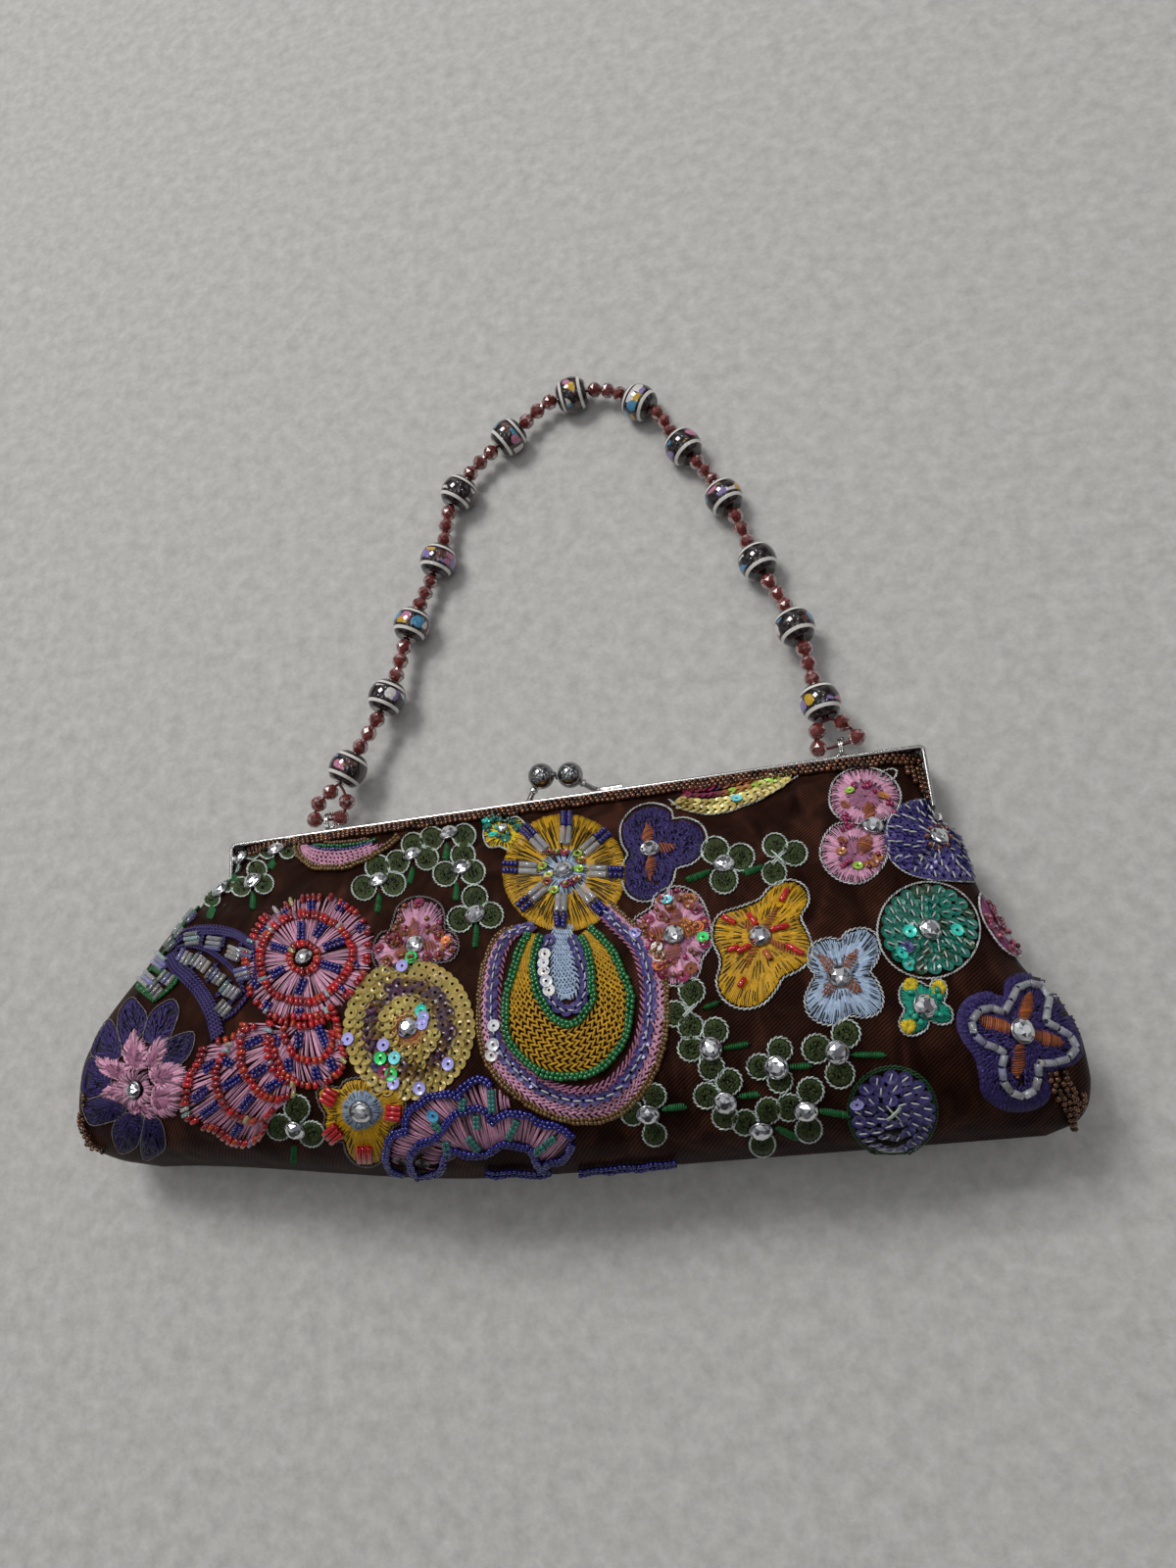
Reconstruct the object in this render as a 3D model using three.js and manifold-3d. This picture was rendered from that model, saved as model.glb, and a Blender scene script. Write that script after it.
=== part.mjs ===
// A beaded evening bag lying on its back: a padded satin body on a metal kiss-lock frame,
// with a strung handle of large round beads and small faceted ones.
// Millimetres, +Z up. +X runs along the frame, +Y towards the handle, -Y towards the bag's bottom.
import * as THREE from 'three';
import { mergeVertices } from 'three/addons/utils/BufferGeometryUtils.js';
import Module from 'manifold-3d';

const wasm = await Module();
wasm.setup();

// ---------------------------------------------------------------- driving dimensions
const FRAME_W = 176;          // outer width of the frame
const FRAME_TOP = 0.05;       // y of the frame's outer edge
const FRAME_MID_Z = 8.0;      // height of the joint between the two halves
const HALF_DEPTH = 5.15;      // depth of one half
const HALF_GAP = 0.15;        // half of the gap between the closed halves
const RAIL = 0.8;             // thickness of the rail's outer wall
const LIP = 1.0;              // width of the rail's face lip
const LIP_T = 0.9;            // thickness of the lip
const ARM_END_Y = -15.0;      // lower end of the side arms
const CORNER_R = 1.6;         // rounding of the frame's corners
const WALL = 1.8;             // padded satin wall
const MOUTH_Y = -1.3;         // top edge of the satin body
const BOTTOM_Y = -87.6;       // last section of the satin body
const LEFT_SHORT = 0.10;      // how much less the left end hangs down than the right
const FACE_POWER = 1.85;      // roundness of a section's face
const BALL_R = 2.85;          // kiss-lock balls
const STEM_R = 0.7;           // kiss-lock stems
const BEAD_R = 5.0;           // large beads
const BEAD_HALF = 4.25;       // half of a large bead's length
const BORE_R = 1.0;           // its thread hole
const SMALL_R = 2.2;          // small faceted beads
const THREAD_R = 0.45;        // the stringing thread
const RING_R = 2.4;           // handle rings, to the wire's middle
const RING_Y = 3.95;          // their middles
const RING_Z = 6.4;
const RING_WIRE = 0.45;
const LUG_R = 1.5;            // ring lugs on the back rail
const LUG_WIRE = 0.45;
const TRIM_GAP = 0.35;        // gap from the satin to the beaded trim
const TRIM_T = 1.2;           // thickness of the beaded trim
const CORNER_GAP = 0.6;       // the same gap at the strongly curved corners
const CORNER_T = 1.0;         // thickness of the bead clusters there

// Sections of the body, from the mouth down.
// y: distance below the frame; left, right: half widths; over: how far the left side swells out
// over the frame's arm; top, under: highest and lowest z before the back is flattened on the
// surface; square: squareness of the section.
const SECTIONS = [
  { y: -1.3, left: 86.0, right: 86.0, over: 0.0, top: 12.0, under: 4.0, square: 8.0 },
  { y: -5.0, left: 86.0, right: 86.0, over: 1.2, top: 15.8, under: 2.4, square: 7.0 },
  { y: -10.0, left: 86.0, right: 86.0, over: 4.3, top: 20.4, under: 0.9, square: 6.0 },
  { y: -15.0, left: 86.0, right: 86.0, over: 7.5, top: 24.4, under: -0.4, square: 5.2 },
  { y: -18.4, left: 86.4, right: 86.4, over: 9.0, top: 26.8, under: -1.4, square: 4.8 },
  { y: -22.0, left: 95.0, right: 89.6, over: 4.0, top: 29.2, under: -2.2, square: 4.5 },
  { y: -28.0, left: 102.5, right: 91.6, over: 1.0, top: 32.6, under: -3.0, square: 4.2 },
  { y: -36.0, left: 107.5, right: 93.4, over: 0.0, top: 36.4, under: -4.0, square: 4.0 },
  { y: -45.0, left: 113.5, right: 95.6, over: 0.0, top: 39.6, under: -4.5, square: 4.0 },
  { y: -54.0, left: 118.6, right: 99.0, over: 0.0, top: 41.6, under: -5.0, square: 4.0 },
  { y: -62.0, left: 121.2, right: 104.6, over: 0.0, top: 42.4, under: -5.0, square: 4.0 },
  { y: -70.0, left: 121.6, right: 107.6, over: 0.0, top: 41.6, under: -4.2, square: 4.0 },
  { y: -76.5, left: 121.0, right: 107.8, over: 0.0, top: 38.6, under: -2.0, square: 3.9 },
  { y: -81.5, left: 118.6, right: 106.8, over: 0.0, top: 33.8, under: 1.0, square: 3.8 },
  { y: -85.3, left: 112.0, right: 104.0, over: 0.0, top: 27.4, under: 5.2, square: 3.6 },
  { y: -87.6, left: 102.0, right: 97.5, over: 0.0, top: 20.4, under: 10.4, square: 3.4 },
];
const ARM_CLEAR = 14.6;       // the swelling over the arm starts at this height
const ARM_FULL = 17.4;        // and is whole at this one

// Soft dents and swells of the front. x, y: middle; rx, ry: reach; turn: degrees; depth: inward.
const DENTS = [
  { x: -74, y: -18, rx: 17, ry: 6, turn: -18, depth: 1.5 },
  { x: -45, y: -12, rx: 20, ry: 5, turn: 6, depth: 1.0 },
  { x: 34, y: -15, rx: 22, ry: 6, turn: -8, depth: 1.0 },
  { x: 66, y: -30, rx: 16, ry: 7, turn: 30, depth: 1.2 },
  { x: 84, y: -42, rx: 20, ry: 6, turn: 55, depth: 1.4 },
  { x: -84, y: -48, rx: 9, ry: 16, turn: 20, depth: 1.5 },
  { x: -30, y: -44, rx: 8, ry: 22, turn: -10, depth: 0.8 },
  { x: 40, y: -60, rx: 9, ry: 18, turn: 15, depth: 0.9 },
  { x: 22, y: -80, rx: 12, ry: 5, turn: 0, depth: 1.3 },
  { x: -66, y: -80, rx: 14, ry: 5, turn: 4, depth: 1.3 },
  { x: 66, y: -78, rx: 14, ry: 6, turn: -6, depth: 1.2 },
  { x: 3, y: -52, rx: 26, ry: 20, turn: 0, depth: -0.9 },
];

// Middles of the large beads, from the left end of the handle to the right end.
const BEADS = [
  { x: -56.6, y: 17.2, z: 9.0 },
  { x: -46.0, y: 36.4, z: 7.4 },
  { x: -39.0, y: 57.4, z: 5.8 },
  { x: -31.1, y: 76.1, z: 5.0 },
  { x: -24.2, y: 96.5, z: 5.0 },
  { x: -8.7, y: 111.4, z: 5.0 },
  { x: 10.6, y: 121.0, z: 5.0 },
  { x: 29.4, y: 113.8, z: 5.0 },
  { x: 40.1, y: 96.8, z: 5.0 },
  { x: 49.2, y: 79.0, z: 5.0 },
  { x: 55.7, y: 58.1, z: 5.5 },
  { x: 62.7, y: 37.3, z: 7.2 },
  { x: 66.1, y: 15.5, z: 9.0 },
];

// The two end loops: thread route from the large bead round through the ring and back.
// bead: 1 where a small bead sits.
const LOOP_LEFT = [
  { x: -59.2, y: 12.6, z: 9.0, bead: 0 },
  { x: -61.6, y: 11.5, z: 9.0, bead: 1 },
  { x: -65.0, y: 8.8, z: 8.8, bead: 1 },
  { x: -66.4, y: 4.8, z: 8.1, bead: 1 },
  { x: -62.8, y: 4.5, z: 7.6, bead: 0 },
  { x: -59.2, y: 4.4, z: 8.0, bead: 1 },
  { x: -57.1, y: 8.2, z: 8.8, bead: 1 },
];
const LOOP_RIGHT = [
  { x: 67.3, y: 10.2, z: 9.0, bead: 0 },
  { x: 70.6, y: 9.4, z: 9.0, bead: 1 },
  { x: 73.4, y: 5.7, z: 8.2, bead: 1 },
  { x: 69.4, y: 4.5, z: 7.6, bead: 0 },
  { x: 64.0, y: 4.2, z: 8.0, bead: 1 },
  { x: 64.3, y: 8.35, z: 8.8, bead: 1 },
];
const RING_LEFT_X = -62.8;
const RING_RIGHT_X = 69.4;

// Whole object moved so that its origin is at the middle of its footprint.
const SHIFT_X = 6.84;
const SHIFT_Y = -19.11;

// ---------------------------------------------------------------- small helpers
const DEG = Math.PI / 180;
const clamp = (v, a, b) => Math.min(b, Math.max(a, v));
const smooth = (a, b, v) => { const t = clamp((v - a) / (b - a), 0, 1); return t * t * (3 - 2 * t); };

// Monotone cubic through a table's column, by distance below the frame.
function columnAt(rows, name, y) {
  const n = rows.length;
  const X = (i) => -rows[i].y, Y = (i) => rows[i][name];
  const x = clamp(-y, X(0), X(n - 1));
  let k = 0;
  while (k < n - 2 && x > X(k + 1)) k++;
  const slope = (i) => (Y(i + 1) - Y(i)) / (X(i + 1) - X(i));
  const tangent = (i) => {
    if (i === 0) return slope(0);
    if (i === n - 1) return slope(n - 2);
    const a = slope(i - 1), b = slope(i);
    return a * b <= 0 ? 0 : 2 * a * b / (a + b);
  };
  const h = X(k + 1) - X(k), t = (x - X(k)) / h;
  const t2 = t * t, t3 = t2 * t;
  return Y(k) * (2 * t3 - 3 * t2 + 1) + tangent(k) * h * (t3 - 2 * t2 + t)
    + Y(k + 1) * (3 * t2 - 2 * t3) + tangent(k + 1) * h * (t3 - t2);
}

function dentAt(x, y) {
  let d = 0;
  for (const s of DENTS) {
    const a = s.turn * DEG, dx = x - s.x, dy = y - s.y;
    const u = (dx * Math.cos(a) + dy * Math.sin(a)) / s.rx;
    const v = (-dx * Math.sin(a) + dy * Math.cos(a)) / s.ry;
    d += s.depth * Math.exp(-(u * u + v * v));
  }
  return d;
}

// A point of the body: across runs -1 (left side) to 1 (right side), front or back face.
function bodyPoint(across, y, front, inset) {
  const w = (across < 0 ? columnAt(SECTIONS, 'left', y) : columnAt(SECTIONS, 'right', y)) - inset;
  const top = columnAt(SECTIONS, 'top', y) - inset;
  const under = columnAt(SECTIONS, 'under', y) + inset;
  const square = columnAt(SECTIONS, 'square', y);
  const mid = (top + under) / 2, half = (top - under) / 2;
  const rise = half * Math.pow(Math.max(0, 1 - Math.pow(Math.abs(across), square)), 1 / FACE_POWER);
  const flat = across * w;
  const settle = smooth(-3, -14, y) * smooth(BOTTOM_Y - 1, BOTTOM_Y + 7, y);
  const z = Math.max(front ? mid + rise - dentAt(flat, y) * settle * (rise / half) : mid - rise, inset);
  const swell = across < 0 && front ? smooth(ARM_CLEAR, ARM_FULL, z) * smooth(0.5, 0.9, -across) : 0;
  const x = flat - swell * columnAt(SECTIONS, 'over', y);
  return new THREE.Vector3(x, y * (1 - LEFT_SHORT * smooth(-10, -108, x)), z);
}

function geometryFrom(points, triangles) {
  const g = new THREE.BufferGeometry();
  g.setAttribute('position', new THREE.BufferAttribute(new Float32Array(points.flatMap((p) => [p.x, p.y, p.z])), 3));
  g.setIndex(triangles);
  return g;
}

function toSolid(geometry) {
  const g = geometry.clone();
  g.deleteAttribute('normal');
  if (g.getAttribute('uv')) g.deleteAttribute('uv');
  const m = mergeVertices(g, 1e-4);
  return new wasm.Manifold(new wasm.Mesh({
    numProp: 3,
    vertProperties: new Float32Array(m.getAttribute('position').array),
    triVerts: new Uint32Array(m.index.array),
  }));
}

function toGeometry(solid) {
  const m = solid.getMesh();
  const g = new THREE.BufferGeometry();
  g.setAttribute('position', new THREE.BufferAttribute(new Float32Array(m.vertProperties), 3));
  g.setIndex(Array.from(m.triVerts));
  g.computeVertexNormals();
  return g;
}

const joined = (solids) => solids.reduce((a, b) => a.add(b));

function placed(geometry, position, from, to) {
  const q = new THREE.Quaternion().setFromUnitVectors(from, to.clone().normalize());
  return geometry.clone().applyQuaternion(q).translate(position.x, position.y, position.z);
}
const UP_Y = new THREE.Vector3(0, 1, 0);

function rod(a, b, radius, sides) {
  const d = new THREE.Vector3().subVectors(b, a);
  return placed(new THREE.CylinderGeometry(radius, radius, d.length(), sides), a.clone().add(b).multiplyScalar(0.5), UP_Y, d);
}
const ball = (c, radius, w, h) => new THREE.SphereGeometry(radius, w, h).translate(c.x, c.y, c.z);
const V = (x, y, z) => new THREE.Vector3(x, y, z);

// ---------------------------------------------------------------- satin body
function bodyGeometry() {
  const ROWS = 19, HALF = 20;
  const points = [], triangles = [];
  const ring = (y, inset) => {
    const start = points.length;
    for (let j = 0; j < 2 * HALF; j++) {
      const front = j <= HALF;
      const turn = (front ? j : 2 * HALF - j) / HALF;
      const across = Math.sin((turn - 0.5) * Math.PI);
      const sideways = j === 0 || j === HALF;
      points.push(bodyPoint(sideways ? Math.sign(across) : across, y, front, inset));
    }
    return start;
  };
  const steps = [];
  for (let i = 0; i < ROWS; i++) {
    const t = i / (ROWS - 1);
    steps.push(t < 0.25 ? t * 0.9 : t);
  }
  const outer = steps.map((t) => ring(MOUTH_Y + (BOTTOM_Y - MOUTH_Y) * t, 0));
  const inner = steps.map((t) => ring(MOUTH_Y + (BOTTOM_Y + WALL - MOUTH_Y) * t, WALL));
  const N = 2 * HALF;
  const quad = (a, b, c, d) => triangles.push(a, b, c, a, c, d);
  for (let i = 0; i < ROWS - 1; i++) {
    for (let j = 0; j < N; j++) {
      const k = (j + 1) % N;
      quad(outer[i] + j, outer[i + 1] + j, outer[i + 1] + k, outer[i] + k);
      quad(inner[i] + j, inner[i] + k, inner[i + 1] + k, inner[i + 1] + j);
    }
  }
  for (let j = 0; j < N; j++) {           // the mouth's edge
    const k = (j + 1) % N;
    quad(outer[0] + j, outer[0] + k, inner[0] + k, inner[0] + j);
  }
  const close = (start, flip) => {        // the bottom seam, front to back
    for (let j = 0; j < HALF; j++) {
      const a = start + j, b = start + j + 1;
      const c = start + ((N - j - 1) % N), d = start + ((N - j) % N);
      const t = [];
      if (b !== c) t.push([a, c, b]);
      if (a !== d) t.push([a, d, c]);
      for (const f of t) triangles.push(...(flip ? [f[0], f[2], f[1]] : f));
    }
  };
  close(outer[ROWS - 1], false);
  close(inner[ROWS - 1], true);
  return geometryFrom(points, triangles);
}

// ---------------------------------------------------------------- a band lying on the body
function bandGeometry(place, nu, nv, gap, thick) {
  const points = [], triangles = [];
  const at = (u, v) => {
    const p = place(u, v), e = 0.01;
    const pu = place(Math.min(1, u + e), v), mu = place(Math.max(0, u - e), v);
    const pv = place(u, Math.min(1, v + e)), mv = place(u, Math.max(0, v - e));
    const n = new THREE.Vector3().crossVectors(pu.sub(mu), pv.sub(mv)).normalize();
    return { p, n };
  };
  const grid = (lift) => {
    const start = points.length;
    for (let i = 0; i <= nu; i++) for (let j = 0; j <= nv; j++) {
      const { p, n } = at(i / nu, j / nv);
      const edge = lift > gap && (j === 0 || j === nv) ? (lift - gap) * 0.35 : 0;
      points.push(p.clone().addScaledVector(n, lift - edge));
    }
    return start;
  };
  const low = grid(gap), high = grid(gap + thick), M = nv + 1;
  const quad = (a, b, c, d) => triangles.push(a, b, c, a, c, d);
  for (let i = 0; i < nu; i++) for (let j = 0; j < nv; j++) {
    const k = i * M + j;
    quad(high + k, high + k + M, high + k + M + 1, high + k + 1);
    quad(low + k, low + k + 1, low + k + M + 1, low + k + M);
  }
  for (let i = 0; i < nu; i++) {
    const k = i * M, e = i * M + nv;
    quad(low + k, low + k + M, high + k + M, high + k);
    quad(high + e, high + e + M, low + e + M, low + e);
  }
  for (let j = 0; j < nv; j++) {
    const k = j, e = nu * M + j;
    quad(high + k, high + k + 1, low + k + 1, low + k);
    quad(low + e, low + e + 1, high + e + 1, high + e);
  }
  return geometryFrom(points, triangles);
}
const between = (a, b, t) => a + (b - a) * t;

// Beaded rows under the rail, along the whole front.
const trimPlace = (u, v) => {
  const y = between(-5.2, -2.2, v), w = 84.2;
  return bodyPoint(between(-w, w, u) / columnAt(SECTIONS, 'right', y), y, true, 0);
};
// The same rows turning down the inside of the right arm.
const trimArmPlace = (u, v) => {
  const y = between(-12.6, -6.0, v);
  return bodyPoint(between(82.0, 84.8, u) / columnAt(SECTIONS, 'right', y), y, true, 0);
};
// Gathered bead clusters on the lower side corners.
const cornerRight = (u, v) => {
  const y = between(-86.0, -75.0, v);
  return bodyPoint(Math.sin(between(65, 82, u) * DEG), y, true, 0);
};
const cornerLeft = (u, v) => {
  const y = between(-85.0, -64.0, v);
  return bodyPoint(-Math.sin(between(82, 68, u) * DEG), y, true, 0);
};

// ---------------------------------------------------------------- frame halves
function railShape(width, bottom) {
  const w = FRAME_W / 2, r = CORNER_R, s = new THREE.Shape();
  s.moveTo(-w, bottom);
  s.lineTo(-w, FRAME_TOP - r);
  s.quadraticCurveTo(-w, FRAME_TOP, -w + r, FRAME_TOP);
  s.lineTo(w - r, FRAME_TOP);
  s.quadraticCurveTo(w, FRAME_TOP, w, FRAME_TOP - r);
  s.lineTo(w, bottom);
  s.lineTo(w - width, bottom);
  s.lineTo(w - width, FRAME_TOP - width);
  s.lineTo(-w + width, FRAME_TOP - width);
  s.lineTo(-w + width, bottom);
  s.closePath();
  return s;
}
function slab(shape, z0, z1) {
  return new THREE.ExtrudeGeometry(shape, { depth: z1 - z0, bevelEnabled: false, curveSegments: 3 }).translate(0, 0, z0);
}
function halfFrame(sign) {
  const near = FRAME_MID_Z + sign * HALF_GAP, far = FRAME_MID_Z + sign * HALF_DEPTH;
  const lipFrom = far - sign * LIP_T, inner = near + sign * 0.8;
  const lo = Math.min, hi = Math.max;
  const parts = [
    toSolid(slab(railShape(RAIL, ARM_END_Y), lo(near, far), hi(near, far))),
    toSolid(slab(railShape(LIP, ARM_END_Y), lo(lipFrom, far), hi(lipFrom, far))),
    toSolid(new THREE.BoxGeometry(140, 4.2, 0.8).translate(0, FRAME_TOP - 2.3, (near + inner) / 2)),
  ];
  return parts;
}
function stud(route, ballAt, tip) {
  const parts = [];
  for (let i = 0; i + 1 < route.length; i++) {
    parts.push(toSolid(rod(route[i], route[i + 1], STEM_R, 8)));
    if (i > 0) parts.push(toSolid(ball(route[i], STEM_R, 8, 6)));
  }
  const last = route[route.length - 1], d = new THREE.Vector3().subVectors(ballAt, last).normalize();
  parts.push(toSolid(rod(last, ballAt, STEM_R, 8)));
  const a = ballAt.clone().addScaledVector(d, -BALL_R - 0.75), b = ballAt.clone().addScaledVector(d, -BALL_R + 0.35);
  parts.push(toSolid(rod(a, b, 1.15, 10)));
  parts.push(toSolid(ball(ballAt, BALL_R, 16, 10)));
  parts.push(toSolid(ball(tip, 0.75, 8, 6)));
  return parts;
}
function frameFront() {
  const at = V(-2.95, 5.1, 15.0);
  return toGeometry(joined([
    ...halfFrame(1),
    ...stud([V(-7.4, -0.35, 12.2), V(-5.7, 1.9, 13.3)], at, V(0.05, 4.9, 15.6)),
  ]));
}
function frameBack() {
  const at = V(3.75, 5.2, 12.6);
  const lug = (x) => toSolid(new THREE.TorusGeometry(LUG_R, LUG_WIRE, 6, 12).translate(x, 1.45, 5.6));
  return toGeometry(joined([
    ...halfFrame(-1),
    lug(RING_LEFT_X), lug(RING_RIGHT_X),
    toSolid(new THREE.BoxGeometry(5.0, 1.9, 0.9).translate(12.2, 0.6, 6.9)),
    ...stud([V(15.0, 1.5, 6.9), V(7.9, 1.5, 7.1), V(6.2, 2.7, 9.2)], at, V(0.75, 5.4, 12.0)),
  ]));
}
function hinge(side) {
  const x0 = side * 87.2, x1 = side * 89.2, y = ARM_END_Y - 1.8;
  return toGeometry(joined([
    toSolid(rod(V(x0, y, FRAME_MID_Z), V(x1, y, FRAME_MID_Z), 1.35, 12)),
    toSolid(rod(V(side * 88.0, y, FRAME_MID_Z - 2.2), V(side * 88.0, y, FRAME_MID_Z + 2.2), 0.7, 8)),
  ]));
}
function handleRing(x) {
  return new THREE.TorusGeometry(RING_R, RING_WIRE, 6, 18).rotateY(Math.PI / 2).translate(x, RING_Y, RING_Z);
}

// ---------------------------------------------------------------- beads
function largeBead() {
  const profile = [new THREE.Vector2(BORE_R, -BEAD_HALF)];
  for (const a of [-58, -38, -14, 14, 38, 58]) {
    profile.push(new THREE.Vector2(BEAD_R * Math.pow(Math.cos(a * DEG), 0.85), BEAD_HALF * Math.sin(a * DEG) / Math.sin(58 * DEG)));
  }
  profile.push(new THREE.Vector2(BORE_R, BEAD_HALF), new THREE.Vector2(BORE_R, -BEAD_HALF));
  return new THREE.LatheGeometry(profile, 14);
}
const beadAt = BEADS.map((b) => V(b.x, b.y, b.z));
const loopEnd = { first: V(-59.6, 12.2, 9.0), last: V(67.3, 8.6, 9.0) };
const beadAxis = beadAt.map((p, i) => {
  const a = i === 0 ? loopEnd.first : beadAt[i - 1];
  const b = i === beadAt.length - 1 ? loopEnd.last : beadAt[i + 1];
  return new THREE.Vector3().subVectors(b, a).normalize();
});

// A closed skin of round stations along a level route: { at, along, r } for each station.
function strung(stations, sides, looped) {
  const points = [], triangles = [], up = new THREE.Vector3(0, 0, 1);
  for (const s of stations) {
    const side = new THREE.Vector3().crossVectors(up, s.along).normalize();
    const over = new THREE.Vector3().crossVectors(s.along, side).normalize();
    for (let k = 0; k < sides; k++) {
      const a = 2 * Math.PI * (k + 0.5) / sides;
      points.push(s.at.clone().addScaledVector(side, s.r * Math.cos(a)).addScaledVector(over, s.r * Math.sin(a)));
    }
  }
  const n = stations.length;
  for (let i = 0; i < (looped ? n : n - 1); i++) {
    for (let k = 0; k < sides; k++) {
      const a = i * sides + k, b = i * sides + (k + 1) % sides;
      const c = ((i + 1) % n) * sides + (k + 1) % sides, d = ((i + 1) % n) * sides + k;
      triangles.push(a, b, c, a, c, d);
    }
  }
  if (!looped) {
    for (let k = 1; k + 1 < sides; k++) {
      triangles.push(0, k + 1, k);
      const e = (n - 1) * sides;
      triangles.push(e, e + k, e + k + 1);
    }
  }
  return geometryFrom(points, triangles);
}

function beadRun(i) {
  const a = beadAt[i].clone().addScaledVector(beadAxis[i], BEAD_HALF);
  const b = beadAt[i + 1].clone().addScaledVector(beadAxis[i + 1], -BEAD_HALF);
  const gap = a.distanceTo(b);
  const curve = new THREE.CubicBezierCurve3(a, a.clone().addScaledVector(beadAxis[i], gap / 3),
    b.clone().addScaledVector(beadAxis[i + 1], -gap / 3), b);
  const total = curve.getLength(), length = (total - 0.8) / 3;
  const at = (s, r) => ({ at: curve.getPointAt(s / total), along: curve.getTangentAt(s / total), r });
  const stub = 1.4, first = (total - 3 * length) / 2;
  const stations = [
    { at: a.clone().addScaledVector(beadAxis[i], -stub), along: beadAxis[i], r: THREAD_R },
    at(first, THREAD_R), at(first, SMALL_R * 0.5),
  ];
  for (let k = 0; k < 3; k++) {
    const m = first + (k + 0.5) * length;
    if (k) stations.push(at(first + k * length, SMALL_R * 0.4));
    stations.push(at(m - length * 0.17, SMALL_R), at(m + length * 0.17, SMALL_R));
  }
  stations.push(at(total - first, SMALL_R * 0.5), at(total - first, THREAD_R));
  stations.push({ at: b.clone().addScaledVector(beadAxis[i + 1], stub), along: beadAxis[i + 1], r: THREAD_R });
  return strung(stations, 8, false);
}
function beadLoop(rows, bead, axis) {
  const inside = bead.clone().addScaledVector(axis, BEAD_HALF - 1.4);
  const mouth = bead.clone().addScaledVector(axis, BEAD_HALF + 0.5);
  const route = rows.map((r) => V(r.x, r.y, r.z));
  route[0] = mouth;
  const stations = [], h = 2.0;
  route.forEach((p, k) => {
    const next = route[(k + 1) % route.length], before = route[(k + route.length - 1) % route.length];
    const along = new THREE.Vector3().subVectors(next, before).normalize();
    const at = (s, r) => ({ at: p.clone().addScaledVector(along, s), along, r });
    if (rows[k].bead) {
      stations.push(at(-h, THREAD_R), at(-h, SMALL_R * 0.5), at(-h * 0.34, SMALL_R), at(h * 0.34, SMALL_R),
        at(h, SMALL_R * 0.5), at(h, THREAD_R));
    } else stations.push(at(0, THREAD_R));
  });
  return toGeometry(joined([toSolid(strung(stations, 8, true)), toSolid(rod(inside, mouth, THREAD_R, 8))]));
}

// ---------------------------------------------------------------- materials
const satin = new THREE.MeshStandardMaterial({ color: 0x3f2823, roughness: 0.55, metalness: 0 });
const metal = new THREE.MeshStandardMaterial({ color: 0xc9cacb, roughness: 0.2, metalness: 1 });
const bronze = new THREE.MeshStandardMaterial({ color: 0x6b4630, roughness: 0.35, metalness: 0.7 });
const darkGlass = new THREE.MeshStandardMaterial({ color: 0x2a1a18, roughness: 0.15, metalness: 0 });
const garnet = new THREE.MeshStandardMaterial({ color: 0x7a3a36, roughness: 0.2, metalness: 0 });

// ---------------------------------------------------------------- assembly
const bag = new THREE.Group();
bag.name = 'beaded_bag';
bag.position.set(SHIFT_X, SHIFT_Y, 0);
const put = (name, geometry, material) => {
  geometry.computeVertexNormals();
  const m = new THREE.Mesh(geometry, material);
  m.name = name;
  bag.add(m);
};

put('bag_body', bodyGeometry(), satin);
put('frame_front', frameFront(), metal);
put('frame_back', frameBack(), metal);
put('hinge_left', hinge(-1), metal);
put('hinge_right', hinge(1), metal);
put('ring_left', handleRing(RING_LEFT_X), metal);
put('ring_right', handleRing(RING_RIGHT_X), metal);
put('trim_rail', bandGeometry(trimPlace, 40, 2, TRIM_GAP, TRIM_T), bronze);
put('trim_arm', bandGeometry(trimArmPlace, 2, 5, TRIM_GAP, TRIM_T), bronze);
put('corner_beads_left', bandGeometry(cornerLeft, 5, 8, CORNER_GAP, CORNER_T), bronze);
put('corner_beads_right', bandGeometry(cornerRight, 5, 8, CORNER_GAP, CORNER_T), bronze);
beadAt.forEach((p, i) => {
  const n = String(i + 1).padStart(2, '0');
  put(`bead_${n}`, placed(largeBead(), p, UP_Y, beadAxis[i]), darkGlass);
});
for (let i = 0; i + 1 < beadAt.length; i++) {
  put(`bead_run_${String(i + 1).padStart(2, '0')}`, beadRun(i), garnet);
}
put('loop_left', beadLoop(LOOP_LEFT, beadAt[0], beadAxis[0].clone().negate()), garnet);
put('loop_right', beadLoop(LOOP_RIGHT, beadAt[beadAt.length - 1], beadAxis[beadAt.length - 1]), garnet);

bag.updateMatrixWorld(true);
export default bag;
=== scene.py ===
import math

import bpy
import numpy as np
from mathutils import Matrix, Vector
from mathutils.bvhtree import BVHTree

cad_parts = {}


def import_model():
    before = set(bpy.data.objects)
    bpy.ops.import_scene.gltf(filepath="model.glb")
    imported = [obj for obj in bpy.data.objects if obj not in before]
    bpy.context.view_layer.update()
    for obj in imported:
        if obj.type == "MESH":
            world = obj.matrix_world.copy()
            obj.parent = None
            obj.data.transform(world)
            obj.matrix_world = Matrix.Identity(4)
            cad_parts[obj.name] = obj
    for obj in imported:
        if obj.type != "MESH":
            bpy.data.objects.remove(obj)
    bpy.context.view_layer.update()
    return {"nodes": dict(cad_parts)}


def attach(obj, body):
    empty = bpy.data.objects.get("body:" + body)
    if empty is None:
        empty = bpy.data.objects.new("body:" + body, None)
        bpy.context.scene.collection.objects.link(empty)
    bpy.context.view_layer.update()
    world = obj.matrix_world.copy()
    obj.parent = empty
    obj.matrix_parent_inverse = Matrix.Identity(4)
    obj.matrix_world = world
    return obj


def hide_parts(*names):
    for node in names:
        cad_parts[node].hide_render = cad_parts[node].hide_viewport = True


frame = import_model()
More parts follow.
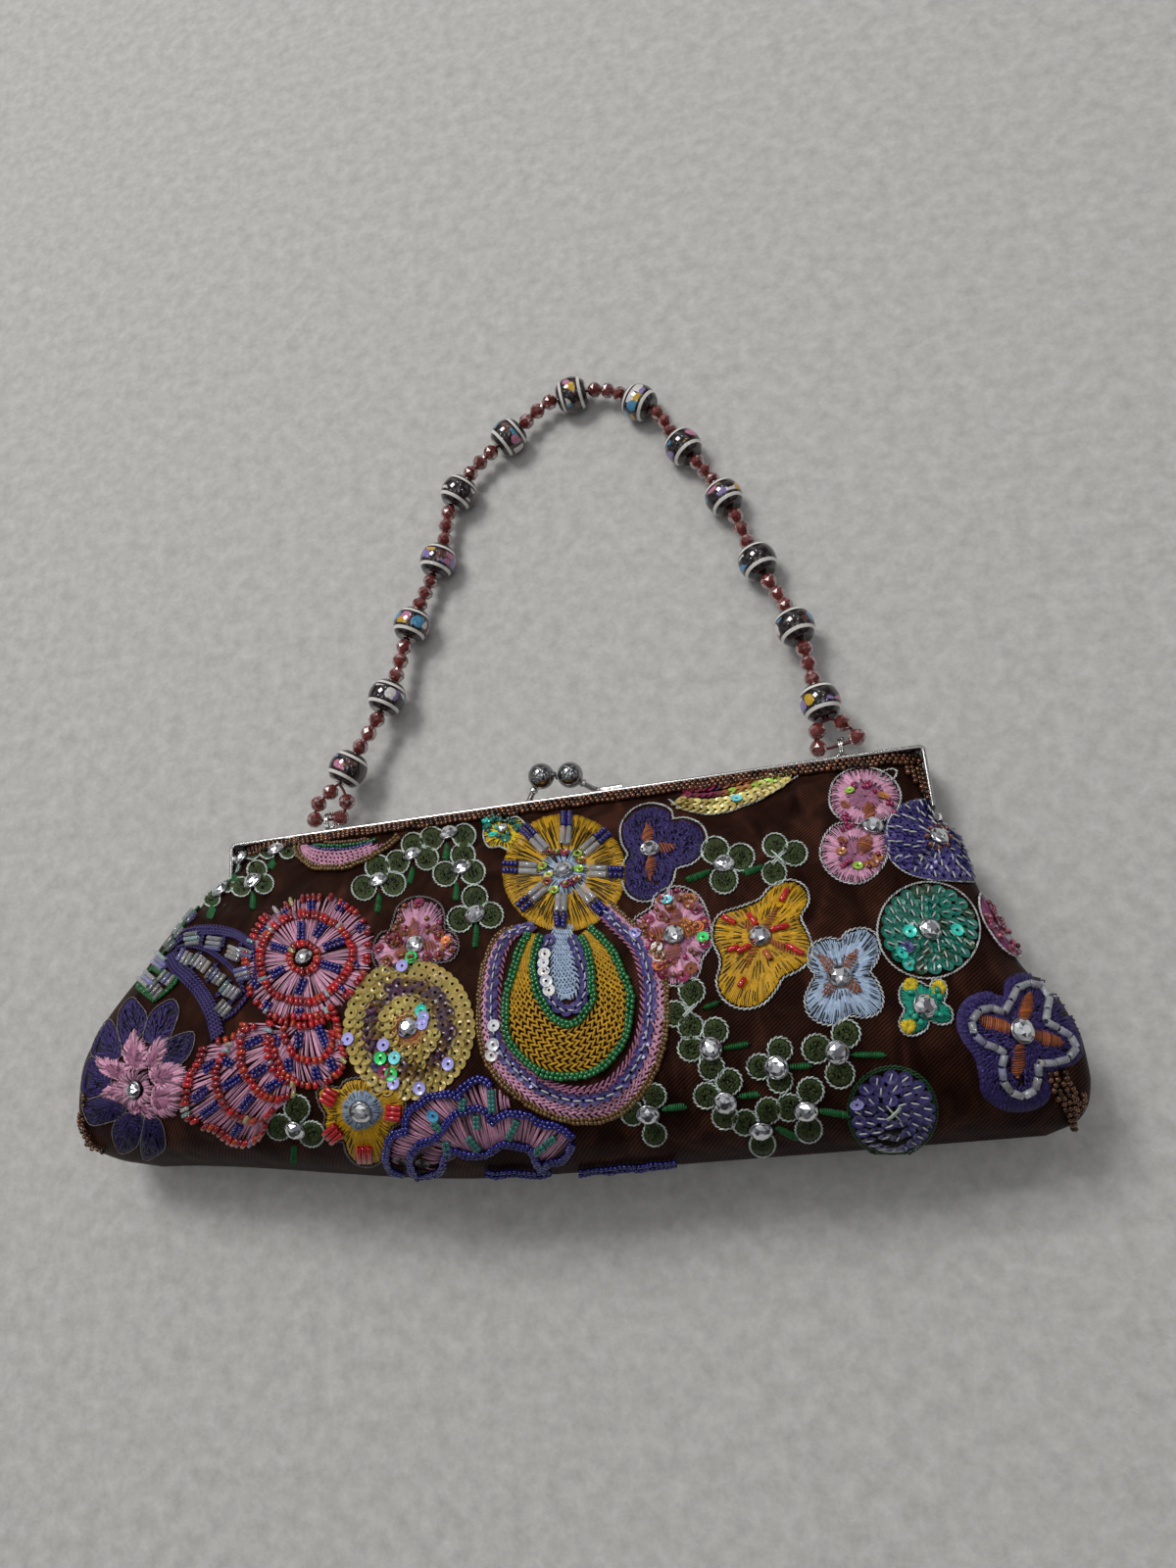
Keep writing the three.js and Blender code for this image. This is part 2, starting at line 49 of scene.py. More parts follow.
rng = np.random.default_rng(20)

# Working coordinates are those of the model's source: millimetres, the frame's rail at y = 0 and
# the clasp at x = 0. The finished part is shifted so that its origin is at its footprint's middle.
SHIFT = np.array([6.84, -19.11, 0.0])
MM = 0.001


def world(p):
    return (np.asarray(p, float) + SHIFT) * MM


# ------------------------------------------------------------------ camera, at the photograph's view
F_PX, CX, CY = 1180.0, 600.0, 800.0
CAM = np.array([63.1934, -88.5619, 275.1674])
ROT = np.array([
    [0.97065914, -0.07324265, -0.22903352],
    [0.14129075, 0.94443614, 0.29677821],
    [0.19457071, -0.32043080, 0.92707408],
])
cam_data = bpy.data.cameras.new("camera")
cam_data.lens = F_PX / 1600.0 * 36.0
cam_data.sensor_width = 36.0
cam_data.sensor_fit = "AUTO"
cam_data.clip_start = 0.01
cam = bpy.data.objects.new("camera", cam_data)
bpy.context.scene.collection.objects.link(cam)
_m = Matrix.Identity(4)
for _i in range(3):
    for _j in range(3):
        _m[_i][_j] = ROT[_j][_i]
_c = world(CAM)
_m[0][3], _m[1][3], _m[2][3] = _c
cam.matrix_world = _m
bpy.context.scene.camera = cam


# ------------------------------------------------------------------ colours
def srgb(text):
    v = [int(text[i:i + 2], 16) / 255.0 for i in (1, 3, 5)]
    return np.array([c / 12.92 if c <= 0.04045 else ((c + 0.055) / 1.055) ** 2.4 for c in v])


COL = {k: srgb(v) for k, v in {
    "satin": "#2a1812", "silver_cord": "#b6bab9", "pale_cord": "#b4c0b8", "dark_cord": "#6c6668",
    "olive": "#2e3a18", "emerald": "#0c5426", "gold": "#bd9014", "gold_dark": "#7c5c10",
    "paleblue": "#9db0c8", "bluegrey": "#8494a8", "purple": "#2b2152", "purple_dark": "#241a48",
    "violet": "#463c7c", "orange": "#94502a", "orange_dark": "#8c4a24", "pink": "#c892ac",
    "pink_deep": "#9a6480", "magenta": "#8e2450", "wine": "#6e1a30", "navy": "#15146a",
    "red": "#d01c22", "red_deep": "#a01018", "amber": "#b07030", "lime": "#9ac83c",
    "clear": "#e0e3e8", "sequin_gold": "#b09a52", "sequin_pale": "#d8c878", "sequin_dark": "#4a3440",
    "sequin_plum": "#4e2a44", "teal": "#08705f", "turquoise": "#2ad4c0", "lavender": "#b4b0f4",
    "green_bright": "#38e070", "cyan_bright": "#7ae4f0", "orange_bright": "#f08a4a",
    "bronze": "#6a4632", "bronze_gold": "#66481c", "bronze_dark": "#3c261a", "copper": "#86583c",
    "green_seed": "#0d6430", "teal_leaf": "#2c6c66", "silver": "#c8c8cc", "brown_seed": "#7a4a36",
    "mauve": "#8c4c74", "white": "#ece8e4", "dark": "#1c1416", "yellow": "#dcc024",
    "dusty": "#a8616a", "red_orange": "#cc4420", "cyan_pale": "#c8e8ec", "yellow_pale": "#e8dc9c", "cyan_deep": "#48a8dc", "garnet": "#5e2220", "blue_violet": "#3a3474", "green_dark": "#1e4428",
}.items()}


# ------------------------------------------------------------------ the satin body's surface
NAMES = ("y", "left", "right", "over", "top", "under", "square")
SECTIONS = np.array([
    (-1.3, 86.0, 86.0, 0.0, 12.0, 4.0, 8.0),
    (-5.0, 86.0, 86.0, 1.2, 15.8, 2.4, 7.0),
    (-10.0, 86.0, 86.0, 4.3, 20.4, 0.9, 6.0),
    (-15.0, 86.0, 86.0, 7.5, 24.4, -0.4, 5.2),
    (-18.4, 86.4, 86.4, 9.0, 26.8, -1.4, 4.8),
    (-22.0, 95.0, 89.6, 4.0, 29.2, -2.2, 4.5),
    (-28.0, 102.5, 91.6, 1.0, 32.6, -3.0, 4.2),
    (-36.0, 107.5, 93.4, 0.0, 36.4, -4.0, 4.0),
    (-45.0, 113.5, 95.6, 0.0, 39.6, -4.5, 4.0),
    (-54.0, 118.6, 99.0, 0.0, 41.6, -5.0, 4.0),
    (-62.0, 121.2, 104.6, 0.0, 42.4, -5.0, 4.0),
    (-70.0, 121.6, 107.6, 0.0, 41.6, -4.2, 4.0),
    (-76.5, 121.0, 107.8, 0.0, 38.6, -2.0, 3.9),
    (-81.5, 118.6, 106.8, 0.0, 33.8, 1.0, 3.8),
    (-85.3, 112.0, 104.0, 0.0, 27.4, 5.2, 3.6),
    (-87.6, 102.0, 97.5, 0.0, 20.4, 10.4, 3.4),
])
DENTS = np.array([
    (-74, -18, 17, 6, -18, 1.5), (-45, -12, 20, 5, 6, 1.0), (34, -15, 22, 6, -8, 1.0),
    (66, -30, 16, 7, 30, 1.2), (84, -42, 20, 6, 55, 1.4), (-84, -48, 9, 16, 20, 1.5),
    (-30, -44, 8, 22, -10, 0.8), (40, -60, 9, 18, 15, 0.9), (22, -80, 12, 5, 0, 1.3),
    (-66, -80, 14, 5, 4, 1.3), (66, -78, 14, 6, -6, 1.2), (3, -52, 26, 20, 0, -0.9),
], float)
MOUTH_Y, BOTTOM_Y, WALL, FACE_POWER, LEFT_SHORT = -1.3, -87.6, 1.8, 1.85, 0.10
ARM_CLEAR, ARM_FULL = 14.6, 17.4


def smooth(a, b, v):
    t = np.clip((v - a) / (b - a), 0, 1)
    return t * t * (3 - 2 * t)


def column(name, y):
    X, Y = -SECTIONS[:, 0], SECTIONS[:, NAMES.index(name)]
    s = np.diff(Y) / np.diff(X)
    m = np.empty(len(X))
    m[0], m[-1] = s[0], s[-1]
    a, b = s[:-1], s[1:]
    with np.errstate(divide="ignore", invalid="ignore"):
        m[1:-1] = np.where(a * b <= 0, 0.0, 2 * a * b / (a + b))
    x = np.clip(-np.asarray(y, float), X[0], X[-1])
    k = np.clip(np.searchsorted(X, x, side="right") - 1, 0, len(X) - 2)
    h = X[k + 1] - X[k]
    t = (x - X[k]) / h
    t2, t3 = t * t, t ** 3
    return (Y[k] * (2 * t3 - 3 * t2 + 1) + m[k] * h * (t3 - 2 * t2 + t)
            + Y[k + 1] * (3 * t2 - 2 * t3) + m[k + 1] * h * (t3 - t2))


def dents(x, y):
    d = np.zeros_like(x)
    for sx, sy, rx, ry, turn, depth in DENTS:
        a = math.radians(turn)
        dx, dy = x - sx, y - sy
        u = (dx * math.cos(a) + dy * math.sin(a)) / rx
        v = (-dx * math.sin(a) + dy * math.cos(a)) / ry
        d += depth * np.exp(-(u * u + v * v))
    return d


_waves = [(rng.uniform(0, 2 * math.pi), rng.uniform(0, 2 * math.pi), rng.uniform(4.0, 11.0), rng.uniform(0.5, 1)) for _ in range(26)]


def creases(x, y):
    """Small soft wrinkles of the cloth, finer than the model's dents."""
    d = np.zeros_like(x)
    for turn, phase, wavelength, size in _waves:
        k = 2 * math.pi / wavelength
        d += size * np.sin(k * (x * math.cos(turn) + y * math.sin(turn)) + phase) * wavelength / 11.0
    d *= 0.10
    # folds with sharper crests, where the stitching pulls the cloth
    for kx, ky, phase, size in ((0.21, 0.34, 0.4, 0.30), (-0.29, 0.27, 1.9, 0.24), (0.11, -0.43, 3.1, 0.20), (0.52, 0.18, 5.0, 0.12)):
        bend = 1.1 * np.sin(0.063 * x + 0.05 * y + phase)
        d += size * ((1 - np.abs(np.sin(kx * x + ky * y + phase + bend))) ** 3 - 0.15) * (0.5 + 0.5 * np.sin(0.071 * x - 0.09 * y + 2 * phase))
    # gathers that run down from the frame
    g = np.sin(x * 0.62 + 2.2 * np.sin(x * 0.09)) + 0.6 * np.sin(x * 0.97 + 1.3)
    d += 0.26 * g * smooth(-26, -6, y) * smooth(-2.0, -5, y)
    return d


def body_points(across, y, front, inset, fine=True):
    """The same surface as the solid model's body, with fine wrinkles on its front."""
    across, y = np.broadcast_arrays(np.asarray(across, float), np.asarray(y, float))
    w = np.where(across < 0, column("left", y), column("right", y)) - inset
    top, under = column("top", y) - inset, column("under", y) + inset
    square = column("square", y)
    mid, half = (top + under) / 2, (top - under) / 2
    rise = half * np.maximum(0, 1 - np.abs(across) ** square) ** (1 / FACE_POWER)
    flat = across * w
    settle = smooth(-3, -14, y) * smooth(BOTTOM_Y - 1, BOTTOM_Y + 7, y)
    if front:
        z = mid + rise - dents(flat, y) * settle * (rise / half)
        if fine and inset == 0:
            z = z + creases(flat, y) * (rise / half)
    else:
        z = mid - rise
    z = np.maximum(z, inset)
    if front:
        swell = np.where(across < 0, smooth(ARM_CLEAR, ARM_FULL, z) * smooth(0.5, 0.9, -across), 0)
        x = flat - swell * column("over", y)
    else:
        x = flat
    return np.stack([x, y * (1 - LEFT_SHORT * smooth(-10, -108, x)), z], -1)


# ------------------------------------------------------------------ mesh building
def make_object(name, verts, faces, colours=None, smooth_shade=True, material=None, uv=None, mm=True, face_mat=None):
    """verts (n,3) in working millimetres; faces: list of (m,k) index arrays."""
    mesh = bpy.data.meshes.new(name)
    v = world(verts) if mm else np.asarray(verts, float)
    faces = [np.asarray(f, np.int64) for f in faces if len(f)]
    loops = np.concatenate([f.ravel() for f in faces])
    totals = np.concatenate([np.full(len(f), f.shape[1]) for f in faces])
    starts = np.concatenate([[0], np.cumsum(totals)[:-1]])
    mesh.vertices.add(len(v))
    mesh.vertices.foreach_set("co", v.astype(np.float32).ravel())
    mesh.loops.add(len(loops))
    mesh.loops.foreach_set("vertex_index", loops.astype(np.int32))
    mesh.polygons.add(len(totals))
    mesh.polygons.foreach_set("loop_start", starts.astype(np.int32))
    mesh.polygons.foreach_set("loop_total", totals.astype(np.int32))
    if colours is not None:
        a = mesh.color_attributes.new("Col", "FLOAT_COLOR", "POINT")
        rgba = np.ones((len(v), 4), np.float32)
        rgba[:, :3] = colours
        a.data.foreach_set("color", rgba.ravel())
    if uv is not None:
        layer = mesh.uv_layers.new(name="map")
        layer.data.foreach_set("uv", np.asarray(uv, np.float32)[loops].ravel())
    if face_mat is not None:
        mesh.polygons.foreach_set("material_index", np.asarray(face_mat, np.int32))
    mesh.update(calc_edges=True)
    mesh.validate()
    mesh.polygons.foreach_set("use_smooth", np.full(len(mesh.polygons), smooth_shade, bool))
    obj = bpy.data.objects.new(name, mesh)
    bpy.context.scene.collection.objects.link(obj)
    for m in (material if isinstance(material, (list, tuple)) else [material]):
        if m is not None:
            mesh.materials.append(m)
    return obj


class Heap:
    """Many small things joined in one mesh."""

    def __init__(self):
        self.v, self.f, self.c, self.n = [], {}, [], 0

    def add(self, verts, faces, colours):
        self.v.append(verts)
        self.c.append(np.broadcast_to(colours, verts.shape))
        for f in faces:
            if len(f):
                self.f.setdefault(f.shape[1], []).append(f + self.n)
        self.n += len(verts)

    def place(self, template, at, ax, ay, az, size, colours):
        """Copies of template (verts, faces) at points, with their axes and sizes (n,3)."""
        T, F = template
        n = len(at)
        if n == 0:
            return
        size = np.broadcast_to(np.asarray(size, float), (n, 3))
        V = (at[:, None, :] + T[None, :, 0:1] * (ax * size[:, 0:1])[:, None, :]
             + T[None, :, 1:2] * (ay * size[:, 1:2])[:, None, :]
             + T[None, :, 2:3] * (az * size[:, 2:3])[:, None, :])
        off = np.arange(n) * len(T)
        faces = [(f[None] + off[:, None, None]).reshape(-1, f.shape[1]) for f in F]
        c = np.repeat(np.broadcast_to(colours, (n, 3)), len(T), axis=0)
        self.add(V.reshape(-1, 3), faces, c)

    def triangles(self):
        return sum((k - 2) * sum(len(f) for f in fs) for k, fs in self.f.items())

    def build(self, name, material, smooth_shade=True):
        obj = make_object(name, np.concatenate(self.v), [np.concatenate(fs) for fs in self.f.values()],
                          np.concatenate(self.c), smooth_shade, material)
        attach(obj, "root")
        return obj


def revolve(profile, sides, close_start=False, close_end=False, turn=0.0):
    """A surface of revolution about x. profile: (x, radius) rows."""
    P = np.asarray(profile, float)
    a = np.arange(sides) / sides * 2 * math.pi + turn
    V = np.stack([np.repeat(P[:, 0], sides), (P[:, 1:2] * np.cos(a)).ravel(), (P[:, 1:2] * np.sin(a)).ravel()], -1)
    q = []
    for i in range(len(P) - 1):
        j = np.arange(sides)
        k = (j + 1) % sides
        q.append(np.stack([i * sides + j, (i + 1) * sides + j, (i + 1) * sides + k, i * sides + k], -1)[:, ::-1])
    faces = [np.concatenate(q)]
    caps = []
    if close_start:
        caps.append(np.arange(sides)[None, ::1])
    if close_end:
        caps.append(((len(P) - 1) * sides + np.arange(sides))[None, ::-1])
    if caps:
        faces.append(np.concatenate(caps))
    return V, faces


SEED = revolve([(-0.86, 0.40), (-1.0, 0.66), (-0.62, 0.95), (0.62, 0.95), (1.0, 0.66), (0.86, 0.40)], 8)
BUGLE = revolve([(-0.98, 0.52), (-1.0, 0.86), (-0.95, 1.0), (0.95, 1.0), (1.0, 0.86), (0.98, 0.52)], 7)
GRAIN = revolve([(-1.0, 0.18), (-0.62, 0.86), (0.0, 1.0), (0.62, 0.86), (1.0, 0.18)], 6)


def _sequin():
    sides = 12
    a = np.arange(sides) / sides * 2 * math.pi
    V, faces = [], []
    for r, z in ((0.24, 0.0), (0.55, -0.10), (1.0, 0.10)):
        V.append(np.stack([r * np.cos(a), r * np.sin(a), np.full(sides, z)], -1))
    j = np.arange(sides)
    k = (j + 1) % sides
    q = [np.stack([i * sides + j, (i + 1) * sides + j, (i + 1) * sides + k, i * sides + k], -1) for i in range(2)]
    return np.concatenate(V), [np.concatenate(q)]


SEQUIN = _sequin()


def _stone():
    sides = 8
    V, tri = [], []
    a = np.arange(sides) / sides * 2 * math.pi
    for r, z, t in ((0.34, 0.60, 0.0), (0.66, 0.47, math.pi / sides), (0.88, 0.24, 0.0), (1.0, 0.02, math.pi / sides)):
        V.append(np.stack([r * np.cos(a + t), r * np.sin(a + t), np.full(sides, z)], -1))
    V.append(np.stack([np.cos(a + math.pi / sides), np.sin(a + math.pi / sides), np.full(sides, -0.12)], -1))
    j = np.arange(sides)
    k = (j + 1) % sides
    for i in (0, 2):
        A, B = i * sides, (i + 1) * sides
        tri += [np.stack([A + j, B + j, A + k], -1), np.stack([B + j, B + k, A + k], -1)]
    A, B = sides, 2 * sides
    tri += [np.stack([A + j, B + k, A + k], -1), np.stack([A + j, B + j, B + k], -1)]
    quad = [np.stack([3 * sides + j, 4 * sides + j, 4 * sides + k, 3 * sides + k], -1)]
    return np.concatenate(V), [np.concatenate(tri), np.concatenate(quad), np.arange(sides)[None, :]]


STONE = _stone()
BEZEL = revolve([(-0.35, 0.90), (-0.35, 1.05), (0.00, 1.08), (0.10, 1.05), (0.14, 0.98)], 20)
# the bezel's axis is x in the template: its x becomes the surface's normal
BEZEL = (BEZEL[0][:, [1, 2, 0]], BEZEL[1])


# ------------------------------------------------------------------ satin body piece
def body_mesh():
    HALF, ROWS, IN_ROWS = 132, 104, 26
    N = 2 * HALF
    verts, quads = [], []

    def ring(y, inset):
        j = np.arange(N)
        front = j <= HALF
        turn = np.where(front, j, N - j) / HALF
        across = np.sin((turn - 0.5) * math.pi)
        P = np.where(front[:, None], body_points(across, y, True, inset), body_points(across, y, False, inset))
        return P

    def steps(n, bottom):
        t = np.linspace(0, 1, n)
        t = t + 0.06 * np.sin(2 * math.pi * t) * -1
        return MOUTH_Y + (bottom - MOUTH_Y) * t

    outer = [ring(y, 0.0) for y in steps(ROWS, BOTTOM_Y)]
    # the bottom rolls over to the back in a rounded edge
    inner = [ring(y, WALL) for y in steps(IN_ROWS, BOTTOM_Y + WALL)]
    verts = np.concatenate(outer + inner)
    j = np.arange(N)
    k = (j + 1) % N
    for i in range(ROWS - 1):
        a, b = i * N, (i + 1) * N
        quads.append(np.stack([a + j, b + j, b + k, a + k], -1))
    base = ROWS * N
    for i in range(IN_ROWS - 1):
        a, b = base + i * N, base + (i + 1) * N
        quads.append(np.stack([a + j, a + k, b + k, b + j], -1))
    quads.append(np.stack([j, k, base + k, base + j], -1))
    tris = []
    for start, flip in (((ROWS - 1) * N, False), (base + (IN_ROWS - 1) * N, True)):
        for jj in range(HALF):
            a, b = start + jj, start + jj + 1
            c, d = start + ((N - jj - 1) % N), start + ((N - jj) % N)
            fs = []
            if b != c:
                fs.append((a, c, b))
            if a != d:
                fs.append((a, d, c))
            for f in fs:
                tris.append((f[0], f[2], f[1]) if flip else f)
    return verts, np.concatenate(quads), np.array(tris), ROWS, N, HALF


body_v, body_q, body_t, ROWS, RING_N, HALF = body_mesh()

# The embroidery is charted in the photograph's pixels. Rays from the camera carry each chart point
# on to the satin; this table of where they land is computed from the mesh above.
_outer_q = body_q[: (ROWS - 1) * RING_N]
_tree = BVHTree.FromPolygons([tuple(v) for v in body_v[: ROWS * RING_N]],
                             [tuple(int(i) for i in q) for q in _outer_q] + [tuple(int(i) for i in t) for t in body_t if max(t) < ROWS * RING_N])
_vn = np.zeros((ROWS * RING_N, 3))
_A, _B, _C, _D = (body_v[_outer_q[:, i]] for i in range(4))
_fn = np.cross(_C - _A, _D - _B)
for _i in range(4):
    np.add.at(_vn, _outer_q[:, _i], _fn)
_vn /= np.linalg.norm(_vn, axis=1, keepdims=True) + 1e-12
STEP = 3.0
GX, GY = np.arange(57, 1143, STEP), np.arange(735, 1221, STEP)


def _ray(px, py):
    d = np.array([(px - CX) / F_PX, -(py - CY) / F_PX, -1.0]) @ ROT
    return d / np.linalg.norm(d)


MAP_P = np.full((len(GY), len(GX), 3), np.nan)
MAP_N = np.full((len(GY), len(GX), 3), np.nan)
_origin = Vector(CAM)
_nq = len(_outer_q)
for _r, _py in enumerate(GY):
    for _k, _px in enumerate(GX):
        hit, _, idx, _ = _tree.ray_cast(_origin, Vector(_ray(_px, _py)))
        if hit is None:
            continue
        MAP_P[_r, _k] = hit
        if idx < _nq:
            q = _outer_q[idx]
            w = 1.0 / (np.linalg.norm(body_v[q] - np.array(hit), axis=1) ** 2 + 1e-6)
            n = (_vn[q] * w[:, None]).sum(0)
            MAP_N[_r, _k] = n / np.linalg.norm(n)
        else:
            MAP_N[_r, _k] = (0.0, -0.7, -0.7)
# Two rows of cells past the silhouette are filled by carrying the surface on.
for _ in range(2):
    P0, N0 = MAP_P.copy(), MAP_N.copy()
    for dy, dx in ((0, 1), (0, -1), (1, 0), (-1, 0)):
        A = np.roll(P0, (dy, dx), (0, 1))
        B = np.roll(P0, (2 * dy, 2 * dx), (0, 1))
        NA = np.roll(N0, (dy, dx), (0, 1))
        new = A + np.clip(A - B, -2.0, 2.0)
        m = np.isnan(MAP_P[..., 0]) & ~np.isnan(new[..., 0])
        MAP_P[m] = new[m]
        MAP_N[m] = NA[m]


def surf(px):
    """Chart points (n,2) to points on the satin, normals, and which of them land."""
    px = np.asarray(px, float).reshape(-1, 2)
    u = (px[:, 0] - GX[0]) / STEP
    v = (px[:, 1] - GY[0]) / STEP
    i = np.clip(np.floor(u).astype(int), 0, len(GX) - 2)
    j = np.clip(np.floor(v).astype(int), 0, len(GY) - 2)
    a, b = (u - i)[:, None], (v - j)[:, None]
    out = []
    for M in (MAP_P, MAP_N):
        out.append((M[j, i] * (1 - a) + M[j, i + 1] * a) * (1 - b) + (M[j + 1, i] * (1 - a) + M[j + 1, i + 1] * a) * b)
    P, N = out
    ok = ~np.isnan(P[:, 0]) & (u >= 0) & (v >= 0) & (u < len(GX) - 1) & (v < len(GY) - 1)
    N = N / (np.linalg.norm(N, axis=1, keepdims=True) + 1e-12)
    return P, N, ok


# ------------------------------------------------------------------ chart helpers
def LC(*pts):
    """Chart points read on the left working enlargement."""
    return np.array([(60 + x / 2.8, 760 + y / 2.8) for x, y in pts])


def RC(*pts):
    """Chart points read on the right working enlargement."""
    return np.array([(580 + x / 2.8, 740 + y / 2.8) for x, y in pts])


def PX(*pts):
    return np.array(pts, float)


def curve(pts, closed=False, step=1.5):
    """A smooth curve through chart points, as close points."""
    P = np.asarray(pts, float)
    n = len(P)
    out = []
    for i in range(n if closed else n - 1):
        p0 = P[(i - 1) % n] if closed or i > 0 else 2 * P[0] - P[1]
        p1, p2 = P[i], P[(i + 1) % n]
        p3 = P[(i + 2) % n] if closed or i + 2 < n else 2 * P[-1] - P[-2]
        m = max(2, int(np.linalg.norm(p2 - p1) / step))
        t = np.linspace(0, 1, m, endpoint=False)[:, None]
        out.append(0.5 * ((2 * p1) + (-p0 + p2) * t + (2 * p0 - 5 * p1 + 4 * p2 - p3) * t ** 2 + (-p0 + 3 * p1 - 3 * p2 + p3) * t ** 3))
    if not closed:
        out.append(P[-1:])
    return np.concatenate(out)


def oval(c, rx, ry, turn=0.0, start=0.0, end=360.0, n=None):
    full = abs(end - start) >= 359.9
    n = n or max(12, int(abs(end - start) / 360 * 2 * math.pi * max(rx, ry) / 1.5))
    a = np.radians(np.linspace(start, end, n, endpoint=not full))
    t = math.radians(turn)
    x, y = rx * np.cos(a), ry * np.sin(a)
    return np.stack([c[0] + x * math.cos(t) - y * math.sin(t), c[1] + x * math.sin(t) + y * math.cos(t)], -1)


def grow(path, d):
    """A closed path moved outward by d pixels (inward when negative)."""
    c = path.mean(0)
    t = np.roll(path, -1, 0) - np.roll(path, 1, 0)
    n = np.stack([t[:, 1], -t[:, 0]], -1)
    n /= np.linalg.norm(n, axis=1, keepdims=True) + 1e-9
    area = 0.5 * np.sum(path[:, 0] * np.roll(path[:, 1], -1) - np.roll(path[:, 0], -1) * path[:, 1])
    return path + n * d * (1 if area > 0 else -1)


def toward(path, c, k):
    """A path drawn in towards c: k = 0 at c, 1 at the path."""
    return np.asarray(c) + (path - np.asarray(c)) * k


def walk(path, pitch, closed=False, start=0.5):
    """Stations along a chart path at a pitch in mm on the satin: points, normals, tangents, chart points."""
    path = np.asarray(path, float)
    if closed:
        path = np.concatenate([path, path[:1]])
    P, N, ok = surf(path)
    if ok.sum() < 2:
        z = np.zeros((0, 3))
        return z, z, z, np.zeros((0, 2))
    P, N, Q = P[ok], N[ok], path[ok]
    d = np.linalg.norm(np.diff(P, axis=0), axis=1)
    s = np.concatenate([[0], np.cumsum(np.maximum(d, 1e-6))])
    n = max(1, int(round(s[-1] / pitch)))
    at = (np.arange(n) + start) / n * s[-1]
    I = lambda A: np.stack([np.interp(at, s, A[:, k]) for k in range(A.shape[1])], -1)
    e = 0.3
    lo, hi = np.clip(at - e, 0, s[-1]), np.clip(at + e, 0, s[-1])
    J = lambda A, x: np.stack([np.interp(x, s, A[:, k]) for k in range(3)], -1)
    T = J(P, hi) - J(P, lo)
    T /= np.linalg.norm(T, axis=1, keepdims=True) + 1e-9
    n3 = I(N)
    n3 /= np.linalg.norm(n3, axis=1, keepdims=True)
    T = T - n3 * np.sum(T * n3, 1, keepdims=True)
    T /= np.linalg.norm(T, axis=1, keepdims=True) + 1e-9
    return I(P), n3, T, I(Q)


def jitter(c, n, amount=0.12, hue=0.03):
    k = 1 + rng.normal(0, amount, (n, 1))
    return np.clip(np.asarray(c) * k * (1 + rng.normal(0, hue, (n, 3))), 0.0, 1.0)


def pick(names, n, weights=None):
    w = None if weights is None else np.array(weights, float) / sum(weights)
    i = rng.choice(len(names), n, p=w)
    return np.array([COL[names[k]] for k in i])


THREAD_SIZE, CORD_SIZE = 0.84, 0.66
# Sizes of the sewn beads, tubes, sequins and stones, against the sizes named in the motifs.
SEED_SIZE, TUBE_SIZE, SEQUIN_SIZE, STONE_SIZE = 0.62, 0.66, 0.82, 0.80

# Heaps, by material.
thread, accents, shade_sheets, cordage, chains, seeds, seeds2, tubes, tubes_clear, discs, stones, bezels = (Heap() for _ in range(12))


# ------------------------------------------------------------------ stitches and beads
def strands(a, b, colour, width=0.40, lift=0.45, base=0.12, heap=None, sag=0.0):
    """Threads from chart points a to chart points b, lying on the satin and padded up in the middle."""
    heap = heap or thread
    a, b = np.asarray(a, float).reshape(-1, 2), np.asarray(b, float).reshape(-1, 2)
    n = len(a)
    if n == 0:
        return
    ts = np.array([0.0, 0.3, 0.72, 1.0])
    hs = base + lift * np.array([0.12, 0.85, 0.95, 0.2])
    Q = a[:, None] + (b - a)[:, None] * ts[None, :, None]
    P, N, ok = surf(Q.reshape(-1, 2))
    P, N, ok = P.reshape(n, 4, 3), N.reshape(n, 4, 3), ok.reshape(n, 4).all(1)
    P, N = P[ok], N[ok]
    n = len(P)
    if n == 0:
        return
    colour = np.broadcast_to(colour, (len(ok), 3))[ok]
    span, flat = np.linalg.norm(P[:, -1] - P[:, 0], axis=1), np.linalg.norm((b - a)[ok], axis=1) / 4.2
    near = (span < 2.3 * flat) | (span < 3.5)
    P, N, colour = P[near], N[near], colour[near]
    n = len(P)
    if n == 0:
        return
    D = P[:, -1] - P[:, 0]
    D /= np.linalg.norm(D, axis=1, keepdims=True) + 1e-9
    S = np.cross(N, D[:, None, :])
    S /= np.linalg.norm(S, axis=2, keepdims=True) + 1e-9
    h = hs[None, :] + rng.normal(0, 0.05, (n, 1))
    w = width * THREAD_SIZE * (1 + rng.normal(0, 0.16, (n, 1))) * np.array([0.75, 1.0, 1.0, 0.7])[None, :]
    C = P + N * h[..., None]
    rows = [C - S * (w / 2)[..., None] - N * (0.30 * w)[..., None],
            C + N * (0.20 * w)[..., None],
            C + S * (w / 2)[..., None] - N * (0.30 * w)[..., None]]
    V = np.stack(rows, 2).reshape(n, 12, 3)
    f = []
    for i in range(3):
        for j in range(2):
            f.append((3 * i + j, 3 * i + j + 1, 3 * i + j + 4, 3 * i + j + 3))
    f = np.array(f)[:, ::-1]
    faces = (f[None] + (np.arange(n) * 12)[:, None, None]).reshape(-1, 4)
    c = np.repeat(jitter(colour, n, 0.17, 0.02), 12, axis=0)
    heap.add(V.reshape(-1, 3), [faces], c)


def resample(path, n, closed=False):
    path = np.asarray(path, float)
    if closed:
        path = np.concatenate([path, path[:1]])
    d = np.linalg.norm(np.diff(path, axis=0), axis=1)
    s = np.concatenate([[0], np.cumsum(d)])
    at = np.linspace(0, s[-1], n, endpoint=not closed)
    return np.stack([np.interp(at, s, path[:, k]) for k in range(2)], -1)


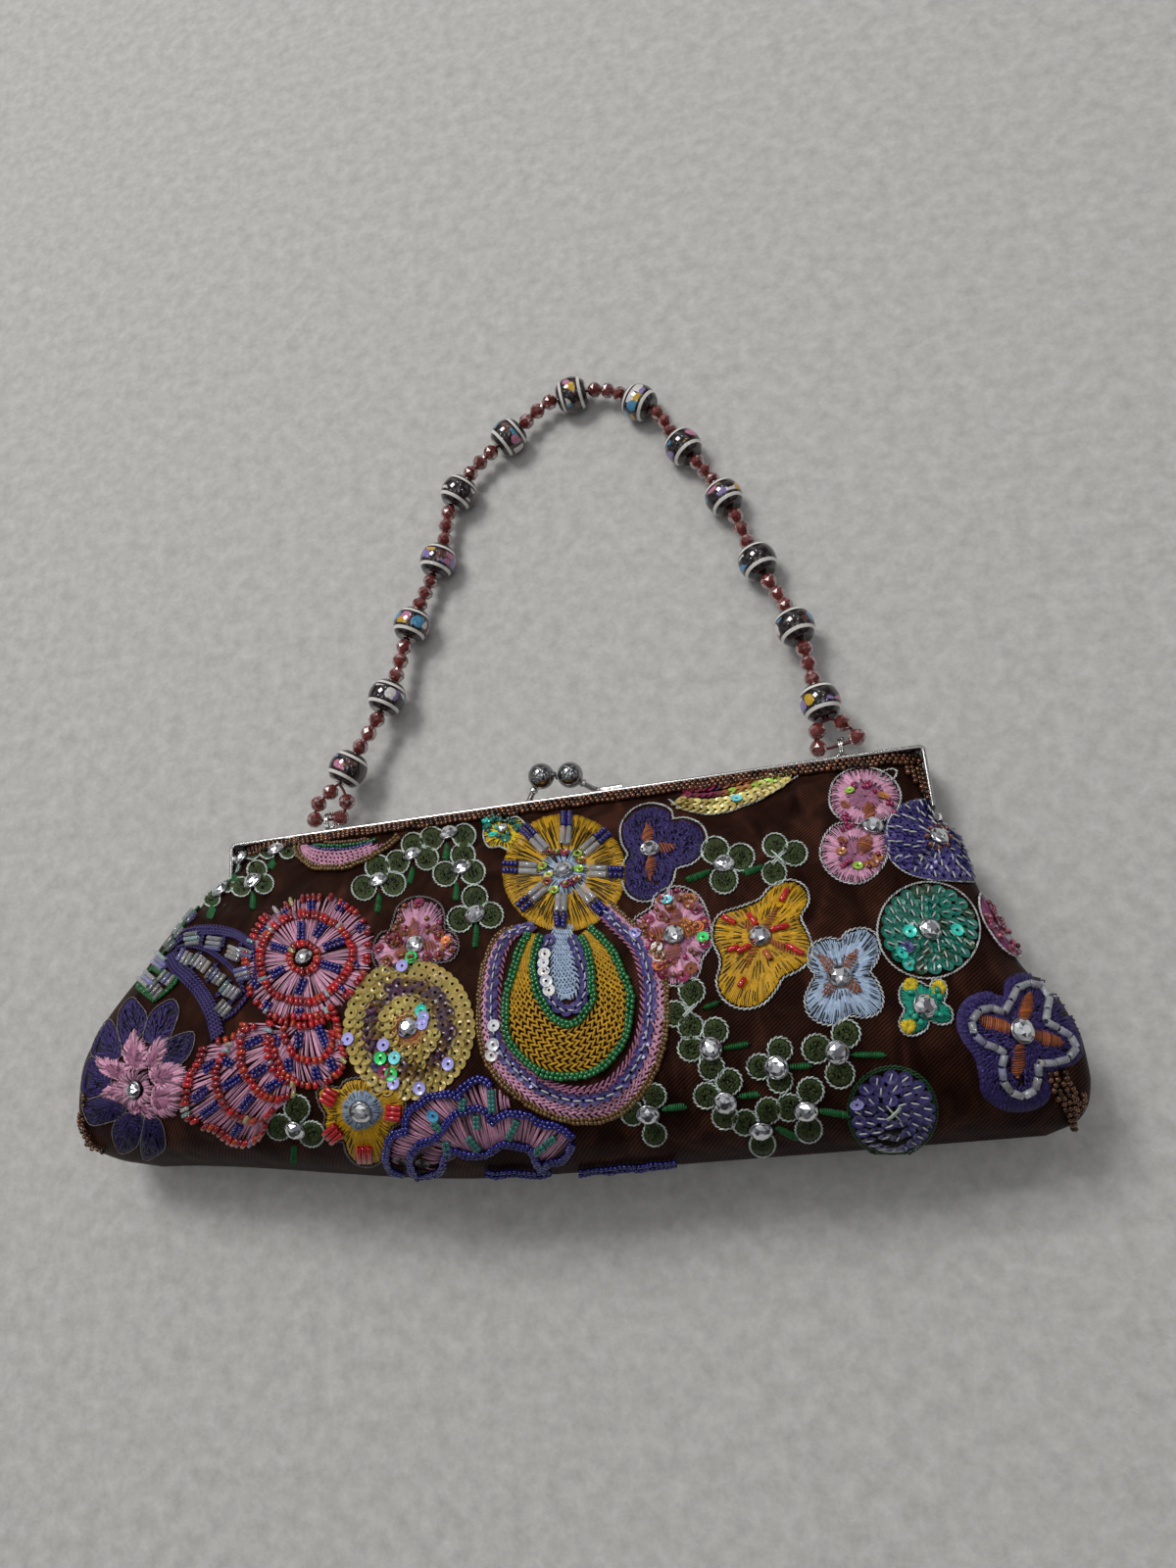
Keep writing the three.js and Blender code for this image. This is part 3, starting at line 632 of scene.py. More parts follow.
def length_mm(path, closed=False):
    path = np.asarray(path, float)
    if closed:
        path = np.concatenate([path, path[:1]])
    P, _, ok = surf(path)
    P = P[ok]
    return float(np.linalg.norm(np.diff(P, axis=0), axis=1).sum()) if len(P) > 1 else 0.0


def fill(inner, outer, colour, pitch=0.42, closed=True, ragged=0.10, width=0.44, lift=0.4, base=0.12, skip=0.0, heap=None):
    """Satin stitch from an inner path to an outer path."""
    n = int(length_mm(outer, closed) / pitch)
    if n < 2:
        return
    a, b = resample(inner, n, closed), resample(outer, n, closed)
    ra, rb = rng.uniform(-ragged, ragged, (n, 1)), rng.uniform(-ragged, ragged * 0.4, (n, 1))
    a2, b2 = a + (b - a) * ra, b + (b - a) * rb
    keep = rng.uniform(0, 1, n) >= skip
    strands(a2[keep], b2[keep], colour, width, lift, base, heap)


def painted_gap_shade(outline, c, colour, k0=0.66, k1=0.97, spacing=1.0, width=0.26, lift=0.62, closed=True, vary=0.5):
    """The narrow dark gaps between bunches of thread, painted as thin strands of the thread's colour at a tenth set
    between the light ones: painted shade in the gaps.
    """
    n = int(length_mm(outline, closed) / spacing)
    if n < 2:
        return
    o = resample(outline, n * 4, closed)
    i = np.clip(np.arange(n) * 4 + rng.integers(-1, 2, n), 0, len(o) - 1)
    b = o[i]
    t0 = k0 + (k1 - k0) * vary * rng.uniform(-0.7, 0.5, (n, 1))
    t1 = k1 + rng.uniform(-0.05, 0.02, (n, 1))
    keep = rng.uniform(0, 1, n) > 0.12
    # painted shade: the strands are the thread's colour at a tenth
    strands((c + (b - c) * t0)[keep], (c + (b - c) * t1)[keep], np.asarray(colour) * 0.10, width, lift, 0.12, accents)


def stipple(outline, c, colour, density=2.4, length=7.0, width=0.40, lift=0.62, spread=0.5, vary=0.34, k1=0.97):
    """Many short stitches that run outward from c, as in a field of seed stitch."""
    area = 0.5 * abs(np.sum(outline[:, 0] * np.roll(outline[:, 1], -1) - outline[:, 1] * np.roll(outline[:, 0], -1))) / 17.6
    n = int(area * density)
    o = resample(outline, 90, True)
    b = o[rng.integers(0, 90, n)]
    k = np.sqrt(rng.uniform(0.01, 1, (n, 1))) * k1
    q = c + (b - c) * k
    d = (b - c) / (np.linalg.norm(b - c, axis=1, keepdims=True) + 1e-9)
    t = rng.normal(0, spread, (n, 1))
    d = d * np.cos(t) + np.stack([-d[:, 1], d[:, 0]], -1) * np.sin(t)
    size = length * rng.uniform(0.6, 1.15, (n, 1))
    tone = np.clip(rng.normal(1, vary, (n, 1)), 0.35, 2.0)
    strands(q - d * size * 0.7, q + d * size * 0.3, np.asarray(colour) * tone, width, lift, 0.10, accents)


def petal_fill(outline, c, colour, shade=None, rings=((0.08, 0.6), (0.42, 1.0)), pitch=0.42, width=0.46, lift=0.45, heap=None, skip=0.0, ragged=0.10):
    shade = colour if shade is None else shade
    for k, (r0, r1) in enumerate(rings):
        col = shade if k == 0 and len(rings) > 1 else colour
        fill(toward(outline, c, r0), toward(outline, c, r1), col, pitch, True, ragged, width, lift, 0.10 + 0.05 * k, skip, heap)


def ground(outline, c, colour, rings=5, height=0.06):
    """A thin layer under the stitches, in the thread's colour darkened to 0.16: painted shade between the threads, so
    that no bare satin shows through the thread.
    """
    n = 48
    o = resample(outline, n, True)
    V, q = [], []
    for r in np.linspace(0.02, 0.97, rings + 1):
        P, N, ok = surf(toward(o, c, r))
        P[~ok] = np.nan
        V.append(P + N * height)
    V = np.concatenate(V)
    j = np.arange(n)
    k = (j + 1) % n
    for i in range(rings):
        q.append(np.stack([i * n + j, (i + 1) * n + j, (i + 1) * n + k, i * n + k], -1))
    q = np.concatenate(q)
    bad = np.isnan(V[:, 0])
    q = q[~bad[q].any(1)]
    V[bad] = 0
    if len(q):
        used = np.unique(q)
        re = np.full(len(V), -1)
        re[used] = np.arange(len(used))
        A, B, C = (V[q[:, i]] for i in (0, 1, 2))
        if np.cross(B - A, C - A)[:, 2].sum() < 0:
            q = q[:, ::-1]
        # painted shade: the sheet is the thread's colour at 0.16
        shade_sheets.add(V[used], [re[q]], np.broadcast_to(np.asarray(colour) * 0.16, (len(used), 3)))


def seed_row(path, colour, r=0.98, length=1.5, pitch=None, closed=False, lift=None, heap=None, wobble=0.08, jit=0.14):
    r, length = r * SEED_SIZE, length * SEED_SIZE
    P, N, T, Q = walk(path, pitch or length * 1.04, closed)
    n = len(P)
    if not n:
        return
    B = np.cross(N, T)
    P = P + N * ((lift if lift is not None else r * 0.85) + rng.normal(0, wobble, (n, 1))) + B * rng.normal(0, wobble, (n, 1))
    a = rng.normal(0, 0.10, (n, 1))
    ax = T * np.cos(a) + B * np.sin(a)
    ay = np.cross(N, ax)
    c = jitter(colour if np.ndim(colour) == 1 else np.resize(colour, (n, 3)), n, jit, 0.04)
    (heap or seeds).place(SEED, P, ax, ay, N, (length / 2, r, r), c)


def seed_points(px, colour, r=0.98, length=1.5, lift=0.8, heap=None, turn=None):
    """Single seed beads at chart points, lying at any angle."""
    P, N, ok = surf(px)
    P, N = P[ok], N[ok]
    n = len(P)
    if not n:
        return
    a = rng.uniform(0, math.pi, n) if turn is None else np.full(n, math.radians(turn))
    ref = np.cross(N, np.array([0.0, 1.0, 0.0]))
    ref /= np.linalg.norm(ref, axis=1, keepdims=True) + 1e-9
    up = np.cross(N, ref)
    ax = ref * np.cos(a)[:, None] + up * np.sin(a)[:, None]
    ay = np.cross(N, ax)
    colour = np.asarray(colour)
    c = jitter(colour if colour.ndim == 1 else colour[ok], n, 0.14, 0.04)
    r, length = r * SEED_SIZE, length * SEED_SIZE
    (heap or seeds).place(SEED, P + N * lift, ax, ay, N, (length / 2, r, r), c)


def bead_bar(a, b, colour="navy", gap=4.4, r=0.86, columns=2, lift=0.95):
    """Columns of seed beads side by side, from chart point a to chart point b."""
    a, b = np.asarray(a, float), np.asarray(b, float)
    d = (b - a) / (np.linalg.norm(b - a) + 1e-9)
    s = np.array([-d[1], d[0]])
    for k in range(columns):
        w = s * gap * (k - (columns - 1) / 2)
        seed_row(resample(np.stack([a + w, b + w]), 8), COL[colour], r, 1.5, None, False, lift, wobble=0.04)


def twin_row(path, colour, gap=3.3, r=0.86, closed=False, lift=0.85, jit=0.14):
    """Two rows of seed beads twisted together along a path."""
    path = np.asarray(path, float)
    for k, w in enumerate((-gap / 2, gap / 2)):
        t = np.roll(path, -1, 0) - np.roll(path, 1, 0) if closed else np.gradient(path, axis=0)
        n = np.stack([-t[:, 1], t[:, 0]], -1)
        n /= np.linalg.norm(n, axis=1, keepdims=True) + 1e-9
        s = np.arange(len(path)) * 0.35
        seed_row(path + n * (w + 0.5 * np.sin(s))[:, None], colour, r, 1.55, None, closed, lift + 0.12 * k, jit=jit)


def cord(path, colour="silver_cord", width=0.62, pitch=0.82, closed=False, slant=20.0, lift=0.38):
    """A twisted cord couched along a path."""
    P, N, T, Q = walk(path, pitch, closed)
    n = len(P)
    if not n:
        return
    B = np.cross(N, T)
    a = math.radians(slant)
    ax = T * math.cos(a) + B * math.sin(a)
    ay = np.cross(N, ax)
    c = COL[colour] if isinstance(colour, str) else colour
    cordage.place(GRAIN, P + N * lift, ax, ay, N, (pitch * 0.66, width * 0.46 * CORD_SIZE, width * 0.46 * CORD_SIZE), jitter(c, n, 0.22, 0.02))


def chain(path, colour, width=2.0, pitch=1.55, closed=False, lift=0.4, thick=0.62):
    """A row of chain stitch: pairs of strands that meet in a V."""
    P, N, T, Q = walk(path, pitch, closed)
    n = len(P)
    if not n:
        return
    B = np.cross(N, T)
    c = COL[colour] if isinstance(colour, str) else colour
    for side in (-1, 1):
        a = math.radians(30 * side)
        ax = T * math.cos(a) + B * math.sin(a)
        ay = np.cross(N, ax)
        at = P + N * (lift + 0.05 * side) + B * (-side) * width * -0.22
        chains.place(GRAIN, at, ax, ay, N, (pitch * 0.72, thick * 0.5, thick * 0.5), jitter(c, n, 0.12, 0.02))


def sequin_points(P, N, T, colours, r=1.75, tilt=14.0, lift=0.55):
    n = len(P)
    if not n:
        return
    r = r * SEQUIN_SIZE
    a = np.radians(tilt * 0.55 + rng.normal(0, 3.0, (n, 1)))
    B = np.cross(N, T)
    s = rng.normal(0, 0.05, (n, 1))
    T2 = T * np.cos(a) + N * np.sin(a)
    N2 = np.cross(T2, B)
    N2 = N2 + B * s
    N2 /= np.linalg.norm(N2, axis=1, keepdims=True)
    B2 = np.cross(N2, T2)
    discs.place(SEQUIN, P + N * (lift + rng.normal(0, 0.05, (n, 1))), T2, B2, N2, (r, r, r), colours)


def sequin_row(path, names, weights=None, r=1.75, pitch=2.1, closed=False, tilt=14.0, lift=0.55, jit=0.12, stitched=False, stitch_colour="white"):
    P, N, T, Q = walk(path, pitch, closed)
    n = len(P)
    if not n:
        return
    sequin_points(P, N, T, jitter(pick(names, n, weights), n, jit, 0.03), r, tilt, lift)
    return P, N, T, Q


def dash(P, N, D, length=2.0, colour="white", width=0.34, lift=1.2):
    """Short straight stitches at points, along directions."""
    n = len(P)
    if n:
        D = D - N * np.sum(D * N, 1, keepdims=True)
        D /= np.linalg.norm(D, axis=1, keepdims=True) + 1e-9
        cordage.place(GRAIN, P + N * lift, D, np.cross(N, D), N, (length / 2, width / 2, width / 2), jitter(COL[colour], n, 0.06, 0.02))


def stone(px, size=5.6, lift=0.85, tone=1.0, turn=None):
    P, N, ok = surf([px])
    if not ok[0]:
        return
    a = rng.uniform(0, math.pi) if turn is None else turn
    ref = np.cross(N, np.array([[0.0, 1.0, 0.0]]))
    ref /= np.linalg.norm(ref) + 1e-9
    up = np.cross(N, ref)
    ax = ref * math.cos(a) + up * math.sin(a)
    ay = np.cross(N, ax)
    r = size * STONE_SIZE / 2
    stones.place(STONE, P + N * lift, ax, ay, N, (r, r, r * 0.95), COL["silver"] * tone)
    bezels.place(BEZEL, P + N * (lift - 0.05), ax, ay, N, (r * 0.95, r * 0.95, r * 0.95), COL["silver"] * 0.8)


def bugle(a, b, colour, r=0.95, lift=0.95):
    """Tube beads between chart points a and b."""
    a, b = np.asarray(a, float).reshape(-1, 2), np.asarray(b, float).reshape(-1, 2)
    A, NA, oa = surf(a)
    B, NB, ob = surf(b)
    ok = oa & ob
    A, B, N = A[ok], B[ok], (NA + NB)[ok]
    n = len(A)
    if not n:
        return
    N /= np.linalg.norm(N, axis=1, keepdims=True)
    D = B - A
    L = np.linalg.norm(D, axis=1, keepdims=True)
    D = D / (L + 1e-9)
    N = N - D * np.sum(N * D, 1, keepdims=True)
    N /= np.linalg.norm(N, axis=1, keepdims=True)
    c = np.asarray(colour)
    c = c[ok] if c.ndim == 2 else c
    r = r * TUBE_SIZE
    size = np.concatenate([L / 2 * 0.96, np.full((n, 1), r), np.full((n, 1), r)], 1)
    (tubes_clear if np.min(c) > 0.20 else tubes).place(BUGLE, (A + B) / 2 + N * lift, D, np.cross(N, D), N, size, jitter(c, n, 0.10, 0.03))


def side_by_side(c, angle, count=2, length=22.0, gap=5.4, colour=None, r=0.95, lift=0.95):
    """A few tube beads lying side by side, at an angle in the chart (degrees, y down)."""
    a = math.radians(angle)
    d, s = np.array([math.cos(a), math.sin(a)]), np.array([-math.sin(a), math.cos(a)])
    for k in range(count):
        m = np.asarray(c) + s * gap * (k - (count - 1) / 2)
        bugle(m - d * length / 2, m + d * length / 2, COL["clear"] if colour is None else colour, r, lift)


def wrap(path, width_px, colour, pitch=0.40, lift=0.9):
    """Satin stitch across a path, as on a stem: raised, and rounded at its ends."""
    path = curve(path)
    n = max(3, int(length_mm(path) / pitch))
    p = resample(path, n)
    t = np.gradient(p, axis=0)
    s = np.stack([-t[:, 1], t[:, 0]], -1)
    s /= np.linalg.norm(s, axis=1, keepdims=True) + 1e-9
    u = np.linspace(-1, 1, n)[:, None]
    k = np.sqrt(np.clip(1.02 - np.abs(u) ** 5, 0.03, 1)) * (0.82 + 0.12 * u)
    strands(p - s * width_px / 2 * k, p + s * width_px / 2 * k, COL[colour], 0.50, lift, 0.10)


def cross_stitch(c, r=8.0, colour="pale_cord"):
    c = np.asarray(c, float)
    for d in ((1, 1), (1, -1)):
        d = np.array(d) * r * 0.7
        strands([c - d], [c + d], COL[colour], 0.40, 0.5, 0.9, accents)
        strands([c - d + 1.5], [c + d + 1.5], COL[colour], 0.36, 0.5, 0.9, accents)


# ------------------------------------------------------------------ motifs, charted from the photograph
def gold_wheel():
    c, rx, ry = np.array([576.0, 891.0]), 63.0, 60.0
    rim = oval(c, rx, ry)
    ground(rim, c, COL["gold_dark"], 6)
    fill(toward(rim, c, 0.80), toward(rim, c, 1.0), COL["gold"], 0.50, True, 0.05, 0.44, 0.5)
    fill(toward(rim, c, 0.34), toward(rim, c, 0.86), COL["gold"], 0.46, True, 0.04, 0.42, 0.5, 0.14)
    painted_gap_shade(rim, c, COL["gold_dark"], 0.42, 0.84, 1.05, 0.30, 0.80)
    painted_gap_shade(rim, c, COL["gold_dark"], 0.60, 0.97, 1.25, 0.22, 0.82)
    fill(toward(rim, c, 0.06), toward(rim, c, 0.42), COL["paleblue"], 0.60, True, 0.22, 0.42, 0.6, 0.22, 0.1)
    painted_gap_shade(toward(rim, c, 0.42), c, COL["bluegrey"], 0.45, 0.95, 0.9, 0.24, 1.0)
    for k in range(8):
        a = math.radians(-87 + 45 * k)
        d, s = np.array([math.cos(a), math.sin(a) * ry / rx]), np.array([-math.sin(a), math.cos(a)])
        bead_bar(c + d * 46.5, c + d * 61.0, "navy", 6.6, 1.22, 2, 1.15)
        for w in (-3.3, 3.3):
            bugle([c + d * 26.5 + s * w * 0.95], [c + d * 45.5 + s * w], COL["clear"], 1.16, 1.15)
    for k in range(13):
        a = 2 * math.pi * k / 13 + rng.uniform(-0.15, 0.15)
        r = rng.uniform(13, 25)
        p = c + np.array([math.cos(a), math.sin(a)]) * r
        name = ("lime", "brown_seed", "wine", "magenta", "lime", "orange_dark", "sequin_pale")[k % 7]
        P, N, ok = surf([p])
        T = np.cross(N, [[0.3, 1.0, 0.2]])
        T /= np.linalg.norm(T)
        sequin_points(P, N, T, COL[name][None], 1.35, 8, 1.15)
        seed_points([p], COL[("lime", "amber", "wine")[k % 3]], 0.8, 1.0, 1.45)
    stone(c, 6.0, 1.25)


def small_yellow(c, rx, ry, left_side=True):
    c = np.asarray(c, float)
    outline = curve(c + np.array([(-rx, -2), (-rx * .55, -ry * .9), (0, -ry * .75), (rx * .55, -ry), (rx, -ry * .35), (rx * .8, ry * .3), (rx * .35, ry), (-rx * .25, ry * .75), (-rx * .8, ry * .75)]), True)
    ground(outline, c, COL["gold_dark"], 3)
    petal_fill(outline, c, COL["yellow"] * 0.8 + COL["gold"] * 0.2, pitch=0.5, rings=((0.15, 1.0),))
    cord(grow(outline, 1.2), "silver_cord", closed=True)
    painted_gap_shade(outline, c, COL["gold_dark"], 0.55, 0.97, 0.8)
    scatter_sequins(PX((498, 846), (500, 839), (508, 838), (524, 842), (517, 858), (504, 854), (529, 846)), ("teal", "turquoise", "teal", "teal", "teal", "turquoise", "teal"), 1.5, 10, 0.9)
    for q in PX((497, 843), (503, 842), (500, 852), (508, 848), (512, 841), (520, 840), (526, 848), (520, 855), (511, 857), (504, 836)):
        seed_points([q, q + rng.normal(0, 2, 2)], COL[("teal", "teal_leaf", "turquoise")[rng.integers(0, 3)]] * 0.8, 0.95, 1.5, 1.15)
    stone((514, 849), 3.6, 1.2, 0.55)


def pansy():
    o = curve(RC((188, 252), (225, 236), (262, 238), (288, 252), (296, 277), (335, 276), (372, 292), (388, 325), (380, 362), (350, 392), (305, 408), (292, 445), (262, 485), (215, 499), (178, 482), (162, 445), (164, 405), (178, 372), (160, 335), (160, 290)), True)
    c = RC((235, 362))[0]
    ground(o, c, COL["purple"])
    fill(toward(o, c, 0.80), o, COL["purple"], 0.42, True, 0.03, 0.42, 0.35)
    stipple(o, c, COL["purple"] * 1.25, 3.4, 7.0, 0.38, 0.65, 0.75)
    cord(grow(o, 3.0), "silver_cord", 0.70, 1.0, True)
    for tip, w in (((224, 292), 13), ((305, 352), 11), ((238, 446), 12)):
        hatch_petal(RC((235, 362))[0], RC(tip)[0], w, "orange")
    stone(c, 5.8, 1.1)


def hatch_petal(c, tip, width, colour, start=0.25, lift=0.55, pitch=0.58, base=0.75):
    """A pointed petal hatched with threads across it."""
    c, tip = np.asarray(c, float), np.asarray(tip, float)
    d = tip - c
    n = max(6, int(length_mm(np.stack([c + d * t for t in np.linspace(start, 1, 8)])) / pitch))
    t = np.linspace(start, 1.0, n)
    s = np.array([-d[1], d[0]]) / (np.linalg.norm(d) + 1e-9)
    w = width * 0.5 * np.sin(np.clip((t - start) / (1 - start), 0, 1) * math.pi * 0.86 + 0.42) ** 0.8
    m = c + d * t[:, None]
    skew = d / np.linalg.norm(d) * 2.0
    strands(m - s * w[:, None] - skew, m + s * w[:, None] + skew, COL[colour], 0.44, lift, base, accents)


def clover(c, lobes, stem=None, radius=14.0, x_stitch=False, size=5.9, foreshort=1.0, cord_name="pale_cord"):
    c = np.asarray(c, float)
    for lobe in lobes:
        m = np.asarray(lobe, float)
        d = m - c
        L = np.linalg.norm(d) + 1e-9
        d /= L
        s = np.array([-d[1], d[0]])
        r = radius
        a = np.radians(np.linspace(-150, 150, 26))
        arc = m + (np.cos(a)[:, None] * d * r + np.sin(a)[:, None] * s * r) * np.array([foreshort, 1.0])
        o = np.concatenate([arc, [c + d * 3.0]])
        o = curve(o[::2], True, 2.0)
        leaf = toward(o, m * 0.9 + c * 0.1, 0.93)
        mid = c + (m - c) * 0.85
        ground(leaf, mid, COL["olive"], 3)
        fill(toward(leaf, mid, 0.52), leaf, COL["olive"] * 1.25, 0.44, True, 0.05, 0.42, 0.55)
        stipple(leaf, mid, COL["olive"] * 0.95, 3.0, 4.6, 0.36, 0.70, 0.8, 0.45, 0.75)
        cord(grow(o, 0.4), cord_name, 0.66, 1.0, True, lift=0.40)
    if stem is not None:
        wrap(stem, 7.5, "emerald")
    if x_stitch:
        cross_stitch(c, 9.0)
    else:
        stone(c, size, 1.05, rng.uniform(0.75, 1.0))


def frame_crescent_gold():
    K = lambda *pts: np.array([(670 + x / 6.2, 770 + y / 6.2) for x, y in pts])
    low = curve(K((80, 290), (150, 345), (230, 370), (330, 385), (400, 376), (470, 365), (560, 330), (640, 300), (720, 255), (800, 205), (900, 140)))
    top = curve(K((100, 275), (165, 245), (235, 232), (300, 222), (370, 212), (420, 205), (470, 192), (530, 184), (590, 174), (640, 168), (690, 160), (750, 150), (820, 138), (870, 134)))
    cord(low, "silver_cord", 0.62, 1.0)
    ground(np.concatenate([low, top[::-1]]), (low.mean(0) + top.mean(0)) / 2, COL["dark"], 3)
    n = 80
    A, B = resample(low, n), resample(top, n)
    left, mid, right = ("magenta", "purple", "wine", "magenta"), ("amber", "brown_seed", "orange_dark", "lime"), ("sequin_gold", "lime", "yellow_pale", "sequin_pale")
    for i, (t, first, last, pale) in enumerate(((0.14, 0.05, 0.93, True), (0.40, 0.08, 0.95, True), (0.66, 0.10, 0.97, False), (0.92, 0.12, 0.99, False))):
        path = (A * (1 - t) + B * t)[int(first * n): int(last * n)]
        if pale:
            sequin_row(path, ("sequin_pale", "sequin_gold"), (3, 2), 1.78, 1.75, False, 20, 0.50 + 0.10 * i)
            continue
        third = len(path) // 3
        for k, names in enumerate((left, mid, right)):
            part = path[k * third: (k + 1) * third + 1] if k < 2 else path[2 * third:]
            sequin_row(part, names, None, 1.78, 1.75, False, 18, 0.50 + 0.10 * i)
    scatter_sequins(K((510, 304)), ("cyan_bright",), 1.6, 4, 1.35)


def bead_scatter(outline, c, names, count, r0=0.3, r1=0.92, radius=1.05):
    """Small clear sequins, each held by a seed bead, and seed beads between them."""
    o = resample(outline, 60, True)
    i = rng.integers(0, 60, count)
    k = rng.uniform(r0 ** 2, r1 ** 2, (count, 1)) ** 0.5
    q = c + (o[i] - c) * k
    half = count // 2
    P, N, ok = surf(q[:half])
    P, N = P[ok], N[ok]
    T = np.cross(N, rng.normal(0, 1, (len(P), 3)))
    T /= np.linalg.norm(T, axis=1, keepdims=True)
    sequin_points(P, N, T, jitter(pick(names, len(P)), len(P), 0.15), 1.5, 10, 0.85)
    seed_points(q[:half], pick(names, half), radius * 0.8, 1.2, 1.2)
    seed_points(q[half:], pick(names, count - half), radius, 1.4, 0.9)


def scatter_sequins(px, names, r=1.6, tilt=8, lift=1.0, bead="amber"):
    P, N, ok = surf(px)
    P, N = P[ok], N[ok]
    T = np.cross(N, rng.normal(0, 1, (len(P), 3)))
    T /= np.linalg.norm(T, axis=1, keepdims=True)
    c = np.array([COL[n] for n in names])[ok]
    sequin_points(P, N, T, c, r, tilt, lift)


def pink_four():
    o = curve(RC((252, 492), (290, 470), (330, 470), (368, 492), (390, 530), (402, 575), (404, 630), (380, 668), (368, 712), (340, 738), (300, 742), (262, 726), (243, 690), (236, 655), (205, 640), (184, 600), (192, 560), (222, 538), (243, 522)), True)
    c = RC((302, 605))[0]
    ground(o, c, COL["pink"])
    petal_fill(o, c, COL["pink"], COL["pink_deep"], pitch=0.48, lift=0.45)
    painted_gap_shade(o, c, COL["pink"], 0.72, 0.98, 0.85)
    cord(grow(o, 1.6), "silver_cord", 0.6, 1.0, True)
    for tip in ((310, 532), (366, 590), (305, 690), (225, 600)):
        hatch_petal(c, RC(tip)[0], 15, "orange")
    bead_scatter(o, c, ("brown_seed", "magenta", "amber", "orange_dark"), 46, 0.35, 0.92)
    scatter_sequins(RC((282, 507), (372, 582), (385, 610), (192, 600), (255, 640), (258, 664), (258, 690), (320, 500), (345, 520), (230, 560), (350, 700), (330, 722), (275, 712), (290, 520)),
                    ("cyan_bright", "orange_bright", "green_bright", "lavender", "white", "white", "orange_bright", "brown_seed", "orange_dark", "magenta", "orange_dark", "magenta", "wine", "brown_seed"), 1.55)
    stone(c, 5.8, 1.2)


def gold_butterfly():
    o = curve(RC((548, 505), (575, 475), (605, 456), (640, 452), (672, 470), (680, 505), (662, 538), (660, 560), (680, 600), (692, 640), (684, 672), (650, 700), (612, 718), (590, 752), (560, 787), (520, 804), (478, 800), (444, 775), (430, 735), (440, 690), (438, 660), (420, 620), (420, 575), (440, 545), (490, 528)), True)
    c = RC((548, 606))[0]
    ground(o, c, COL["gold_dark"])
    petal_fill(o, c, COL["gold"], COL["gold"], pitch=0.44, lift=0.5, rings=((0.08, 0.5), (0.34, 0.76), (0.6, 1.0)), ragged=0.05)
    painted_gap_shade(o, c, COL["gold_dark"], 0.70, 0.98, 0.85, 0.26, 0.74)
    painted_gap_shade(o, c, COL["gold_dark"], 0.38, 0.66, 1.5, 0.24, 0.72)
    cord(grow(o, 2.4), "silver_cord", 0.66, 1.0, True)
    for tip, w in (((595, 530), 9), ((655, 660), 8), ((510, 690), 9), ((500, 570), 9)):
        hatch_petal(c, RC(tip)[0], w, "orange", lift=0.4)
    for a, b in (((440, 552), (478, 572)), ((515, 545), (540, 580)), ((608, 512), (628, 475)), ((575, 592), (628, 578)), ((622, 632), (672, 660)), ((560, 650), (580, 672)), ((480, 655), (520, 635)), ((488, 755), (505, 728)), ((455, 650), (490, 640))):
        bugle(RC(a), RC(b), COL["red"] * 1.1, 0.95, 1.15)
    bugle(RC((562, 652)), RC((580, 675)), COL["orange_bright"], 0.9, 1.2)
    stone(c, 5.8, 1.25)


def paleblue_four():
    o = curve(RC((690, 650), (705, 628), (742, 614), (775, 618), (800, 595), (840, 586), (872, 600), (886, 635), (876, 675), (858, 705), (878, 735), (895, 780), (884, 818), (845, 832), (800, 828), (765, 850), (725, 849), (690, 825), (680, 785), (694, 745), (708, 715), (692, 690)), True)
    c = RC((775, 722))[0]
    ground(o, c, COL["paleblue"])
    petal_fill(o, c, COL["paleblue"], COL["paleblue"], pitch=0.46, lift=0.5, rings=((0.1, 0.55), (0.4, 1.0)), ragged=0.05)
    painted_gap_shade(o, c, COL["bluegrey"], 0.66, 0.98, 0.85, 0.28, 0.70)
    painted_gap_shade(o, c, COL["bluegrey"], 0.30, 0.55, 1.3, 0.24, 0.70)
    cord(grow(o, 1.6), "silver_cord", 0.56, 1.0, True)
    for tip in ((715, 662), (822, 648), (732, 775), (832, 762)):
        hatch_petal(c, RC(tip)[0], 13, "orange")
    stone(c, 6.2, 1.2)


def sequin_round(c, rx, ry, names, weights, rings, outline="silver_cord", ring_r=1.08, special=(), dashes=True, centre="stone", pitch=2.6, tilt=8, swirl=0.55):
    c = np.asarray(c, float)
    rim = oval(c, rx, ry)
    ground(oval(c, rx * 0.80, ry * 0.80), c, COL["dark"], 4)
    if outline == "green_dark":
        for k in (0.98, 1.04):
            cord(oval(c, rx * ring_r * k, ry * ring_r * k), "green_dark", 0.62, 0.95, True)
    else:
        cord(oval(c, rx * ring_r, ry * ring_r), outline, 0.62, 0.82, True)
    for i, k in enumerate(rings):
        path = oval(c, rx * k, ry * k, 0, 13 * i, 360 + 13 * i)
        got = sequin_row(path, names, weights, 1.80, pitch, True, tilt, 0.5 + 0.22 * (len(rings) - i) / len(rings))
        if got and dashes:
            P, N, T, Q = got
            D = np.cross(N, T)
            D = D + T * swirl + rng.normal(0, 0.12, D.shape)
            dash(P, N, D, 1.75, "silver_cord", 0.40, 1.1)
    for p, name in special:
        scatter_sequins([p], [name], 1.7, 8, 1.3)
    if centre == "stone":
        stone(c, 6.0, 1.15)


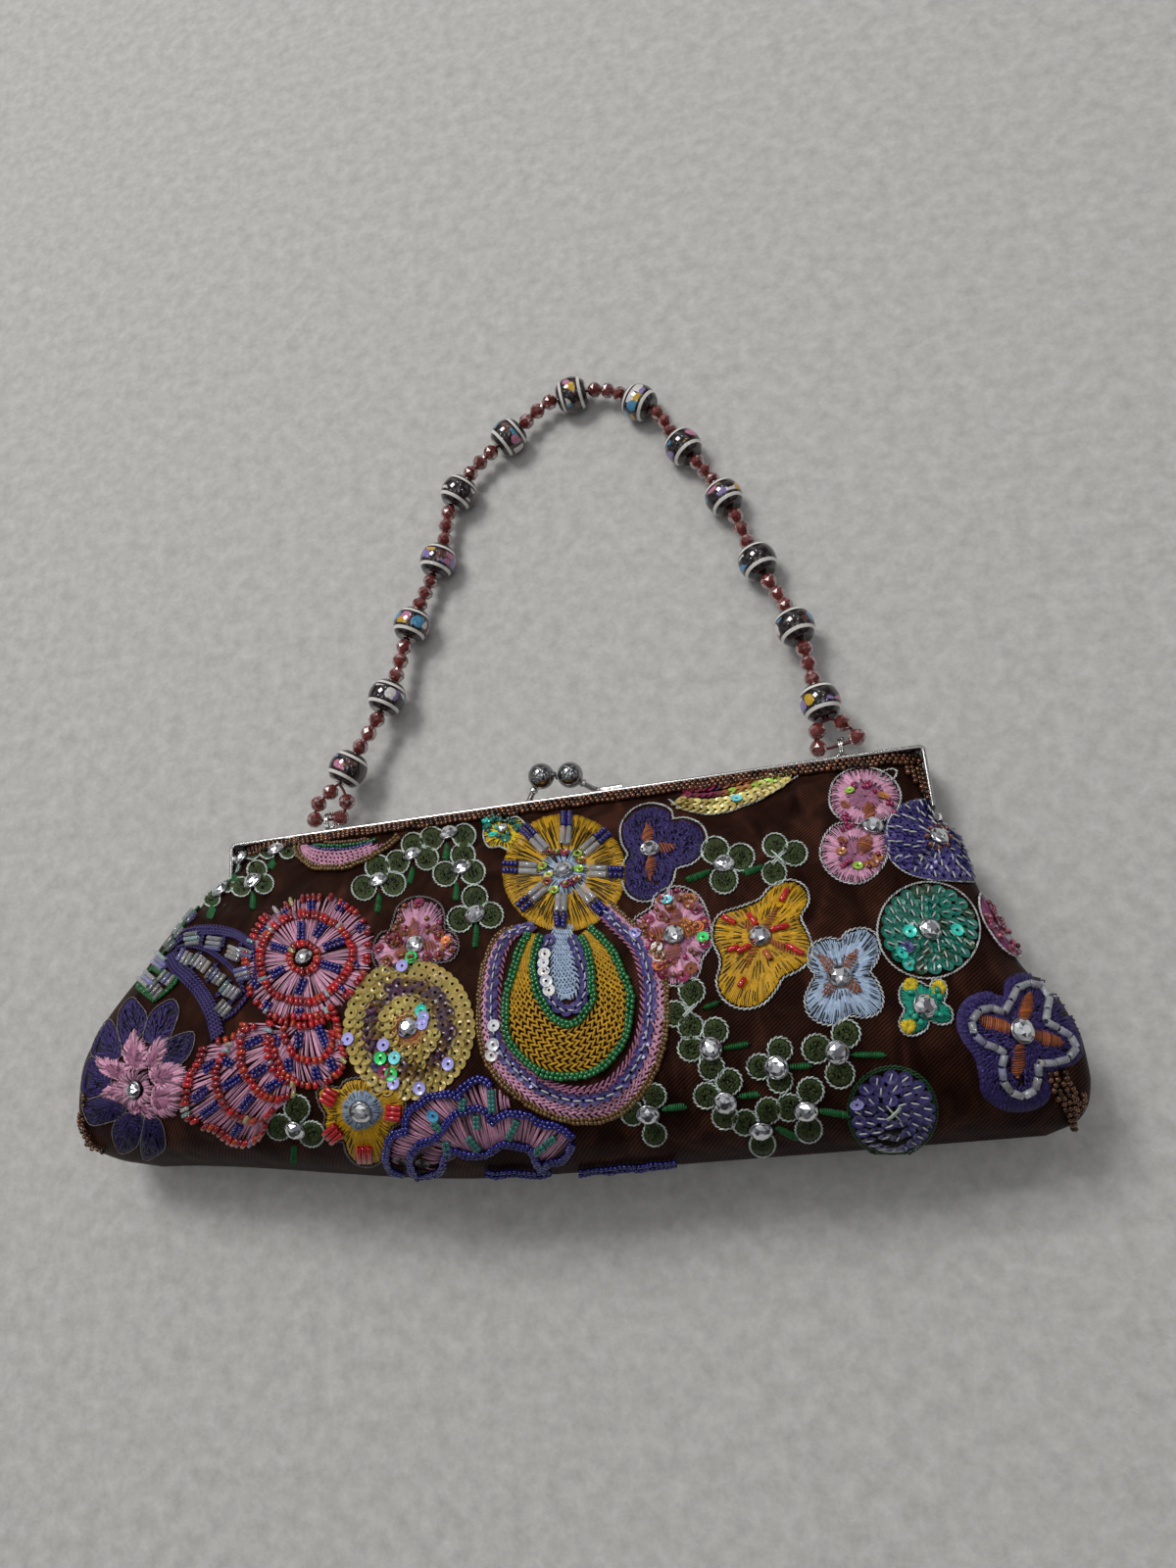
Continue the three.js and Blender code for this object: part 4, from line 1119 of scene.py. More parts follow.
def small_teal():
    c = RC((1015, 805))[0]
    o = curve(RC((948, 760), (965, 738), (1000, 738), (1030, 752), (1045, 733), (1070, 738), (1076, 770), (1068, 795), (1090, 815), (1090, 845), (1060, 852), (1030, 842), (1020, 865), (990, 882), (960, 878), (948, 850), (962, 815), (950, 790)), True)
    ground(o, c, COL["teal"])
    petal_fill(o, c, COL["teal"] * 1.6, COL["teal"], pitch=0.5, rings=((0.15, 1.0),))
    for a, b in (((952, 745), (1000, 745)), ((1040, 740), (1072, 765)), ((955, 845), (985, 875))):
        m = (RC(a)[0] + RC(b)[0]) / 2
        small = oval(m, 8.5, 8.0)
        fill(toward(small, m, 0.1), small, COL["yellow"] * 0.85, 0.5, True, 0.1, 0.46, 0.5, 0.35)
    for p in ((975, 770), (990, 790), (1055, 780), (1040, 795), (1060, 830), (1045, 825), (985, 835), (1000, 850), (975, 825), (1050, 762)):
        seed_points(RC(p), COL["teal"] * 1.9, 1.15, 1.7, 1.0)
    cord(grow(o, 1.2), "silver_cord", 0.58, 0.82, True)
    stone(c, 6.0, 1.2)


def pink_eight():
    K = lambda *pts: np.array([(820 + x / 5.24, 760 + y / 5.24) for x, y in pts])
    c = K((365, 450))[0]
    up = curve(RC((748, 215), (760, 165), (800, 135), (850, 127), (900, 140), (936, 175), (945, 215), (925, 255), (890, 275), (840, 282), (790, 275), (758, 250)), True)
    lo = curve(RC((745, 305), (775, 285), (840, 288), (890, 300), (912, 330), (905, 385), (880, 425), (835, 452), (785, 447), (742, 418), (722, 375), (728, 335)), True)
    for o, m in ((up, RC((848, 205))[0]), (lo, RC((820, 370))[0])):
        ground(o, m, COL["pink"])
        petal_fill(o, m, COL["pink"], COL["pink_deep"], pitch=0.46, lift=0.45)
        painted_gap_shade(o, m, COL["pink"], 0.74, 0.99, 0.8)
        painted_gap_shade(o, m, COL["pink"], 0.40, 0.62, 1.3)
        cord(grow(o, 1.0), "silver_cord", 0.58, 1.0, True)
    round_petal(c, K((338, 325))[0], 14, "orange", 0.34)
    round_petal(c, K((305, 590))[0], 15, "orange", 0.34)
    scatter_sequins(K((250, 260), (220, 335), (415, 285), (432, 292), (205, 525), (200, 582), (285, 662), (345, 655), (395, 610), (372, 645)),
                    ("lime", "orange_dark", "amber", "amber", "orange_dark", "amber", "lime", "amber", "amber", "orange_dark"), 1.35, 8, 0.95)
    for q, name in ((K((268, 228), (276, 240), (325, 222), (335, 238), (350, 228), (318, 240), (372, 262), (452, 312), (466, 330), (445, 330), (478, 376)), "magenta"),
                    (K((225, 390), (215, 410), (240, 412), (220, 436), (250, 450), (204, 470), (262, 440), (236, 462), (216, 388)), "magenta"),
                    (K((230, 640), (214, 656), (245, 634), (205, 662)), "magenta"), (K((205, 540), (215, 556), (350, 668), (398, 596)), "wine")):
        seed_points(q, COL[name] * 1.1, 0.92, 1.4, 1.0)
    cord(curve(K((400, 190), (440, 205), (480, 190), (490, 155), (460, 145), (425, 160), (400, 185))), "silver_cord", 0.6, 0.9, lift=0.9)
    stone(c, 5.8, 1.3)


def violet_fan():
    c = RC((1050, 328))[0]
    edge = curve(RC((908, 310), (912, 280), (930, 250), (965, 226), (1005, 215), (1040, 214)))
    low = curve(RC((905, 345), (925, 392), (965, 425), (1020, 442), (1080, 447), (1155, 450)))
    cord(low, "silver_cord", 0.6, 0.82)
    cord(edge, "silver_cord", 0.6, 0.82)
    for i, k in enumerate((0.95, 0.80, 0.65, 0.50, 0.36, 0.22)):
        path = curve(toward(RC((1045, 222), (1000, 222), (960, 236), (928, 262), (912, 300), (912, 345), (932, 388), (972, 420), (1030, 436), (1090, 440), (1145, 438)), c, k))
        got = sequin_row(path, ("violet", "violet", "blue_violet", "purple"), (3, 3, 2, 1), 1.76, 2.25, False, 12, 0.5 + 0.2 * i / 6)
        if got:
            P, N, T, Q = got
            D = np.cross(N, T) + rng.normal(0, 0.2, P.shape)
            sel = np.arange(len(P)) % 2 == i % 2
            dash(P[sel], N[sel], D[sel], 1.75, "silver_cord", 0.42, 1.1)
    for k in (0.97, 0.8, 0.6, 0.42):
        path = curve(toward(RC((1078, 262), (1100, 300), (1122, 350), (1140, 400), (1150, 440)), c, k))
        got = sequin_row(path, ("violet", "blue_violet"), None, 1.76, 2.25, False, 12, 0.5)
        if got:
            P, N, T, Q = got
            dash(P[::2], N[::2], (np.cross(N, T) + rng.normal(0, 0.2, P.shape))[::2], 1.75, "silver_cord", 0.42, 1.1)
    for a in np.linspace(0, 2 * math.pi, 9)[:-1]:
        seed_points([c + 11 * np.array([math.cos(a), math.sin(a)])], COL["brown_seed"], 0.9, 1.4, 1.2)
    stone(c, 5.6, 1.3)


def mauve_side():
    o = curve(RC((1172, 486), (1192, 505), (1215, 535), (1238, 568), (1262, 612), (1288, 660), (1268, 662), (1236, 640), (1205, 600), (1182, 560), (1170, 520)), True)
    c = RC((1218, 580))[0]
    ground(o, c, COL["mauve"], 3)
    petal_fill(o, c, COL["mauve"], COL["magenta"], rings=((0.1, 1.0),), pitch=0.5)
    cord(grow(o, 0.4), "silver_cord", 0.7, 0.9, True, lift=0.6)
    bead_scatter(o, c, ("mauve", "magenta", "wine", "dusty"), 34, 0.2, 0.9, 0.95)


def purple_four():
    o = curve(RC((1240, 772), (1246, 735), (1275, 712), (1325, 712), (1375, 740), (1412, 790), (1440, 840), (1462, 895), (1466, 940), (1440, 970), (1395, 985), (1375, 1020), (1372, 1065), (1335, 1095), (1280, 1104), (1225, 1092), (1182, 1055), (1172, 1005), (1158, 950), (1128, 908), (1108, 862), (1112, 815), (1140, 778), (1190, 762), (1222, 772)), True)
    c = RC((1293, 878))[0]
    ground(o, c, COL["purple"])
    fill(toward(o, c, 0.78), o, COL["purple"] * 1.2, 0.36, True, 0.02, 0.42, 0.55)
    stipple(o, c, COL["purple"] * 1.35, 3.2, 7.5, 0.40, 0.70, 0.5)
    c = np.array([1040.4, 1053.0])
    for tip in ((1047.6, 1015.5), (998.0, 1041.0), (1081.0, 1064.0), (1036.5, 1097.5)):
        round_petal(c, tip, 14.5, "orange", 0.24)
    loop = np.array([(957.5 + x / 5.85, 959.5 + y / 5.85) for x, y in (
        (375, 440), (400, 400), (425, 350), (450, 300), (500, 278), (560, 283), (615, 310), (640, 360), (632, 420), (605, 475), (640, 512), (700, 540), (755, 575), (792, 630),
        (775, 685), (730, 710), (670, 725), (610, 735), (580, 690), (572, 740), (578, 800), (560, 870), (515, 905), (455, 908), (410, 880), (372, 825), (360, 770), (372, 700), (385, 650),
        (335, 640), (270, 622), (210, 580), (180, 520), (200, 460), (245, 420), (310, 412))])
    tube_row(loop, True, COL["clear"], 1.18, 2.75, 1.2)
    stone(c, 6.4, 1.25)


def round_petal(c, tip, width, colour, start=0.25):
    """A round-ended petal hatched with threads across it."""
    c, tip = np.asarray(c, float), np.asarray(tip, float)
    d = tip - c
    n = max(6, int(length_mm(np.stack([c + d * t for t in np.linspace(start, 1, 8)])) / 0.42))
    t = np.linspace(start, 1.0, n)
    s = np.array([-d[1], d[0]]) / (np.linalg.norm(d) + 1e-9)
    u = np.abs(np.linspace(-1, 1, n))
    w = width * 0.5 * np.sqrt(np.clip(1.05 - u ** 3, 0.05, 1))
    m = c + d * t[:, None]
    skew = d / np.linalg.norm(d) * 1.6
    tone = np.clip(rng.normal(1, 0.25, (n, 1)), 0.4, 1.6)
    strands(m - s * w[:, None] - skew, m + s * w[:, None] + skew, COL[colour] * tone, 0.42, 0.65, 0.5)


def tube_row(points, closed, colour, r=0.95, length=4.0, lift=1.0):
    path = curve(points, closed)
    n = max(3, int(round(length_mm(path, closed) / (length * 1.05))))
    q = resample(path, n + (0 if closed else 1), closed)
    nxt = np.roll(q, -1, 0) if closed else q[1:]
    a = q if closed else q[:-1]
    d = nxt - a
    for i in range(len(a)):
        tint = COL[("clear", "clear", "silver", "white", "lavender", "clear", "clear")[rng.integers(0, 7)]]
        bugle([a[i] + d[i] * 0.03], [nxt[i] - d[i] * 0.03], tint * 0.5 + colour * 0.5, r, lift)


def paisley_crescent():
    low = LC((690, 282), (684, 305), (700, 335), (735, 354), (785, 360), (840, 350), (890, 328), (935, 300), (975, 268))
    twin_row(curve(low), COL["bronze_gold"], 3.6, 0.80)
    top = LC((700, 282), (760, 280), (830, 276), (900, 268), (960, 262))
    a, b = resample(curve(low), 60), resample(curve(top), 60)
    for k, (t, name) in enumerate(((0.86, "pink"), (0.72, "pink"), (0.58, "pink"), (0.44, "pink"))):
        chain((a * t + b * (1 - t))[2:-6 - 3 * k], COL[name], 1.7, 1.3, thick=0.50)
    seed_row((a * 0.30 + b * 0.70)[6:-14], COL["blue_violet"], 0.8, 1.4)
    seed_row((a * 0.18 + b * 0.82)[8:-12], COL["green_seed"], 0.8, 1.4)
    seed_row((a * 0.05 + b * 0.95)[14:-16], COL["bronze"], 0.75, 1.3)
    strands(LC((735, 282)), LC((760, 305)), COL["yellow"], 0.6, 0.4, 1.2)


def red_tubes(path, c, closed=False, pitch=1.28, length=7.2, sparse=0.0, lift=1.0):
    """A row of short red tube beads across a path, pointing at c, with a few iridescent ones whose pale tints are
    partly the coated glass and partly painted reflections.
    """
    c = np.asarray(c, float)
    n = max(3, int(length_mm(path, closed) / pitch))
    q = resample(path, n, closed)
    d = (q - c) / (np.linalg.norm(q - c, axis=1, keepdims=True) + 1e-9)
    kind = rng.uniform(0, 1, n)
    for i in range(n):
        if rng.uniform() < sparse:
            continue
        m = q[i] + rng.normal(0, 0.45, 2)
        turn = rng.normal(0, 0.12)
        e = d[i] + np.array([-d[i][1], d[i][0]]) * turn
        a, b = m - e * length / 2, m + e * length / 2
        if kind[i] < 0.90:
            name = "red" if kind[i] < 0.40 else ("red_deep" if kind[i] < 0.72 else "red_orange")
            bugle([a], [b], COL[name], 0.92, lift)
        else:
            # the pale tints are partly the coated glass's own colour and partly painted reflections of its iridescence
            bugle([a], [b], COL[("white", "cyan_pale", "pink", "yellow_pale")[i % 4]], 0.78, lift + 0.12)


def fan_threads(inner, outer, colour, pitch=0.56, width=0.42, skip=0.10):
    """Loose pink threads between two open chart paths, in small bunches."""
    n = max(3, int(length_mm(outer) / pitch))
    a, b = resample(inner, n), resample(outer, n)
    bunch = 0.8 * np.sin(np.arange(n) * 2.1)[:, None]
    t = b - a
    t = np.stack([-t[:, 1], t[:, 0]], -1) / (np.linalg.norm(t, axis=1, keepdims=True) + 1e-9)
    keep = rng.uniform(0, 1, n) > skip
    tone = np.where(rng.uniform(0, 1, (n, 1)) < 0.20, 0.45, 1.0)
    strands((a + rng.normal(0, 0.6, (n, 2)))[keep], (b + t * bunch + rng.normal(0, 0.9, (n, 2)))[keep], (colour * tone)[keep], width, 0.45, 0.12)


def bead_flower_a():
    c = np.array([312.0, 979.0])
    ring2 = curve(PX((312, 935), (330, 938), (347, 948), (358, 962), (361, 979), (354, 996), (342, 1010), (328, 1021), (312, 1024), (295, 1021), (280, 1014), (272, 1002), (268, 988), (268, 972), (274, 957), (284, 945), (297, 938)), True)
    rim = curve(PX((316, 918), (340, 917), (352, 924), (368, 935), (378, 950), (379, 970), (377, 988), (370, 1003), (358, 1018), (345, 1028), (330, 1038), (312, 1041), (296, 1040), (278, 1038), (262, 1026), (256, 1010), (252, 994), (252, 978), (258, 960), (265, 945), (276, 934), (292, 926), (304, 919)), True)
    hub = oval(c, 15, 14.5)
    for inner, outer, pitch in ((hub, ring2, 0.50), (ring2, rim, 0.52)):
        n = int(length_mm(outer, True) / pitch)
        a, b = resample(inner, n, True), resample(outer, n, True)
        # both rings start on the same side of the middle
        k = int(np.argmin(np.linalg.norm((a - a.mean(0)) / 40 - (b[0] - b.mean(0)) / np.linalg.norm(b[0] - b.mean(0)) * np.linalg.norm(a[0] - a.mean(0)) / 40, axis=1)))
        a = np.roll(a, -k, 0)
        keep = rng.uniform(0, 1, n) > 0.06
        tone = np.where(rng.uniform(0, 1, (n, 1)) < 0.20, 0.45, 1.0)
        strands((a + rng.normal(0, 0.5, (n, 2)))[keep], (b + rng.normal(0, 1.0, (n, 2)))[keep], (COL["pink"] * tone)[keep], 0.42, 0.45, 0.12)
    red_tubes(hub, c, True, 1.25, 6.5)
    red_tubes(ring2, c, True, 1.22, 7.4)
    red_tubes(toward(rim, c, 0.97), c, True, 1.5, 6.6, 0.32)
    for a, b in (((309, 944), (309, 961)), ((332, 945), (323, 958)), ((354, 961), (332, 969)), ((329, 985), (349, 991)), ((312, 999), (305, 1016)), ((278, 997), (292, 990)), ((279, 967), (296, 972))):
        bead_bar(a, b)
    bead_bar((346, 1004), (354, 1014), columns=1)
    for a, b in (((319, 921), (319, 932)), ((351, 922), (347, 932)), ((373, 946), (365, 952)), ((270, 949), (276, 957)), ((291, 932), (296, 939)), ((255, 977), (263, 976)), ((260, 1009), (265, 1003)), ((271, 1034), (277, 1023)), ((307, 1030), (308, 1040)), ((367, 984), (363, 987))):
        bead_bar(a, b)
    stone(c, 5.2, 1.2)


def bead_flower_b():
    c = np.array([316.0, 1042.0])
    inner = curve(PX((292, 1052), (295, 1064), (301, 1075), (312, 1082), (324, 1083), (334, 1078), (341, 1068), (343, 1055)))
    rim = curve(PX((280, 1062), (284, 1082), (292, 1096), (305, 1106), (320, 1109), (336, 1105), (348, 1095), (353, 1080), (350, 1062), (346, 1044), (341, 1030)))
    hub = curve(PX((305, 1046), (310, 1050), (318, 1051), (325, 1048)))
    fan_threads(hub, inner, COL["pink"])
    fan_threads(inner, rim, COL["pink"])
    red_tubes(curve(PX((284, 1040), (298, 1046), (312, 1048), (326, 1045), (336, 1038))), (312, 990), False, 1.25, 7.0)
    red_tubes(inner, c, False, 1.25, 7.0)
    red_tubes(toward(rim, c, 0.98), c, False, 1.25, 7.0, 0.08)
    for a, b in (((307, 1054), (307, 1070)), ((326, 1048), (336, 1070)), ((296, 1080), (298, 1093)), ((323, 1088), (326, 1101)), ((338, 1080), (343, 1092))):
        bead_bar(a, b)


def bead_flower_c():
    c = np.array([316.0, 1061.0])
    arc0 = curve(PX((277, 1046), (276, 1060), (275, 1074), (279, 1088), (289, 1098), (302, 1106)))
    arc1 = curve(PX((252, 1046), (248, 1060), (248, 1076), (250, 1090), (258, 1103), (268, 1114), (283, 1121), (303, 1116)))
    arc2 = curve(PX((236, 1066), (228, 1080), (223, 1096), (225, 1112), (233, 1129), (248, 1138), (268, 1142), (285, 1128)))
    rim = curve(PX((214, 1067), (205, 1084), (196, 1098), (193, 1117), (193, 1136), (208, 1145), (224, 1151), (236, 1160), (252, 1164), (266, 1157), (279, 1138)))
    hub = curve(PX((292, 1050), (291, 1060), (293, 1072), (299, 1082)))
    for a, b in ((hub, arc0), (arc0, arc1), (arc1, arc2), (arc2, rim)):
        fan_threads(a, b, COL["pink"], 0.50, 0.42, 0.06)
    red_tubes(arc0, c, False, 1.25, 7.2)
    red_tubes(arc1, c, False, 1.25, 7.2)
    red_tubes(arc2, c, False, 1.3, 7.0, 0.12)
    red_tubes(rim, c, False, 1.3, 7.0, 0.12)
    red_tubes(curve(PX((218, 1066), (232, 1063), (246, 1056), (262, 1048))), (240, 1120), False, 1.6, 6.5, 0.2)
    for a, b in (((253, 1069), (269, 1059)), ((283, 1068), (286, 1057)), ((260, 1097), (276, 1087)), ((274, 1111), (291, 1100)), ((229, 1081), (240, 1087)), ((231, 1109), (248, 1099)), ((248, 1130), (260, 1117)),
                 ((210, 1092), (223, 1083)), ((200, 1121), (214, 1110)), ((209, 1136), (225, 1124)), ((240, 1156), (247, 1145))):
        bead_bar(a, b, gap=4.6)


def gold_sequin_disc():
    c = LC((1003, 812))[0]
    rx, ry = 66.0, 70.5
    ground(oval(c, rx * 0.95, ry * 0.95), c, COL["dark"], 5)
    plan = ((0.925, ("sequin_gold",), (1,)), (0.79, ("sequin_gold",), (1,)),
            (0.655, ("sequin_dark", "sequin_plum", "sequin_gold", "bronze_gold"), (5, 3, 0.8, 3)), (0.53, ("sequin_dark", "sequin_plum", "sequin_gold", "bronze_gold"), (4, 3, 1.0, 3)),
            (0.41, ("sequin_gold",), (1,)), (0.29, ("sequin_gold", "sequin_pale"), (3, 1)))
    for i, (k, names, weights) in enumerate(plan):
        sequin_row(oval(c, rx * k, ry * k, 0, 11 * i, 360 + 11 * i), names, weights, 1.78, 2.0, True, -16, 0.45 + 0.10 * i / 6)
    inner = oval(c, rx * 0.22, ry * 0.22)
    fill(toward(inner, c, 0.5), inner, COL["orange"], 0.45, True, 0.1, 0.46, 0.6)
    chain(toward(inner, c, 1.05), COL["orange_dark"], 1.4, 1.3, True)
    scatter_sequins(LC((830, 845), (932, 860), (925, 895), (955, 940), (962, 965), (1035, 980), (1118, 912), (1045, 800), (1040, 762), (1012, 612), (985, 635), (915, 915), (935, 935), (965, 895), (1048, 782)),
                    ("lavender", "lavender", "green_bright", "green_bright", "lavender", "lavender", "lavender", "lavender", "turquoise", "green_bright", "lavender", "purple", "magenta", "cyan_bright", "lavender"), 1.7, 6, 1.05)
    stone(c, 6.0, 1.2)


def pink_three():
    o = curve(LC((962, 508), (975, 470), (1010, 446), (1055, 446), (1088, 466), (1098, 500), (1098, 530), (1128, 548), (1138, 580), (1122, 610), (1085, 618), (1040, 612), (1000, 618), (960, 634), (925, 640), (906, 615), (908, 575), (925, 545), (950, 538)), True)
    c = LC((1022, 578))[0]
    ground(o, c, COL["pink"])
    petal_fill(o, c, COL["pink"], COL["pink_deep"], pitch=0.46, lift=0.45)
    painted_gap_shade(o, c, COL["pink"], 0.70, 0.98, 0.9)
    cord(grow(o, 2.4), "dark_cord", 0.62, 1.0, True)
    for tip, w in (((1015, 505), 13), ((1085, 580), 13), ((965, 605), 13)):
        hatch_petal(c, LC(tip)[0], w, "orange")
    bead_scatter(o, c, ("wine", "magenta", "brown_seed", "orange_dark"), 44, 0.42, 0.94)
    scatter_sequins(LC((1110, 565), (1108, 578)), ("orange_bright", "amber"), 1.4)
    stone(c, 5.8, 1.2)


def gold_five():
    o = curve(LC((745, 992), (770, 980), (805, 984), (822, 965), (855, 957), (890, 966), (905, 995), (940, 985), (975, 992), (988, 1025), (980, 1068), (950, 1092), (948, 1130), (930, 1172), (895, 1195), (855, 1190), (828, 1160), (818, 1128), (785, 1122), (765, 1095), (768, 1055), (752, 1025)), True)
    c = LC((868, 1042))[0]
    ground(o, c, COL["gold_dark"])
    petal_fill(o, c, COL["gold"], COL["gold"], pitch=0.44, lift=0.5, rings=((0.12, 0.55), (0.38, 0.78), (0.62, 1.0)), ragged=0.05)
    painted_gap_shade(o, c, COL["gold_dark"], 0.62, 0.98, 0.85, 0.28, 0.74)
    cord(grow(o, 2.0), "dark_cord", 0.62, 1.0, True)
    inner = curve(LC((820, 1010), (850, 985), (890, 988), (922, 1012), (930, 1050), (900, 1085), (850, 1095), (820, 1070), (812, 1040)), True)
    fill(toward(inner, c, 0.3), inner, COL["bluegrey"], 0.44, True, 0.1, 0.46, 0.55, 0.55)
    painted_gap_shade(inner, c, COL["bluegrey"], 0.55, 0.95, 0.9, 0.26, 1.15)
    for p, ang in (((778, 1002), 30), ((790, 1102), -40), ((878, 1158), 88), ((962, 1045), 5)):
        side_by_side(LC(p)[0], ang, 3, 16, 5.4, COL["red"], 0.95, 1.2)
    stone(c, 6.2, 1.3)


def pink_clouds():
    back = curve(PX((412, 1196), (400, 1191), (395, 1178), (397, 1164), (404, 1155), (414, 1152), (415, 1141), (422, 1130), (433, 1122), (446, 1117), (460, 1115), (469, 1118), (471, 1111), (479, 1105), (488, 1101), (496, 1102), (503, 1107)))
    crest = curve(PX((424, 1196), (419, 1186), (422, 1173), (430, 1164), (444, 1160), (452, 1151), (460, 1141), (469, 1133), (480, 1131), (491, 1130), (499, 1134), (504, 1143), (511, 1138), (521, 1134), (531, 1135), (543, 1138), (556, 1145), (569, 1147), (578, 1151), (585, 1159)))
    under = curve(PX((585, 1164), (580, 1174), (571, 1181), (560, 1183), (554, 1190), (548, 1182), (542, 1171), (532, 1167), (516, 1165), (505, 1169), (495, 1175), (481, 1176), (470, 1173), (460, 1172), (454, 1180), (450, 1191), (440, 1196), (424, 1197)))
    o = np.concatenate([crest, under])
    ground(o, PX((505, 1155))[0], COL["pink"], 4)
    top = curve(PX((436, 1163), (452, 1153), (461, 1142), (470, 1135), (484, 1133), (498, 1137), (504, 1146), (512, 1141), (524, 1137), (540, 1140), (556, 1147), (570, 1150), (583, 1159)))
    low = curve(PX((458, 1172), (463, 1170), (470, 1170), (478, 1173), (488, 1173), (497, 1171), (505, 1167), (514, 1163), (524, 1163), (532, 1164), (540, 1168), (548, 1178), (556, 1186)))
    fan_threads(low, top, COL["pink"], 0.42, 0.44, 0.05)
    fan_threads(curve(PX((430, 1166), (446, 1160), (456, 1148), (466, 1137), (480, 1133), (496, 1133), (503, 1140))),
                curve(PX((404, 1160), (416, 1150), (424, 1134), (444, 1120), (464, 1119), (480, 1108), (500, 1108))), COL["pink"], 0.46, 0.44, 0.05)
    fan_threads(curve(PX((420, 1186), (424, 1174), (432, 1166))), curve(PX((398, 1184), (402, 1166), (410, 1158))), COL["pink"], 0.46, 0.44, 0.05)
    fan_threads(curve(PX((428, 1190), (430, 1180), (440, 1172))), curve(PX((446, 1192), (450, 1182), (456, 1174))), COL["pink"] * 0.8, 0.5, 0.44, 0.15)
    fan_threads(curve(PX((504, 1138), (512, 1132), (524, 1130))), curve(PX((500, 1110), (512, 1114), (522, 1124))), COL["pink"], 0.5, 0.44, 0.1)
    for path in (back, crest, under):
        twin_row(path, COL["navy"] * 1.1, 3.4, 0.92)
    for p, ang, k in (((503, 1122), 88, 5), ((488, 1143), 88, 3), ((447, 1147), 50, 3), ((484, 1164), 52, 4), ((524, 1150), 118, 5), ((562, 1161), -35, 3), ((551, 1170), -35, 3), ((473, 1125), 95, 3), ((457, 1168), 80, 3)):
        q, a = np.array(p, float), math.radians(ang)
        d, s = np.array([math.cos(a), math.sin(a)]), np.array([-math.sin(a), math.cos(a)])
        for w in (-1.8, 1.8):
            for i in range(k):
                seed_points([q + d * 4.3 * (i - (k - 1) / 2) + s * w], COL["teal_leaf"], 0.84, 1.7, 1.0, turn=-ang)
    scatter_sequins(PX((443, 1136)), ("cyan_deep",), 1.7)
    scatter_sequins(PX((432, 1183), (410, 1180)), ("dark", "dark"), 1.9, 14, 0.9)
    twin_row(curve(PX((496, 1193), (512, 1195), (528, 1193), (545, 1195), (562, 1193))), COL["navy"], 3.4, 0.92)
    twin_row(curve(PX((590, 1193), (620, 1190), (660, 1187), (690, 1183))), COL["navy"], 3.4, 0.92)


def teardrop():
    outer = PX((541, 944), (512, 952), (497, 975), (490, 1010), (489, 1050), (498, 1086), (520, 1112), (552, 1134), (590, 1144), (628, 1138), (655, 1115), (673, 1082), (681, 1042), (680, 1003), (668, 965), (640, 938), (622, 920))
    outer = curve(outer)
    core = PX((566, 958), (562, 975), (561, 1000), (566, 1016), (576, 1026), (588, 1020), (594, 1004), (590, 982), (582, 962))
    core = curve(core)
    n = 140
    A, B = resample(outer, n), resample(core, n)
    lane = lambda t: A * (1 - t) + B * t
    seed_row(lane(-0.004), COL["bronze_gold"], 0.80, 1.35)
    seed_row(lane(0.028), COL["bronze_gold"], 0.72, 1.3)
    for t in (0.064, 0.100, 0.136):
        chain(lane(t), COL["pink"], 1.9, 1.45, thick=0.52)
    for t in (0.240, 0.272):
        chain(lane(t), COL["pink_deep"], 1.7, 1.45, thick=0.50)
    got = sequin_row(lane(0.198), ("violet", "blue_violet", "violet"), None, 1.64, 2.35, False, 8, 0.95)
    if got:
        P, N, T, Q = got
        M = P + T * 1.17
        dash(M, N, T + rng.normal(0, 0.1, T.shape), 1.8, "silver_cord", 0.40, 1.30)
    g1 = resample(curve(PX((541, 954), (529, 978), (520, 1008), (516, 1034), (519, 1058), (531, 1077), (553, 1093), (582, 1098), (606, 1093), (624, 1081), (640, 1054), (644, 1022), (639, 1001), (628, 976), (613, 958), (602, 947))), n)
    g2 = resample(curve(PX((553, 956), (546, 975), (545, 993), (550, 1014), (558, 1030), (576, 1046), (592, 1041), (600, 1032), (606, 1020), (605, 1010), (602, 980), (594, 956))), n)
    twin_row(g1, COL["green_seed"], 3.6, 0.86)
    for t in (0.15, 0.29, 0.43, 0.57, 0.71, 0.85):
        chain(g1 * (1 - t) + g2 * t, COL["gold"] * 0.92, 2.1, 1.5, thick=0.52)
    twin_row(g2, COL["green_seed"], 3.6, 0.86)
    left = resample(curve(PX((567, 944), (566, 960), (565, 985), (565, 1005), (570, 1018), (578, 1024))), 40)
    right = resample(curve(PX((583, 944), (582, 960), (585, 985), (589, 1003), (586, 1016), (578, 1024))), 40)
    for t in np.linspace(0.0, 1.0, 7):
        chain((left * (1 - t) + right * t)[: 40 - int(3 + 5 * abs(t - 0.5))], COL["paleblue"], 1.5, 1.25, thick=0.5)
    v = curve(PX((563, 956), (557, 970), (555, 990), (557, 1008), (563, 1021), (572, 1030), (582, 1032), (591, 1027), (597, 1016), (598, 1000), (594, 984), (589, 968), (584, 957)))
    got = sequin_row(v, ("violet", "blue_violet", "violet"), None, 1.6, 2.1, False, 8, 0.85)
    if got:
        P, N, T, Q = got
        dash(P + T * 1.05, N, T + rng.normal(0, 0.1, T.shape), 1.5, "silver_cord", 0.38, 1.15)
    # a few clear sequins among the violet ones
    scatter_sequins(PX((557, 976), (556, 985), (556, 994), (558, 1003), (561, 1012), (505, 1066), (503, 1076), (506, 1048)), ("white", "clear") * 4, 1.6, 14, 1.25)


